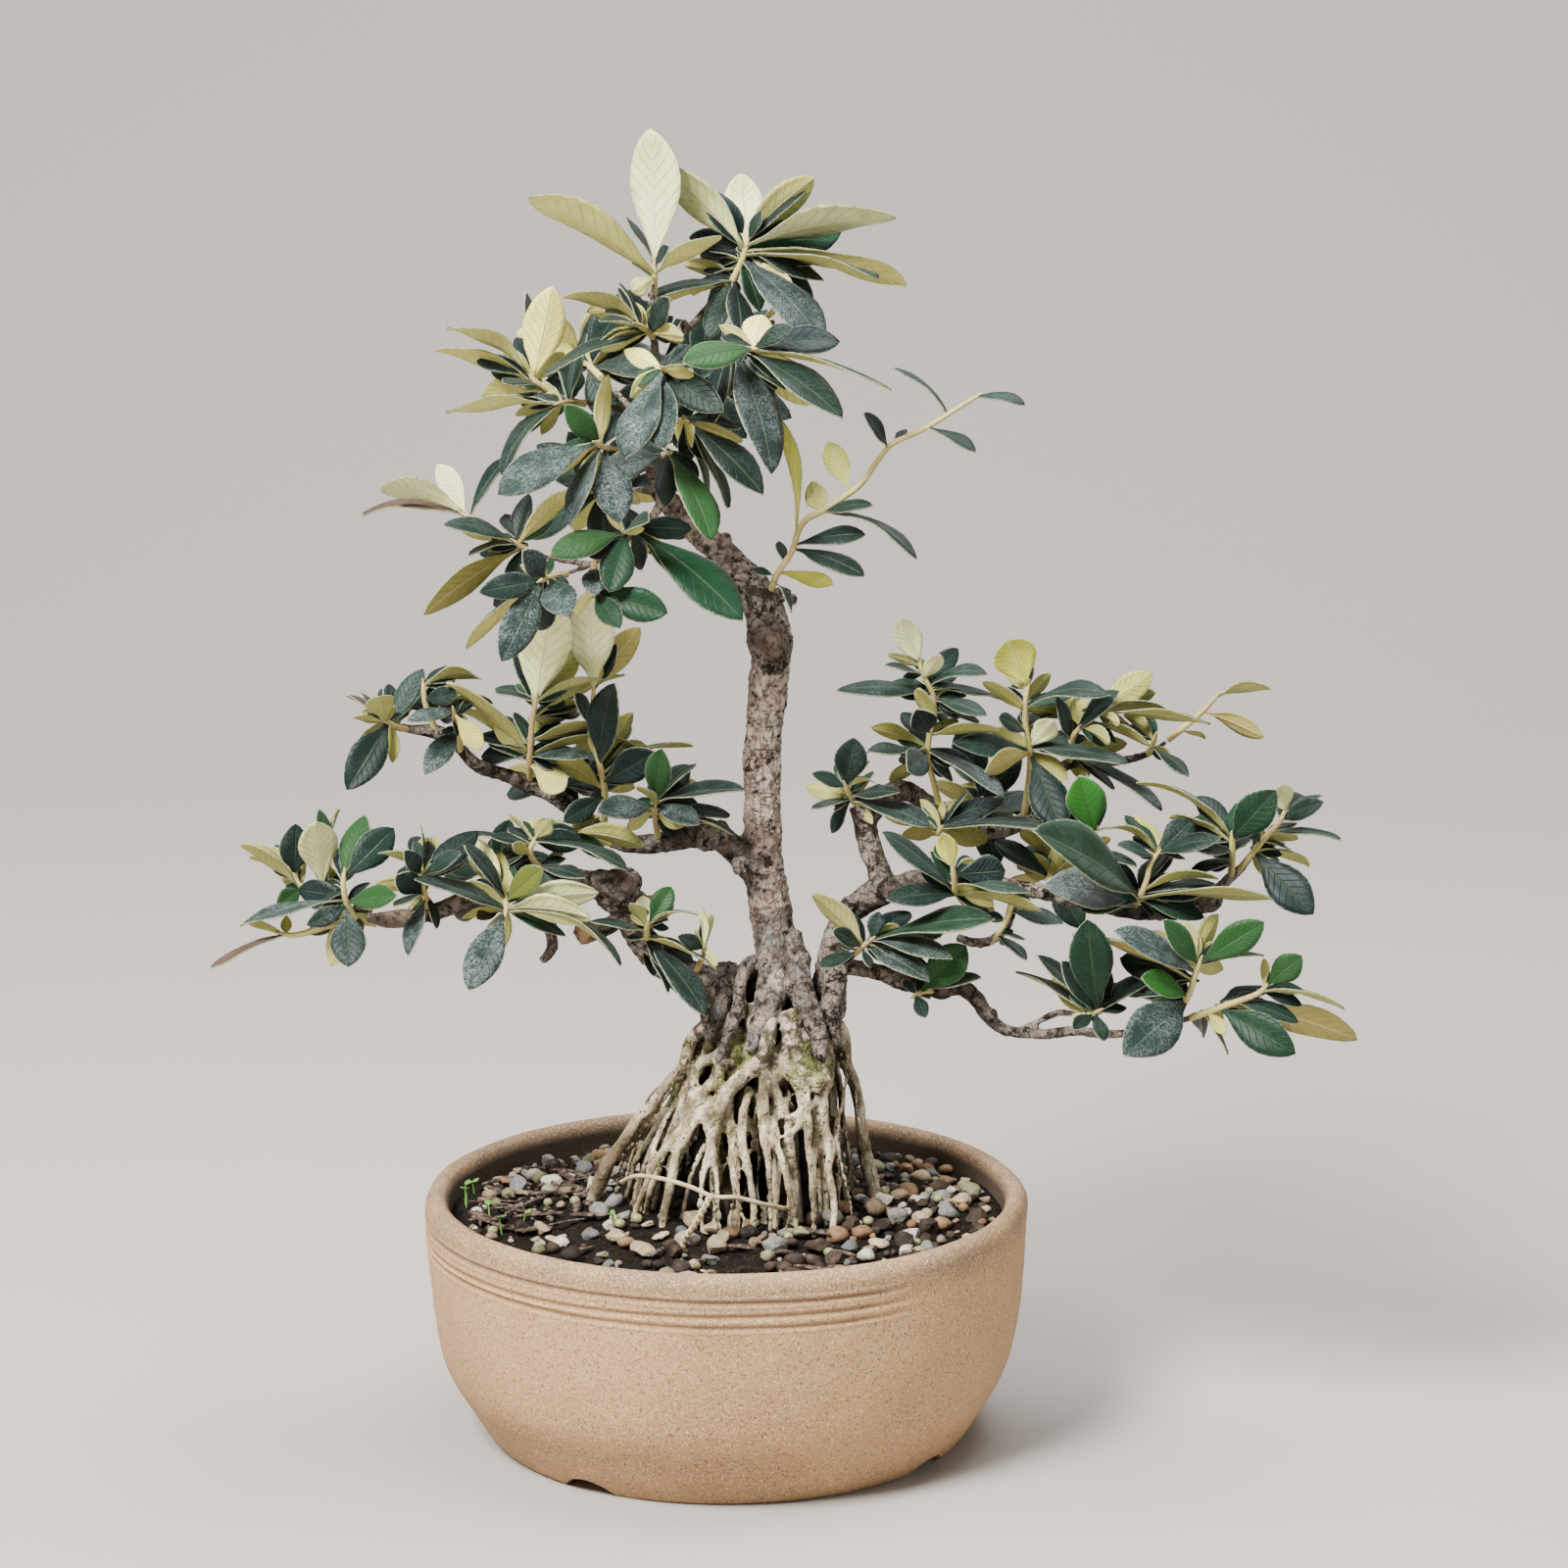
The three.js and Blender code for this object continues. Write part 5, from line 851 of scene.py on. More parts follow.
def make_leaf_blank():
    """One leaf blade from a grid: its upper side, felted underside and rim, with its UV map."""
    deselect()
    bpy.ops.mesh.primitive_grid_add(x_subdivisions=BLADE_COLUMNS, y_subdivisions=BLADE_ROWS, size=2)
    blank = bpy.context.object
    blank.name = "leaf_blank"
    bpy.ops.object.mode_set(mode="EDIT")
    bpy.ops.mesh.select_all(action="SELECT")
    bpy.ops.transform.resize(value=(1, 0.5, 1))
    bpy.ops.transform.translate(value=(0, 0.5, 0))
    bpy.ops.object.mode_set(mode="OBJECT")
    settle(blank)
    for name in ("leaf_upper", "leaf_felt", "leaf_rim"):
        blank.data.materials.append(bpy.data.materials[name])
    add_modifier(blank, "SOLIDIFY", thickness=BLANK_THICKNESS, offset=-1, material_offset=1,
                 material_offset_rim=2)
    smooth(blank)
    return blank


def leaf_frame(base, tip, shown):
    """A leaf's axes, its length and its breadth, as the solid has them."""
    axis = tip - base
    length = axis.length
    axis.normalize()
    to_view = (VIEW_EYE - base).normalized()
    to_view = (to_view - axis * to_view.dot(axis)).normalized()
    rise = axis.cross(to_view)
    if rise.z < 0:
        rise.negate()
    seen = abs(shown) * view_scale(base)
    width = max(seen, LEAF_SLIMNESS * length)
    facing = seen / width
    turn = to_view * (math.copysign(1, shown) * facing)
    normal = turn + rise * math.sqrt(max(0, 1 - facing ** 2))
    return axis, axis.cross(normal), normal, length, width


def on_twig(route, across, down):
    """The spot of a twig that is nearest to a place of the view, with its depth."""
    best = None
    for start, end in zip(route, route[1:]):
        run = (end[0] - start[0], end[1] - start[1])
        along = (across - start[0]) * run[0] + (down - start[1]) * run[1]
        share = min(max(along / (run[0] ** 2 + run[1] ** 2), 0), 1)
        spot = [a + share * (b - a) for a, b in zip(start, end)]
        gap = math.hypot(spot[0] - across, spot[1] - down)
        if best is None or gap < best[0]:
            best = (gap, spot)
    return best[1]


def node_tree(name):
    """The corners of a CAD node, in mm from the bowl's axis, for a quick search."""
    points = get_points(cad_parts[name].data) / MM
    tree = KDTree(len(points))
    for index, point in enumerate(points):
        tree.insert(Vector(point) - POT_AXIS, index)
    tree.balance()
    return tree


def bent_leaf(route, leaf, corners):
    """A leaf's base, and its tip at the depth that the solid's leaf has."""
    spot = on_twig(route, leaf[0], leaf[1])
    base = place(spot)
    for bend in BENDS:
        tip = place((leaf[2], leaf[3], spot[2] + leaf[5] + bend))
        if corners.find(tip)[2] < NEAR_CORNER:
            return base, tip
    return base, place((leaf[2], leaf[3], spot[2] + leaf[5]))


class LeafMaker:
    """Sets copies of the blank on a spray, and keeps each copy's own colours."""

    def __init__(self, blank):
        self.blank = blank
        self.points = get_points(blank.data)

    def make(self, base, tip, shown, arch, tone, form, twist):
        axis, side, normal, length, width = leaf_frame(base, tip, shown)
        peak, blunt, fold, curl, wave, phase = form
        copy = copy_of(self.blank)
        moved = np.empty_like(self.points)
        for index, (across, row, thick) in enumerate(self.points):
            along = 1 - (1 - min(row, 1)) ** ROW_CROWDING
            half = leaf_outline(along, peak, blunt) * width / 2
            level = 4 * arch * length * along * (1 - along)
            if along >= STALK_SHARE:
                cup = fold * half * abs(across) - curl * half * abs(across) ** 4
                lag = 2.2 if across > 0 else 0
                level = level + cup + wave * width * abs(across) ** 2 * math.sin(9 * along + phase + lag)
            rib = 1.6 if abs(across) < 0.2 and thick < 0 else 1.0
            thickness = LEAF_THICKNESS * rib / BLANK_THICKNESS
            turn = twist * along
            out = side * (across * half * math.cos(turn)) + normal * (across * half * math.sin(turn))
            moved[index] = base + axis * (along * length) + out + normal * (level + thick * thickness)
        set_points_mm(copy, moved)
        for name, value in tone.items():
            keep_colors(copy, name, list(value) * len(copy.data.vertices))
        return copy


TONES = {
    # upper side, frost on it, underside
    "": ((0.004, 0.015, 0.010), 0.22, (0.84, 0.77, 0.30)),
    "d": ((0.002, 0.009, 0.008), 0.13, (0.74, 0.68, 0.27)),
    "f": ((0.007, 0.018, 0.015), 0.80, (0.84, 0.78, 0.36)),
    "b": ((0.012, 0.052, 0.010), 0.10, (0.78, 0.75, 0.27)),
    "w": ((0.016, 0.095, 0.010), 0.06, (0.80, 0.76, 0.25)),
    "g": ((0.004, 0.027, 0.010), 0.14, (0.72, 0.67, 0.26)),
    "v": ((0.120, 0.130, 0.020), 0.10, (0.62, 0.56, 0.20)),
    "c": ((0.012, 0.034, 0.016), 0.40, (0.97, 0.96, 0.58)),
    "y": ((0.012, 0.034, 0.010), 0.20, (0.84, 0.82, 0.16)),
    "t": ((0.012, 0.026, 0.014), 0.45, (0.54, 0.45, 0.16)),
    "o": ((0.060, 0.030, 0.016), 0.30, (0.20, 0.115, 0.062)),
    "s": ((0.036, 0.046, 0.042), 0.80, (0.42, 0.41, 0.27)),
}
COMMON_TONES = ("", "d", "f", "b", "w", "g")
# Leaves behind a large one: mostly the dark tone, as painted shade
HIDDEN_SHADE_TONES = ("d", "g", "d", "d")
# Painted light on the undersides: full in the crown, painted shade on the limbs below it, and a little less
# where a leaf's tone is marked
CROWN_PAINTED_LIGHT = 1.0
LIMB_PAINTED_SHADE = 0.62
MARKED_LIGHT = 0.9


def tone_of(letter, draw, painted_light):
    """The colours of one leaf, each a little off its kind's, with its underside dimmed by the painted light
    of its place.
    """
    upper, frost, felt = TONES[letter]
    felt = (felt[0] * painted_light, felt[1] * (0.05 + 0.95 * painted_light), felt[2] * painted_light)
    light = 0.8 + 0.45 * draw()
    green = 0.92 + 0.2 * draw()
    pale = 0.86 + 0.26 * draw()
    return {
        "upper_tone": (upper[0] * light, upper[1] * light * green, upper[2] * light, 1),
        "felt_tone": (felt[0] * pale, felt[1] * pale, felt[2] * pale * (0.9 + 0.2 * draw()), 1),
        "frost": (frost * (0.7 + 0.6 * draw()), draw(), draw(), 1),
    }


def form_of(draw, slim):
    """Where a leaf is widest, how blunt it is, its fold, the curl of its edge, its ripple and phase."""
    peak = 0.50 + 0.12 * draw()
    return (peak, 0.2 * draw(), 0.14 + 0.20 * draw(), 0.12 + 0.12 * draw(),
            0.016 + 0.03 * draw() * slim, 6.3 * draw())


TWIG_RADIUS = 1.25
TWIG_TAPER = 0.55
BUD_LENGTH = 2.6
BUD_RADIUS = 0.25


def make_twig(name, route):
    """A young shoot: a curve that thins to a bud at its end."""
    points = [place(spot) for spot in route]
    points.append(points[-1] + (points[-1] - points[-2]).normalized() * BUD_LENGTH)
    data = bpy.data.curves.new(name + "_twig", "CURVE")
    data.dimensions = "3D"
    data.bevel_depth = 1
    data.bevel_resolution = 1
    data.resolution_u = 5
    data.use_fill_caps = True
    spline = data.splines.new("NURBS")
    spline.points.add(len(points) - 1)
    spline.use_endpoint_u = True
    spline.order_u = 3
    for index, (knot, point) in enumerate(zip(spline.points, points)):
        knot.co = (*((point + POT_AXIS) * MM), 1)
        knot.radius = (TWIG_RADIUS - TWIG_TAPER * index / (len(points) - 1)) * MM
    spline.points[-1].radius = BUD_RADIUS * MM
    twig = mesh_of_curve(name + "_twig", data)
    paint(twig, "shoot")
    smooth(twig)
    return twig


def back_leaves(entry, seed):
    """The leaves of a spray behind the tree, by the same rule as its solid."""
    _, start, end, count, length = entry
    draw = number_rule(seed)
    leaves = []
    for index in range(count):
        along = 0.35 + 0.65 * (index + 1) / count
        across, down = [start[k] + along * (end[k] - start[k]) for k in (0, 1)]
        angle = 2.4 * index + 0.6 * draw()
        reach = (length / 0.33) * (0.8 + 0.4 * draw())
        depth = (0.25 + 0.5 * draw()) * length * math.sin(1.7 * index + 1)
        side = -1 if draw() < 0.3 else 1
        shown = side * reach * (0.25 + 0.2 * draw())
        tip = (across + reach * math.cos(angle), down - 0.8 * reach * math.sin(angle))
        leaves.append((across, down, tip[0], tip[1], shown, depth))
    return leaves


def hidden_leaves(maker, base, tip, painted_light, draw):
    """Two or three smaller leaves that fill the dark behind a large one, mostly in the dark tone as painted
    shade.
    """
    made = []
    axis = tip - base
    for _ in range(3 if draw() < 0.45 else 2):
        turn = Matrix.Rotation(math.radians(75 * (draw() - 0.5)), 3, "Y")
        run = turn @ axis * (0.40 + 0.28 * draw())
        run.y += 3 + 13 * draw()
        foot = base + Vector((0, 0.8 + 1.6 * draw(), 0)) - axis * 0.05
        shown = run.length / view_scale(base) * (0.20 + 0.22 * draw()) * (-1 if draw() < 0.28 else 1)
        letter = HIDDEN_SHADE_TONES[int(len(HIDDEN_SHADE_TONES) * draw())]
        tone = tone_of(letter, draw, painted_light)
        made.append(maker.make(foot, foot + run, shown, LEAF_ARCH, tone, form_of(draw, 1), 0.2))
    return made


SPRAY_SEED = 500
SPARSE = ("shoot_right", "crown_apex", "left_low_under", "right_top_tip", "crown_far_left")
SMALL_LEAF = 16
LARGE_LEAF = 11


def make_spray(maker, name, route, leaves, draw):
    corners = node_tree("spray_" + name)
    parts = [make_twig(name, route)]
    # Painted light: the undersides in the crown stay bright, and those on the limbs below get painted shade.
    painted_light = CROWN_PAINTED_LIGHT if name.startswith("crown") else LIMB_PAINTED_SHADE
    for leaf in leaves:
        letter = leaf[-1] if isinstance(leaf[-1], str) else ""
        arch = leaf[6] if len(leaf) > 6 and not isinstance(leaf[6], str) else LEAF_ARCH
        base, tip = bent_leaf(route, leaf, corners)
        slim = 1 if abs(leaf[4]) < SMALL_LEAF else 0.6
        twist = 0.5 * (draw() - 0.5)
        tone = tone_of(letter, draw, painted_light if letter in COMMON_TONES else MARKED_LIGHT)
        parts.append(maker.make(base, tip, leaf[4], arch, tone, form_of(draw, slim), twist))
        if name not in SPARSE and (tip - base).length > LARGE_LEAF:
            parts += hidden_leaves(maker, base, tip, painted_light, draw)
    finish_piece(join_pieces("leaves_" + name, parts), "foliage", "spray_" + name)


def make_sprays():
    blank = make_leaf_blank()
    maker = LeafMaker(blank)
    table = list(SPRAYS)
    for number, entry in enumerate(BACK_SPRAYS):
        table.append((entry[0], entry[1:3], back_leaves(entry, BACK_SEED + number)))
    for number, (name, route, leaves) in enumerate(table):
        make_spray(maker, name, route, leaves, number_rule(SPRAY_SEED + number))
    bpy.data.objects.remove(blank, do_unlink=True)


# Grown wood: how close the points of its middle lines are, and how fine its skins
WOOD_STEP = 3.0
WOOD_VOXEL = 0.85
ROOT_VOXEL = 0.985

# Lumps on the wood, where old shoots were cut: [across, down, depth], size in mm
KNOBS = (
    (777, 640, -7, 4.2), (792, 668, -7, 3.6), (808, 612, 0, 2.6), (800, 606, -4, 3.2), (756, 885, -6, 4.2),
    (722, 858, -7, 5.0), (735, 848, -4, 4.0), (634, 905, -18, 6.2), (652, 920, -14, 4.8),
    (614, 902, -18, 5.2), (575, 896, -18, 3.6), (420, 936, -24, 3.4), (470, 918, -20, 3.2),
    (526, 796, 10, 3.0), (460, 762, 8, 2.8), (884, 828, 2, 4.6), (896, 812, 4, 4.2), (905, 905, -8, 5.4),
    (868, 925, -5, 4.4), (850, 962, -5, 4.6), (958, 1006, -18, 3.4), (1010, 1036, -20, 3.0),
    (1064, 911, -15, 3.2), (1158, 929, -15, 3.2), (1240, 920, -14, 3.2), (820, 980, -6, 4.0),
    (770, 985, -6, 4.6), (742, 1008, -8, 6.0), (716, 1002, -8, 5.2), (740, 552, -2, 3.2),
    (702, 536, 0, 3.4), (690, 512, 1, 3.0), (762, 598, -4, 3.0), (560, 942, -20, 3.0),
)

# Folds of bark where the trunk and limbs run out into the roots: [across, down, depth, thickness]
BUTTRESSES = (
    ((792, 940, -2, 30), (790, 985, -8, 34), (786, 1020, -15, 34), (776, 1046, -21, 27),
     (764, 1074, -25, 13)),
    ((806, 950, -2, 26), (814, 1000, -9, 30), (826, 1034, -17, 26), (836, 1060, -22, 20),
     (838, 1084, -25, 10)),
    ((850, 958, -2, 24), (852, 1000, -8, 26), (848, 1036, -13, 22), (856, 1066, -16, 10)),
    ((744, 986, -4, 28), (738, 1016, -11, 30), (730, 1040, -16, 18), (722, 1062, -19, 10)),
    ((764, 982, -12, 16), (756, 1004, -18, 15), (752, 1030, -22, 14), (742, 1060, -25, 13),
     (732, 1084, -27, 9)),
    ((790, 985, 12, 34), (786, 1030, 16, 30), (780, 1066, 20, 14)),
)
ROOT_KNOBS = (
    (822, 1088, -24, 4.2), (838, 1106, -25, 4.6), (748, 1074, -23, 3.4), (806, 1066, -22, 3.6),
    (820, 1122, -28, 3.4),
)

# Thick roots that the trunk runs out into: [across, down, thickness]
THICK_ROOTS = (
    ((806, 1030, 26), (812, 1052, 26), (808, 1078, 22), (794, 1102, 15)),
    ((766, 1026, 22), (770, 1044, 22), (768, 1070, 17), (752, 1092, 13)),
    ((738, 1024, 20), (726, 1050, 17), (712, 1078, 14), (694, 1112, 12), (676, 1150, 11), (652, 1210, 10),
     (640, 1262, 9)),
    ((852, 1030, 20), (850, 1070, 17), (846, 1100, 13), (840, 1130, 11), (846, 1180, 10), (850, 1262, 9)),
    ((818, 1060, 20), (832, 1086, 22), (842, 1112, 20), (832, 1134, 13), (812, 1152, 10), (798, 1180, 9),
     (790, 1280, 8)),
    ((790, 1074, 20), (784, 1100, 18), (796, 1124, 13), (806, 1150, 10), (812, 1200, 9), (815, 1284, 8)),
    ((752, 1064, 18), (744, 1094, 15), (738, 1128, 12), (742, 1166, 10), (748, 1220, 9), (750, 1284, 8)),
    ((718, 1104, 12), (704, 1132, 11), (690, 1166, 10), (676, 1204, 9), (664, 1246, 8), (656, 1284, 8)),
)


def smooth_route(points, radii, step):
    """Points along a smooth run through the given ones, with their radii, a step apart."""
    path, sizes = [], []
    for k in range(len(points) - 1):
        before, start, end, after = (points[max(k - 1, 0)], points[k], points[k + 1],
                                     points[min(k + 2, len(points) - 1)])
        count = max(2, round((end - start).length / step))
        for i in range(count):
            t = i / count
            path.append(0.5 * (2 * start + (end - before) * t
                               + (2 * before - 5 * start + 4 * end - after) * t * t
                               + (3 * start - before - 3 * end + after) * t ** 3))
            ease = t * t * (3 - 2 * t)
            sizes.append(radii[k] + ease * (radii[k + 1] - radii[k]))
    path.append(points[-1])
    sizes.append(radii[-1])
    return path, sizes


def rod(name, path, sizes, sides=2):
    """A round rod as a bevelled curve, turned into a mesh."""
    data = bpy.data.curves.new(name, "CURVE")
    data.dimensions = "3D"
    data.bevel_depth = 1
    data.bevel_resolution = sides
    data.use_fill_caps = True
    spline = data.splines.new("POLY")
    spline.points.add(len(path) - 1)
    for knot, point, size in zip(spline.points, path, sizes):
        knot.co = (*((point + POT_AXIS) * MM), 1)
        knot.radius = size * MM
    return mesh_of_curve(name, data)


class WoodRun:
    """The middle lines of all that has grown, with its thickness there."""

    def __init__(self):
        self.rods, self.spots, self.sizes = [], [], []

    def add(self, name, points, radii, wander=0.0, seed=0):
        path, sizes = smooth_route(points, radii, WOOD_STEP)
        for k, point in enumerate(path):
            if wander and 0 < k < len(path) - 1:
                path[k] = point + noise.noise_vector(point / 11 + Vector((seed, 0, 0))) * wander
            sizes[k] *= 1 + 0.10 * noise.noise(point / 7 + Vector((0, seed, 0)))
        self.rods.append(rod(name, path, sizes))
        self.spots += path
        self.sizes += sizes

    def add_route(self, name, route, wander, seed):
        """A run from (across, down, depth, thickness in the view)."""
        points = [place(spot) for spot in route]
        radii = [spot[3] / 2 * view_scale(point) for spot, point in zip(route, points)]
        self.add(name, points, radii, wander, seed)

    def tree(self):
        tree = KDTree(len(self.spots))
        for index, spot in enumerate(self.spots):
            tree.insert(spot, index)
        tree.balance()
        return tree


def skin_over(name, rods, voxel):
    """One skin over overlapping rods."""
    piece = join_pieces(name, rods)
    add_modifier(piece, "REMESH", mode="VOXEL", voxel_size=voxel * MM, use_smooth_shade=True)
    add_modifier(piece, "SMOOTH", factor=0.5, iterations=3)
    return piece


def swell(piece, height_at):
    """Moves every point of a skin out along its normal by a height in mm."""
    mesh = piece.data
    points = get_points(mesh)
    normals = np.empty(3 * len(mesh.vertices), dtype=np.float32)
    mesh.vertices.foreach_get("normal", normals)
    normals = normals.reshape(-1, 3)
    heights = np.array([height_at(Vector(point) / MM - POT_AXIS) for point in points])
    set_points(mesh, points + normals * heights[:, None] * MM)


# Places where the bark has gone: [across, down, depth], reach in mm, colour
SCARS = (
    ((786, 655, -9), 6, (0.24, 0.150, 0.095)), ((790, 640, -9), 4, (0.060, 0.035, 0.025)),
    ((740, 1036, -9), 6, (0.185, 0.085, 0.045)), ((742, 868, -6), 5, (0.17, 0.10, 0.065)),
    ((592, 953, -26), 7, (0.22, 0.12, 0.06)), ((405, 938, -25), 6, (0.24, 0.16, 0.10)),
    ((640, 905, -22), 5, (0.20, 0.14, 0.11)), ((795, 1000, -15), 4.5, (0.70, 0.57, 0.49)),
    ((775, 1042, -27), 4, (0.62, 0.47, 0.40)),
)
BUTTRESS_SEED = 300
KNOB_SEED = 61
LIMB_SIZE = 6.4
CROWN_HEIGHT = 0.30


def color_bark(wood, run, tree):
    """Where the bark is worn, its colour there, and how slim the wood is."""
    points = get_points(wood.data)
    wear, tint, slim = [blank_colors(len(points)) for _ in range(3)]
    for spot, reach, color in SCARS:
        far = np.linalg.norm(points / MM - np.array(place(spot) + POT_AXIS), axis=1)
        share = np.clip(1.35 * (1 - far / reach), 0, 0.92)
        stronger = share > wear[:, 0]
        wear[stronger, :3] = share[stronger, None]
        tint[stronger, :3] = color
    for index, point in enumerate(points):
        size = run.sizes[tree.find(Vector(point) / MM - POT_AXIS)[1]]
        slim[index, :3] = min(max((LIMB_SIZE - size) / 1.6, 0), 0.85 if point[2] < CROWN_HEIGHT else 0.3)
    for name, values in (("wear", wear), ("wear_color", tint), ("slim", slim)):
        keep_colors(wood, name, values.ravel())


def make_bark_wood():
    run = WoodRun()
    for seed, (name, route) in enumerate(LIMBS):
        run.add_route(name, route, 0.25 if name == "trunk" else 0.5, seed)
    for seed, route in enumerate(BUTTRESSES):
        run.add_route("buttress", route, 0.6, seed + BUTTRESS_SEED)
    draw = number_rule(KNOB_SEED)
    for across, down, depth, size in KNOBS:
        middle = place((across, down, depth))
        lean = Vector((draw() - 0.5, -0.4 + 0.4 * draw(), draw() - 0.2)).normalized() * size
        run.add("knob", [middle - lean * 0.5, middle + lean * 0.5, middle + lean * 0.9],
                [size * 0.8, size * 0.72, size * 0.42])
    tree = run.tree()
    wood = skin_over("bark_wood", run.rods, WOOD_VOXEL)

    def relief(point):
        size = run.sizes[tree.find(point)[1]]
        share = min(size / 7, 1)
        stretched = Vector((point.x, point.y, point.z * 0.4))
        ridges = 1 - 3.2 * abs(noise.fractal(stretched / 3.4, 0.9, 2.0, 3))
        flakes = noise.cell(Vector((point.x / 3, point.y / 3, point.z / 6)))
        lumps = noise.fractal(point / 9, 0.8, 2.0, 2)
        rings = 0.12 * math.sin(point.z * 2.1 + 3 * noise.noise(point / 8)) * share
        return share * (0.42 * ridges + 0.12 * flakes + 0.55 * lumps) + rings - 0.15 * share

    swell(wood, relief)
    color_bark(wood, run, tree)
    paint(wood, "trunk_bark")
    finish_piece(wood, "bark", "tree_wood")


# The root cone, as seen in the view: [down, left half, right half]
CONE_AXIS = 786
CONE_DEPTH = 0.85
CONE_TOP = 990
CONE_FOOT = 1275
CONE = ((CONE_TOP, 44, 40), (1041, 86, 80), (1076, 90, 84), (1114, 116, 90), (1150, 146, 94),
        (1193, 174, 102), (1290, 196, 118))


def cone_at(down):
    rows = [row[0] for row in CONE]
    return [float(np.interp(down, rows, [row[side] for row in CONE])) for side in (1, 2)]


def root_place(across, down, turned):
    """A place of the view on the root cone, at its front or turned to its back."""
    halves = cone_at(down)
    aside = across - CONE_AXIS
    here, there = halves if aside < 0 else halves[::-1]
    share = min(abs(aside) / here, 0.999)
    mean = sum(halves) / 2
    depth = CONE_DEPTH * mean * view_scale(place((across, down, 0))) * math.sqrt(1 - share ** 2)
    if turned:
        return CONE_AXIS - aside * there / here, down - 0.55 * depth, depth
    return across, down, -depth


FINE_ROOTS = 92
ROOT_SEED = 33


def add_thick_roots(run):
    for seed, route in enumerate(ROOTS):
        end, before = route[-1], route[-2]
        if end[1] > 1180:
            aside = 2 * end[0] - before[0] if end[1] < 1215 else end[0]
            route = [*route, (aside, end[1] + 42, 0.9 * end[2])]
        for turned in (False, True):
            places = []
            for k, (across, down, thick) in enumerate(route):
                x, y, depth = root_place(across, down, turned)
                pull = 0.8 if k == 0 else 1
                places.append((CONE_AXIS + pull * (x - CONE_AXIS), y, pull * depth, thick))
            run.add_route("root", places, 1.0, seed + 20 * turned)
    for seed, route in enumerate(THICK_ROOTS):
        for turned in (False, True):
            places = []
            for across, down, thick in route:
                x, y, depth = root_place(across, down, turned)
                places.append((CONE_AXIS + 0.9 * (x - CONE_AXIS), y, 0.86 * depth, thick))
            run.add_route("root", places, 1.2, seed + 140 * turned)


def add_fine_roots(run, draw):
    """Thin roots between the thick ones, every second one at the back."""
    for seed in range(FINE_ROOTS):
        start = 1040 + 110 * draw()
        side = math.sin(1.5 * (2 * draw() - 1))
        drift = 0.35 * (draw() - 0.5)
        deep = 0.66 + 0.26 * draw()
        thick = 5.2 + 6 * draw() ** 2
        places = []
        for k in range(6):
            down = start + (CONE_FOOT - start) * k / 5
            halves = cone_at(down)
            share = max(-0.997, min(0.997, side + drift * k / 5))
            across = CONE_AXIS + share * halves[0 if share < 0 else 1]
            x, y, depth = root_place(across, down, seed % 2 == 1)
            places.append((CONE_AXIS + deep * (x - CONE_AXIS), y, deep * depth, thick * (1 - 0.04 * k)))
        run.add_route("fine_root", places, 1.6, seed + 70)


def add_core(run):
    """The dark mass inside the cone, as a stack of flat balls: painted shade and soil between the roots."""
    for down in range(1000, 1290, 24):
        halves = cone_at(down)
        middle = place((CONE_AXIS, down, 0))
        scale = view_scale(middle)
        share = 0.62 - 0.16 * (down - 1000) / 290
        wide = share * sum(halves) / 2 * scale
        shift = (halves[1] - halves[0]) / 2 * scale * share
        deselect()
        bpy.ops.mesh.primitive_uv_sphere_add(
            segments=20, ring_count=10, radius=1,
            location=(middle + Vector((shift, 0, -2)) + POT_AXIS) * MM,
            scale=(wide * MM, wide * CONE_DEPTH * 0.94 * MM, 10 * MM))
        settle(bpy.context.object)
        run.rods.append(bpy.context.object)


def depth_shade_and_stain(points):
    """How deep inside the cone each point lies, from 0 at its surface: painted shade, with a soil stain, on
    the roots further in.
    """
    middle = place((CONE_AXIS, 1150, 0))
    scale = view_scale(middle)
    levels = list(range(CONE_TOP, 1300, 10))
    heights = [place((CONE_AXIS, down, 0)).z for down in levels]
    down = np.interp(points[:, 2], heights[::-1], levels[::-1])
    rows = [row[0] for row in CONE]
    left, right = [np.interp(down, rows, [row[side] for row in CONE]) * scale for side in (1, 2)]
    aside = points[:, 0] - middle.x
    half = np.where(aside < 0, left, right)
    within = np.sqrt((aside / half) ** 2 + (points[:, 1] / (CONE_DEPTH * (left + right) / 2)) ** 2)
    return np.clip((0.93 - within) / 0.22, 0, 0.9)


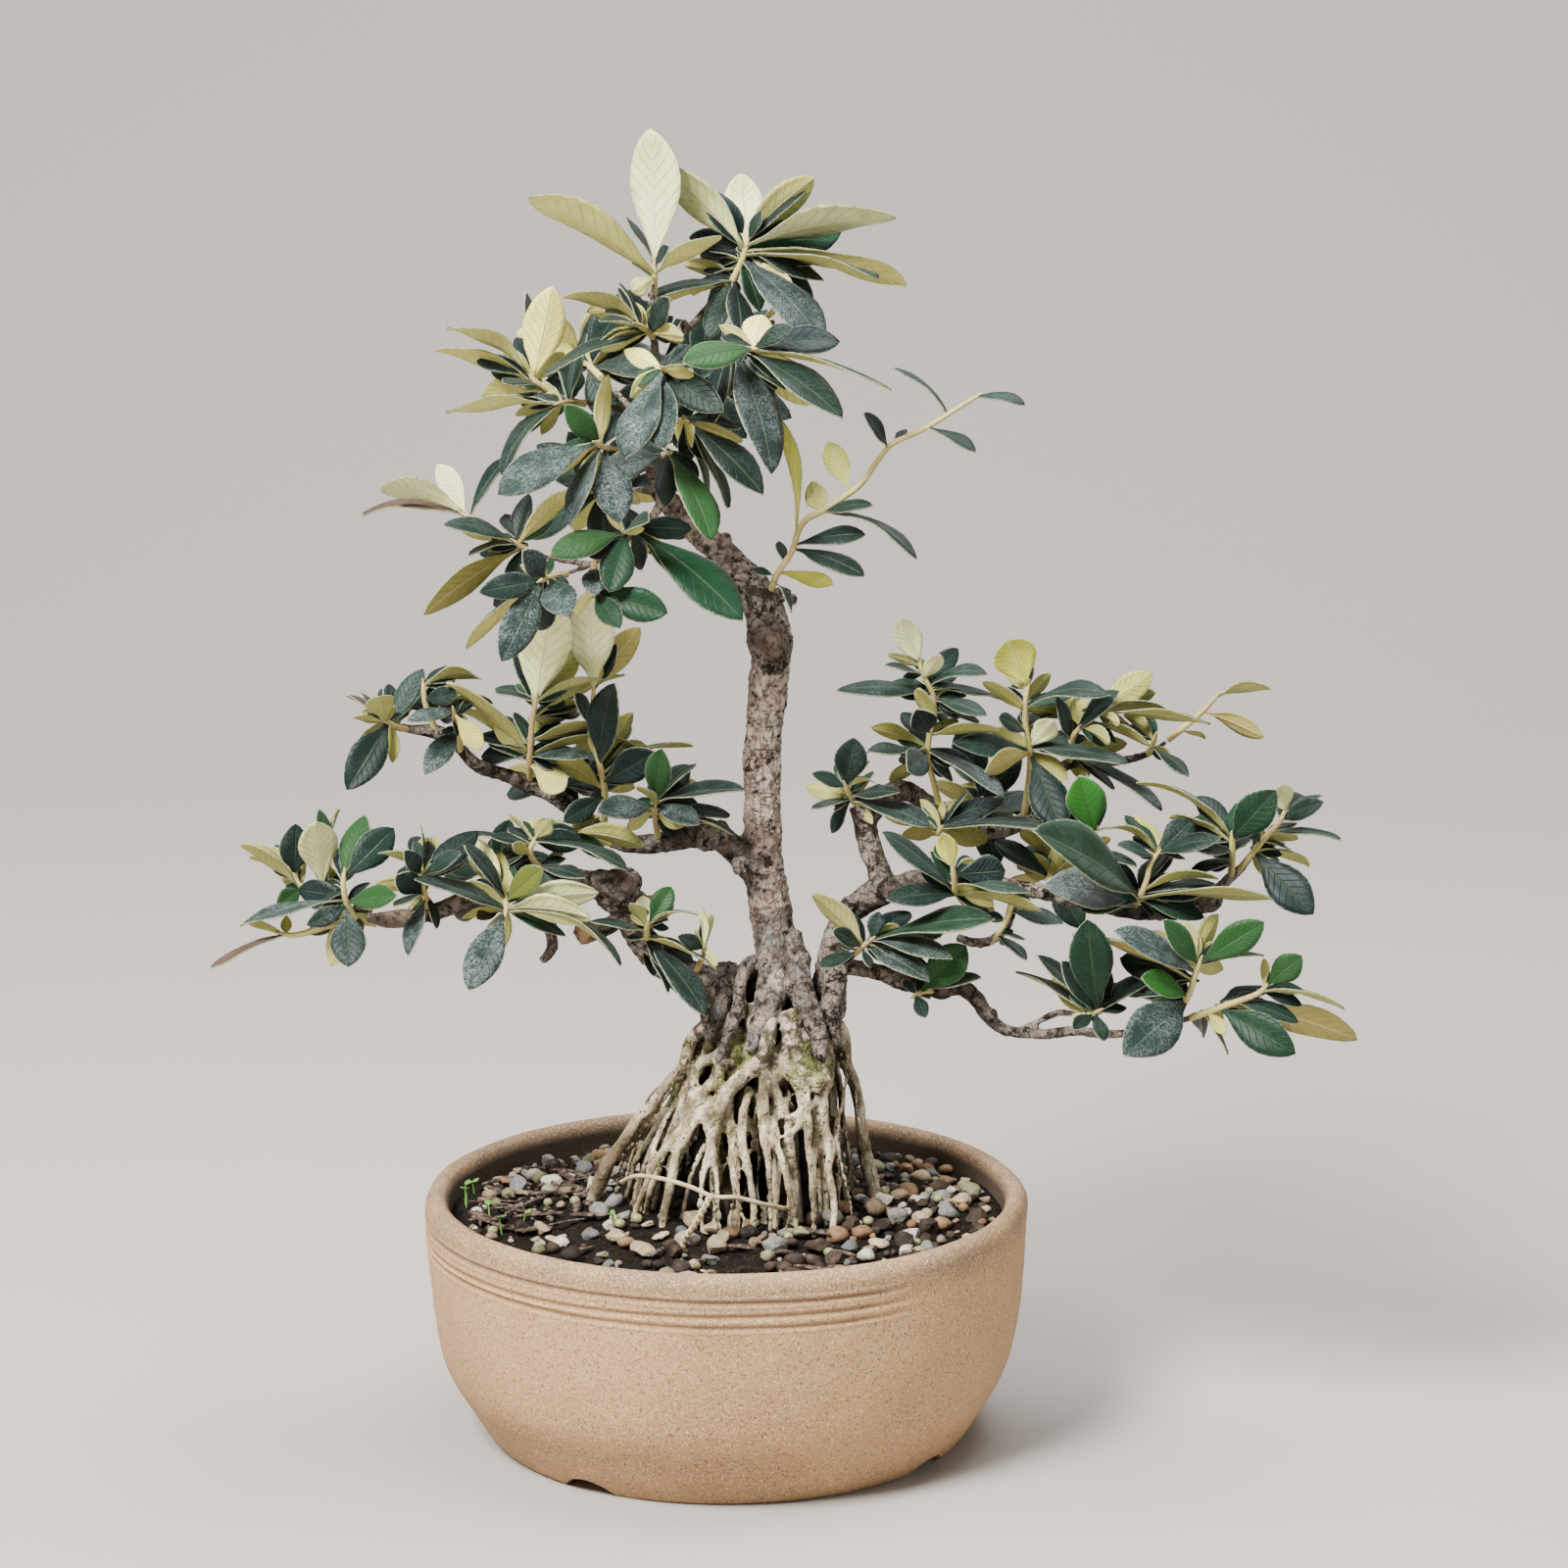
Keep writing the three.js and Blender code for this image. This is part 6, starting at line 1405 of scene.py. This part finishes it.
def make_roots():
    run = WoodRun()
    add_thick_roots(run)
    draw = number_rule(ROOT_SEED)
    add_fine_roots(run, draw)
    for across, down, depth, size in ROOT_KNOBS:
        middle = place((across, down, depth))
        lean = Vector((draw() - 0.5, -0.3, draw() - 0.5)).normalized() * size
        run.add("lump", [middle - lean * 0.4, middle + lean * 0.3, middle + lean * 0.6],
                [size * 0.9, size * 0.8, size * 0.5])
    tree = run.tree()
    add_core(run)
    roots = skin_over("exposed_roots", run.rods, ROOT_VOXEL)

    def relief(point):
        found = tree.find(point)
        size = run.sizes[found[1]]
        share = min(size / 3, 1)
        grain = noise.fractal(Vector((point.x, point.y, point.z * 0.4)) / 3, 0.9, 2.0, 3)
        lumps = noise.noise(point / 5)
        inner = found[2] > 1.5 * size
        return share * (0.35 * grain + 0.3 * lumps) + (1.2 * grain - 0.6 if inner else 0)

    swell(roots, relief)
    points = points_mm(roots)
    # Painted shade with a soil stain: darker far from a root's middle line, on the core and between the
    # roots, and deeper in the cone.
    hollow_shade_and_stain = blank_colors(len(points))
    for index, point in enumerate(points):
        found = tree.find(Vector(point))
        gap = found[2] / max(run.sizes[found[1]], 1.2)
        hollow_shade_and_stain[index, :3] = min(max((gap - 1.25) / 0.7, 0), 1)
    hollow_shade_and_stain[:, :3] = np.maximum(hollow_shade_and_stain[:, :3], depth_shade_and_stain(points)[:, None])
    keep_colors(roots, "hollow_shade_and_stain", hollow_shade_and_stain.ravel())
    paint(roots, "root_bark")
    finish_piece(roots, "bark", "tree_wood")


# The soil: how far from its middle the mound begins to fall, over what run, and the lowest level of its piece
MOUND_TOP = 30
MOUND_RUN = 58
SOIL_FLOOR = 64
SOIL_CLEARANCE = 0.3
SOIL_RINGS = 44
SOIL_SIDES = 132


def soil_height(x, y):
    reach = min(max((math.hypot(x, y) - MOUND_TOP) / MOUND_RUN, 0), 1)
    lift = 0.8 * math.sin(x / 9 + 1.3) * math.cos(y / 8) + 0.5 * math.sin((x + y) / 4.7)
    return SOIL_CROWN + (SOIL_EDGE - SOIL_CROWN) * reach * reach * (3 - 2 * reach) + lift


def spin_outline(name, outline, steps, closed):
    """Turns an outline of [radius, height] round the bowl's axis."""
    mesh = bpy.data.meshes.new(name)
    edges = [(k, k + 1) for k in range(len(outline) - 1)]
    if closed:
        edges.append((len(outline) - 1, 0))
    mesh.from_pydata([(radius * MM, 0, height * MM) for radius, height in outline], edges, [])
    piece = bpy.data.objects.new(name, mesh)
    bpy.context.collection.objects.link(piece)
    choose(piece)
    bpy.ops.object.mode_set(mode="EDIT")
    bpy.ops.mesh.select_all(action="SELECT")
    bpy.ops.mesh.spin(steps=steps, angle=2 * math.pi, center=(0, 0, 0), axis=(0, 0, 1))
    bpy.ops.mesh.select_all(action="SELECT")
    bpy.ops.mesh.remove_doubles(threshold=0.02 * MM)
    bpy.ops.mesh.normals_make_consistent(inside=False)
    bpy.ops.object.mode_set(mode="OBJECT")
    piece.location = POT_AXIS * MM
    settle(piece)
    smooth(piece)
    return piece


def make_ground():
    inside = POT_RADIUS - POT_WALL - SOIL_CLEARANCE
    top = [(inside * (1 - k / SOIL_RINGS), SOIL_EDGE) for k in range(SOIL_RINGS + 1)]
    outline = [(0, SOIL_FLOOR), (inside - 2.2, SOIL_FLOOR)] + top
    ground = spin_outline("soil_ground", outline, SOIL_SIDES, False)
    points = points_mm(ground)
    for point in points:
        if point[2] > 70:
            spot = Vector(point)
            crumb = 1.3 * noise.fractal(spot / 4, 0.8, 2.0, 3) + 0.5 * noise.noise(spot / 1.5)
            edge = min(max((inside - math.hypot(point[0], point[1])) / 3, 0), 1)
            point[2] = soil_height(point[0], point[1]) + edge * crumb - 0.4
    set_points_mm(ground, points)
    paint(ground, "dark_compost")
    finish_piece(ground, "compost", "soil")


STONE_SEED = 200
STONE_BLANKS = 9
STONE_FLATS = 7


def make_stone_blank(seed, rounded):
    """One pebble or flake of grit, shaped from a ball with a few flats cut off it."""
    deselect()
    bpy.ops.mesh.primitive_ico_sphere_add(subdivisions=2, radius=1)
    stone = bpy.context.object
    draw = number_rule(seed)
    points = get_points(stone.data)
    for _ in range(STONE_FLATS):
        normal = Vector((draw() - 0.5, draw() - 0.5, draw() - 0.5)).normalized()
        level = 0.55 + (0.35 if rounded else 0.2) * draw()
        over = points @ np.array(normal) - level
        points -= np.clip(over, 0, None)[:, None] * np.array(normal) * (0.7 if rounded else 0.95)
    for point in points:
        point *= 1 + 0.17 * noise.noise(Vector(point) * 1.7 + Vector((seed, 0, 0)))
    set_points(stone.data, points)
    smooth(stone, rounded)
    return stone


# Stones that are plain in the view: [across, down], size in mm, kind
MARKED_STONES = (
    (706, 1249, 4.2, "cream"), (702, 1277, 4.6, "white"), (824, 1223, 4.6, "white"),
    (892, 1243, 4.2, "cream"), (790, 1281, 4.6, "grey"), (848, 1263, 4.2, "white"),
    (655, 1281, 4.8, "cream"), (968, 1243, 3.6, "grey"), (482, 1200, 3.4, "grey"),
    (553, 1258, 3.4, "cream"), (573, 1270, 3.0, "white"), (500, 1222, 3.0, "cream"),
    (562, 1162, 3.8, "mossy"), (588, 1180, 3.2, "mossy"), (534, 1172, 3.2, "cream"),
    (861, 1238, 3.6, "orange"), (880, 1261, 3.4, "orange"), (925, 1196, 3.2, "orange"),
    (941, 1172, 4.6, "cream"), (908, 1150, 3.4, "grey"), (975, 1196, 5.0, "flake"),
    (960, 1226, 3.6, "grey"), (930, 1264, 3.6, "white"), (745, 1262, 3.2, "orange"),
    (818, 1266, 3.6, "mossy"), (766, 1252, 3.0, "orange"), (638, 1281, 3.0, "orange"),
    (602, 1271, 3.2, "grey"), (945, 1196, 3.2, "orange"), (918, 1222, 3.2, "cream"),
    (545, 1202, 3.4, "white"), (516, 1210, 3.0, "orange"), (893, 1193, 3.4, "mossy"),
    (906, 1172, 3.0, "orange"), (868, 1278, 3.2, "grey"), (726, 1280, 3.6, "cream"),
)
STONE_COLORS = {
    "cream": ((0.16, 0.115, 0.068), (0.46, 0.36, 0.23)),
    "white": ((0.28, 0.25, 0.21), (0.60, 0.56, 0.48)),
    "orange": ((0.15, 0.078, 0.040), (0.34, 0.21, 0.11)),
    "grey": ((0.08, 0.088, 0.088), (0.24, 0.245, 0.235)),
    "mossy": ((0.10, 0.11, 0.050), (0.30, 0.28, 0.17)),
    "brown": ((0.010, 0.006, 0.004), (0.052, 0.032, 0.021)),
    "flake": ((0.34, 0.25, 0.17), (0.52, 0.42, 0.31)),
}
STONE_RUN = ("cream", "white", "orange", "grey", "brown", "mossy", "cream", "brown", "grey", "brown", "brown",
             "white", "brown", "flake")
STONE_COUNT = 560
MOST_TRIES = 24000
SCATTER_SEED = 91


def stone_spot(across, down):
    """Where the line of sight through a place of the view meets the soil."""
    depth = 0.0
    for _ in range(12):
        point = place((across, down, depth))
        reach = soil_height(point.x, point.y)
        depth -= (reach - point.z) * 4.2
        depth = max(-86, min(86, depth))
    return place((across, down, depth))


def in_roots(x, y):
    """Whether the root cone covers a place of the soil."""
    halves = [0.9 * half * 0.312 for half in cone_at(1215)]
    half = halves[0] if x < 13 else halves[1]
    return ((x - 13) / half) ** 2 + (y / (0.5 * sum(halves) * CONE_DEPTH)) ** 2 < 1


def round_spot(angle, reach):
    return reach * math.cos(angle), reach * math.sin(angle)


def scatter_stones(draw):
    """The plain stones of the view, and others between them: [x, y, size, kind]."""
    inside = POT_RADIUS - POT_WALL - 1.2
    spots = []
    for across, down, size, kind in MARKED_STONES:
        point = stone_spot(across, down)
        if math.hypot(point.x, point.y) < inside - size:
            spots.append((point.x, point.y, size, kind))
    tries = 0
    while len(spots) < STONE_COUNT and tries < MOST_TRIES:
        tries += 1
        size = 1.0 + 3.3 * draw() ** 1.4
        x, y = round_spot(2 * math.pi * draw(), (inside - size) * math.sqrt(draw()))
        if in_roots(x, y):
            continue
        on_bark_bed = x < -45 and -30 < y < 40
        if on_bark_bed and draw() < 0.6:
            continue
        front_left = x < 6 and y < -15
        if front_left and draw() < 0.6:
            continue
        if any((x - a) ** 2 + (y - b) ** 2 < (0.72 * (size + c)) ** 2 for a, b, c, _ in spots):
            continue
        kind = STONE_RUN[int(draw() * len(STONE_RUN))]
        if x > 35 and draw() < 0.1:
            kind = "orange"
        spots.append((x, y, size, kind))
    return spots


def make_stone(blank, spot, draw):
    x, y, size, kind = spot
    stone = copy_of(blank)
    turn = Euler((0.5 * (draw() - 0.5), 0.5 * (draw() - 0.5), 6.3 * draw())).to_matrix()
    flat = 0.35 if kind == "flake" else 0.6 + 0.25 * draw()
    stretch = np.array((1.1, 0.75 + 0.3 * draw(), flat)) * size
    level = soil_height(x, y) + flat * size * (0.35 + 0.4 * draw())
    points = (get_points(stone.data) * stretch) @ np.array(turn).T
    set_points_mm(stone, points + np.array((x, y, level)))
    dark, light = STONE_COLORS[kind]
    share = draw()
    color = [a + share * (b - a) for a, b in zip(dark, light)]
    keep_colors(stone, "stone_tone", [*color, 1] * len(stone.data.vertices))
    paint(stone, "grit")
    return stone


def make_stones():
    blanks = [make_stone_blank(STONE_SEED + k, k % 2 > 0) for k in range(STONE_BLANKS)]
    draw = number_rule(SCATTER_SEED)
    groups = {}
    for index, spot in enumerate(scatter_stones(draw)):
        groups.setdefault(spot[3], []).append(make_stone(blanks[index % len(blanks)], spot, draw))
    for blank in blanks:
        bpy.data.objects.remove(blank, do_unlink=True)
    for kind, stones in groups.items():
        finish_piece(join_pieces("grit_" + kind, stones), "compost", "soil")


FULL_TURN = 6.283
CRUMB_SEED = 47
CHIPS = 130
BED_CHIPS = 70
GRAINS = 24


def make_chips(draw):
    """Bark chips and twigs among the grit, the first ones in the bed at the left."""
    chips = []
    for index in range(CHIPS):
        if index < BED_CHIPS:
            x, y = -45 - 38 * draw(), -28 + 66 * draw()
        else:
            x, y = round_spot(FULL_TURN * draw(), 84 * math.sqrt(draw()))
        if math.hypot(x, y) > 86 or in_roots(x, y):
            continue
        length = 4 + 14 * draw() ** 1.7
        angle = FULL_TURN * draw()
        run = Vector((math.cos(angle), math.sin(angle), 0.25 * (draw() - 0.4))) * length / 2
        middle = Vector((x, y, soil_height(x, y) + 1.2 + 0.9 * draw()))
        if max(math.hypot(*(middle + run).xy), math.hypot(*(middle - run).xy)) > 89:
            continue
        thick = 0.6 + 1.3 * draw()
        path = [middle - run, middle - run * 0.3 + Vector((0, 0, 0.4)), middle + run * 0.4, middle + run]
        chip = rod("chip", path, [thick * 0.6, thick, thick * 0.9, thick * 0.4], sides=0)
        points = points_mm(chip)
        points[:, 2] = middle.z + (points[:, 2] - middle.z) * 0.55
        set_points_mm(chip, points)
        paint(chip, "chip")
        chips.append(chip)
    finish_piece(join_pieces("bark_chips", chips), "compost", "soil")


def make_grains(draw):
    """Translucent grains of fertiliser."""
    grains = []
    for _ in range(GRAINS):
        x, y = round_spot(FULL_TURN * draw(), 40 + 46 * draw())
        if in_roots(x, y):
            continue
        size = 1.5 + 0.5 * draw()
        middle = Vector((x, y, soil_height(x, y) + 1.6))
        deselect()
        bpy.ops.mesh.primitive_ico_sphere_add(subdivisions=2, radius=size * MM,
                                              location=(middle + POT_AXIS) * MM, scale=(1, 1, 0.85))
        grain = bpy.context.object
        settle(grain)
        smooth(grain)
        paint(grain, "grain")
        grains.append(grain)
    finish_piece(join_pieces("feed_grains", grains), "compost", "soil")


def make_crumbs():
    draw = number_rule(CRUMB_SEED)
    make_chips(draw)
    make_grains(draw)


SEEDLINGS = ((470, 1208), (462, 1222), (486, 1236), (498, 1250), (520, 1246), (448, 1218), (612, 1262))
SEEDLING_SEED = 12
SEEDLING_REACH = 88


def make_seedlings():
    """The small seedlings at the left edge of the soil."""
    draw = number_rule(SEEDLING_SEED)
    parts = []
    for across, down in SEEDLINGS:
        foot = stone_spot(across + 14, down + 10)
        reach = math.hypot(foot.x, foot.y)
        if reach > SEEDLING_REACH:
            foot *= SEEDLING_REACH / reach
        foot.z = soil_height(foot.x, foot.y)
        top = foot + Vector((2 * (draw() - 0.5), 2 * (draw() - 0.5), 4 + 4 * draw()))
        parts.append(rod("stem", [foot, (foot + top) / 2, top], [0.3, 0.28, 0.25], sides=0))
        for side in (0, 1):
            turn = FULL_TURN * draw() + math.pi * side
            out = Vector((math.cos(turn), math.sin(turn), 0.35))
            deselect()
            bpy.ops.mesh.primitive_uv_sphere_add(
                segments=10, ring_count=6, radius=1, location=(top + out * 1.3 + POT_AXIS) * MM,
                rotation=(0, -0.35, turn), scale=(1.5 * MM, 0.9 * MM, 0.22 * MM))
            leaf = bpy.context.object
            settle(leaf)
            smooth(leaf)
            parts.append(leaf)
    for part in parts:
        paint(part, "seedling")
    finish_piece(join_pieces("seedlings", parts), "foliage")


# The wall's outline: [share of the height, how far it stands out from the foot]
WALL_ROWS = ((0, 0), (0.06, 4), (0.15, 8.7), (0.3, 15.6), (0.5, 19.3), (0.75, 21.3), (0.94, 22))
RIM_SHARE = 0.94
POT_SIDES = 200
SMOOTH_ANGLE = 45


def bowl_outline():
    """The bowl's closed outline of [radius, height], with closer rows where the lines are."""
    inside = POT_RADIUS - POT_WALL
    corners = [Vector((FOOT_RADIUS + out, share * POT_HEIGHT, 0)) for share, out in WALL_ROWS]
    path, _ = smooth_route(corners, [1] * len(corners), 2.2)
    heights = np.array([point.y for point in path])
    radii = np.array([point.x for point in path])
    shoulder = RIM_SHARE * POT_HEIGHT
    rows = [*np.arange(1.0, 62, 2.2), *np.arange(63, shoulder, 0.45)]
    outside = [(FOOT_RADIUS - 0.5, 0.0)]
    outside += [(float(np.interp(row, heights, radii)), float(row)) for row in rows]
    middle, half = (POT_RADIUS + inside) / 2, POT_WALL / 2
    rim = [(middle + half * math.cos(turn), shoulder + 0.06 * POT_HEIGHT * math.sin(turn))
           for turn in np.linspace(0.12, math.pi - 0.12, 15)]
    within = [(inside, shoulder), (inside - 0.2, 74), (inside - 0.5, 0.72 * POT_HEIGHT),
              (inside - 5, 0.34 * POT_HEIGHT), (inside - 20, 13), (DRAIN_RADIUS, 12.5),
              (DRAIN_RADIUS, FOOT_HEIGHT + 0.5), (FOOT_RADIUS - 14, FOOT_HEIGHT + 0.5),
              (FOOT_RADIUS - 11.6, 4.2), (FOOT_RADIUS - 11, 0.6), (FOOT_RADIUS - 10.2, 0),
              (FOOT_RADIUS - 5, 0)]
    return outside + rim + within


def cut_notches(bowl):
    """The arched notches in the foot ring."""
    rise = (NOTCH_WIDTH ** 2 / 4 + FOOT_HEIGHT ** 2) / (2 * FOOT_HEIGHT)
    for angle in NOTCH_ANGLES:
        turn = math.radians(angle)
        out = Vector((math.sin(turn), -math.cos(turn), 0))
        middle = out * (FOOT_RADIUS - 6) + Vector((0, 0, FOOT_HEIGHT - rise))
        deselect()
        bpy.ops.mesh.primitive_cylinder_add(
            vertices=96, radius=rise * MM, depth=40 * MM, location=(middle + POT_AXIS) * MM,
            rotation=(math.pi / 2, 0, turn))
        cutter = bpy.context.object
        settle(cutter)
        add_modifier(bowl, "BOOLEAN", operation="DIFFERENCE", object=cutter, solver="EXACT")
        bpy.data.objects.remove(cutter, do_unlink=True)


def groove_strength(turn):
    """How clear the incised lines are round the bowl; they are scraped away at the right."""
    gap = abs((math.degrees(turn) - 68 + 180) % 360 - 180)
    return min(max((gap - 30) / 12, 0), 1)


def groove_cut(turn, height):
    """How deep the lines cut at a height, with the ridge they throw up beside them."""
    cut = 0
    for level, deep in GROOVES:
        line = POT_HEIGHT - level + 0.35 * math.sin(turn * 2 + level)
        width = (height - line) / 0.75
        cut += deep * math.exp(-width * width) - 0.22 * math.exp(-((abs(width) - 1.9) ** 2) * 2)
    return cut


def work_surface(bowl):
    """The uneven clay, its lines and its scraped side, with how dark the clay is in them and the inner wall's
    stain and painted shade.
    """
    points = points_mm(bowl)
    groove = blank_colors(len(points))
    for index, point in enumerate(points):
        reach = math.hypot(point[0], point[1])
        if reach < 60 or point[2] < 0.3:
            continue
        # The inner wall near the top is marked for its stain and painted shade.
        if reach < POT_RADIUS - 0.8 * POT_WALL and point[2] > 60:
            groove[index, 2] = 0.94 * min(1, (POT_HEIGHT - point[2]) / 5)
        turn = math.atan2(point[0], -point[1])
        spot = Vector(point)
        move = 0.45 * noise.noise(spot / 26) + 0.16 * noise.fractal(spot / 5, 0.8, 2.0, 2)
        if reach > POT_RADIUS - 4 and point[2] > 58:
            clear = groove_strength(turn)
            cut = groove_cut(turn, point[2])
            move -= clear * cut
            scraped = (1 - clear) * max(0, 1 - abs(point[2] - 70) / 9)
            move -= scraped * (0.25 + 0.35 * noise.noise(Vector((spot.x / 14, spot.y / 14, spot.z / 1.6))))
            groove[index, 0] = 0.55 * max(0, min(1, clear * cut / 0.5))
        points[index] = point + np.array((point[0], point[1], 0)) / reach * move
    set_points_mm(bowl, points)
    keep_colors(bowl, "groove", groove.ravel())


def make_bowl():
    bowl = spin_outline("bowl", bowl_outline(), POT_SIDES, True)
    cut_notches(bowl)
    work_surface(bowl)
    paint(bowl, "rough_clay")
    choose(bowl)
    bpy.ops.object.shade_smooth_by_angle(angle=math.radians(SMOOTH_ANGLE))
    finish_piece(bowl, "stoneware", "pot")


WIRE_SIZE = 0.75
STRAND_SIZE = 0.6
TWIST_REACH = 0.78
TWIST_STEP = 0.75


def make_wire():
    line = [place(spot) for spot in WIRE_LINE]
    parts = [rod("tie", *smooth_route(line, [WIRE_SIZE] * len(line), 1.2))]
    tail = [place(spot) for spot in WIRE_TAIL]
    path, _ = smooth_route(tail, [1] * len(tail), 0.5)
    for strand in (0, 1):
        turned = []
        for index, point in enumerate(path):
            turn = TWIST_STEP * index + math.pi * strand
            share = min(1, index / 4)
            turned.append(point + share * TWIST_REACH * Vector((math.cos(turn), math.sin(turn), 0)))
        parts.append(rod("tail", turned, [STRAND_SIZE] * len(turned)))
    for part in parts:
        paint(part, "tie_wire_finish")
        smooth(part)
    finish_piece(join_pieces("tie", parts), "wire", "tie_wire")


FLOOR_SIZE = 8
SWEEP_START = 1.0
SWEEP_RADIUS = 1.2
FLOOR_COLOR = (0.36, 0.337, 0.312)
LIGHT_AIM = Vector((0, 0, 0.22))
# Name, place, size, power, colour
LIGHTS = (
    ("window", (-0.9, -1.1, 1.7), 0.8, 165, (1.0, 0.965, 0.91)),
    ("sky", (0.4, 0.2, 2.2), 1.4, 84, (0.985, 0.985, 1.0)),
    ("fill", (1.5, -1.3, 0.7), 1.2, 12, (0.98, 0.985, 1.0)),
)
SKY_COLOR = (0.62, 0.60, 0.60, 1)
SKY_STRENGTH = 0.40


def make_floor():
    """A floor that bends up into the backdrop."""
    deselect()
    bpy.ops.mesh.primitive_grid_add(x_subdivisions=8, y_subdivisions=64, size=FLOOR_SIZE)
    floor = bpy.context.object
    floor.name = "floor"
    for vertex in floor.data.vertices:
        far = vertex.co.y - SWEEP_START
        if far > 0:
            turn = min(far / SWEEP_RADIUS, math.pi / 2)
            rise = max(far - SWEEP_RADIUS * math.pi / 2, 0)
            vertex.co.y = SWEEP_START + SWEEP_RADIUS * math.sin(turn)
            vertex.co.z = SWEEP_RADIUS * (1 - math.cos(turn)) + rise
    smooth(floor)
    Shade("floor_paint", 0.9, 0.1).color(FLOOR_COLOR)
    paint(floor, "floor_paint")


def make_lights():
    for name, spot, size, power, color in LIGHTS:
        data = bpy.data.lights.new(name, "AREA")
        data.shape = "DISK"
        data.size = size
        data.energy = power
        data.color = color
        lamp = bpy.data.objects.new(name, data)
        lamp.location = spot
        lamp.rotation_euler = (LIGHT_AIM - Vector(spot)).to_track_quat("-Z", "Y").to_euler()
        bpy.context.collection.objects.link(lamp)
    world = bpy.data.worlds.new("studio")
    world.use_nodes = True
    sky = world.node_tree.nodes["Background"]
    sky.inputs["Color"].default_value = SKY_COLOR
    sky.inputs["Strength"].default_value = SKY_STRENGTH
    bpy.context.scene.world = world


SENSOR_WIDTH = 36


def make_camera():
    data = bpy.data.cameras.new("photo_view")
    data.sensor_fit = "HORIZONTAL"
    data.sensor_width = SENSOR_WIDTH
    data.lens = SENSOR_WIDTH * VIEW_FOCAL / (2 * VIEW_CENTRE)
    data.clip_start = 0.1
    data.clip_end = 50
    camera = bpy.data.objects.new("photo_view", data)
    camera.location = (VIEW_EYE + POT_AXIS) * MM
    camera.rotation_euler = (math.pi / 2 - VIEW_PITCH, 0, 0)
    bpy.context.collection.objects.link(camera)
    bpy.context.scene.camera = camera


make_camera()
make_floor()
make_lights()
make_leaf_materials()
make_trunk_bark()
make_root_bark()
make_rough_clay()
make_soil_materials()
make_bowl()
make_ground()
make_stones()
make_crumbs()
make_seedlings()
make_wire()
make_bark_wood()
make_roots()
make_sprays()
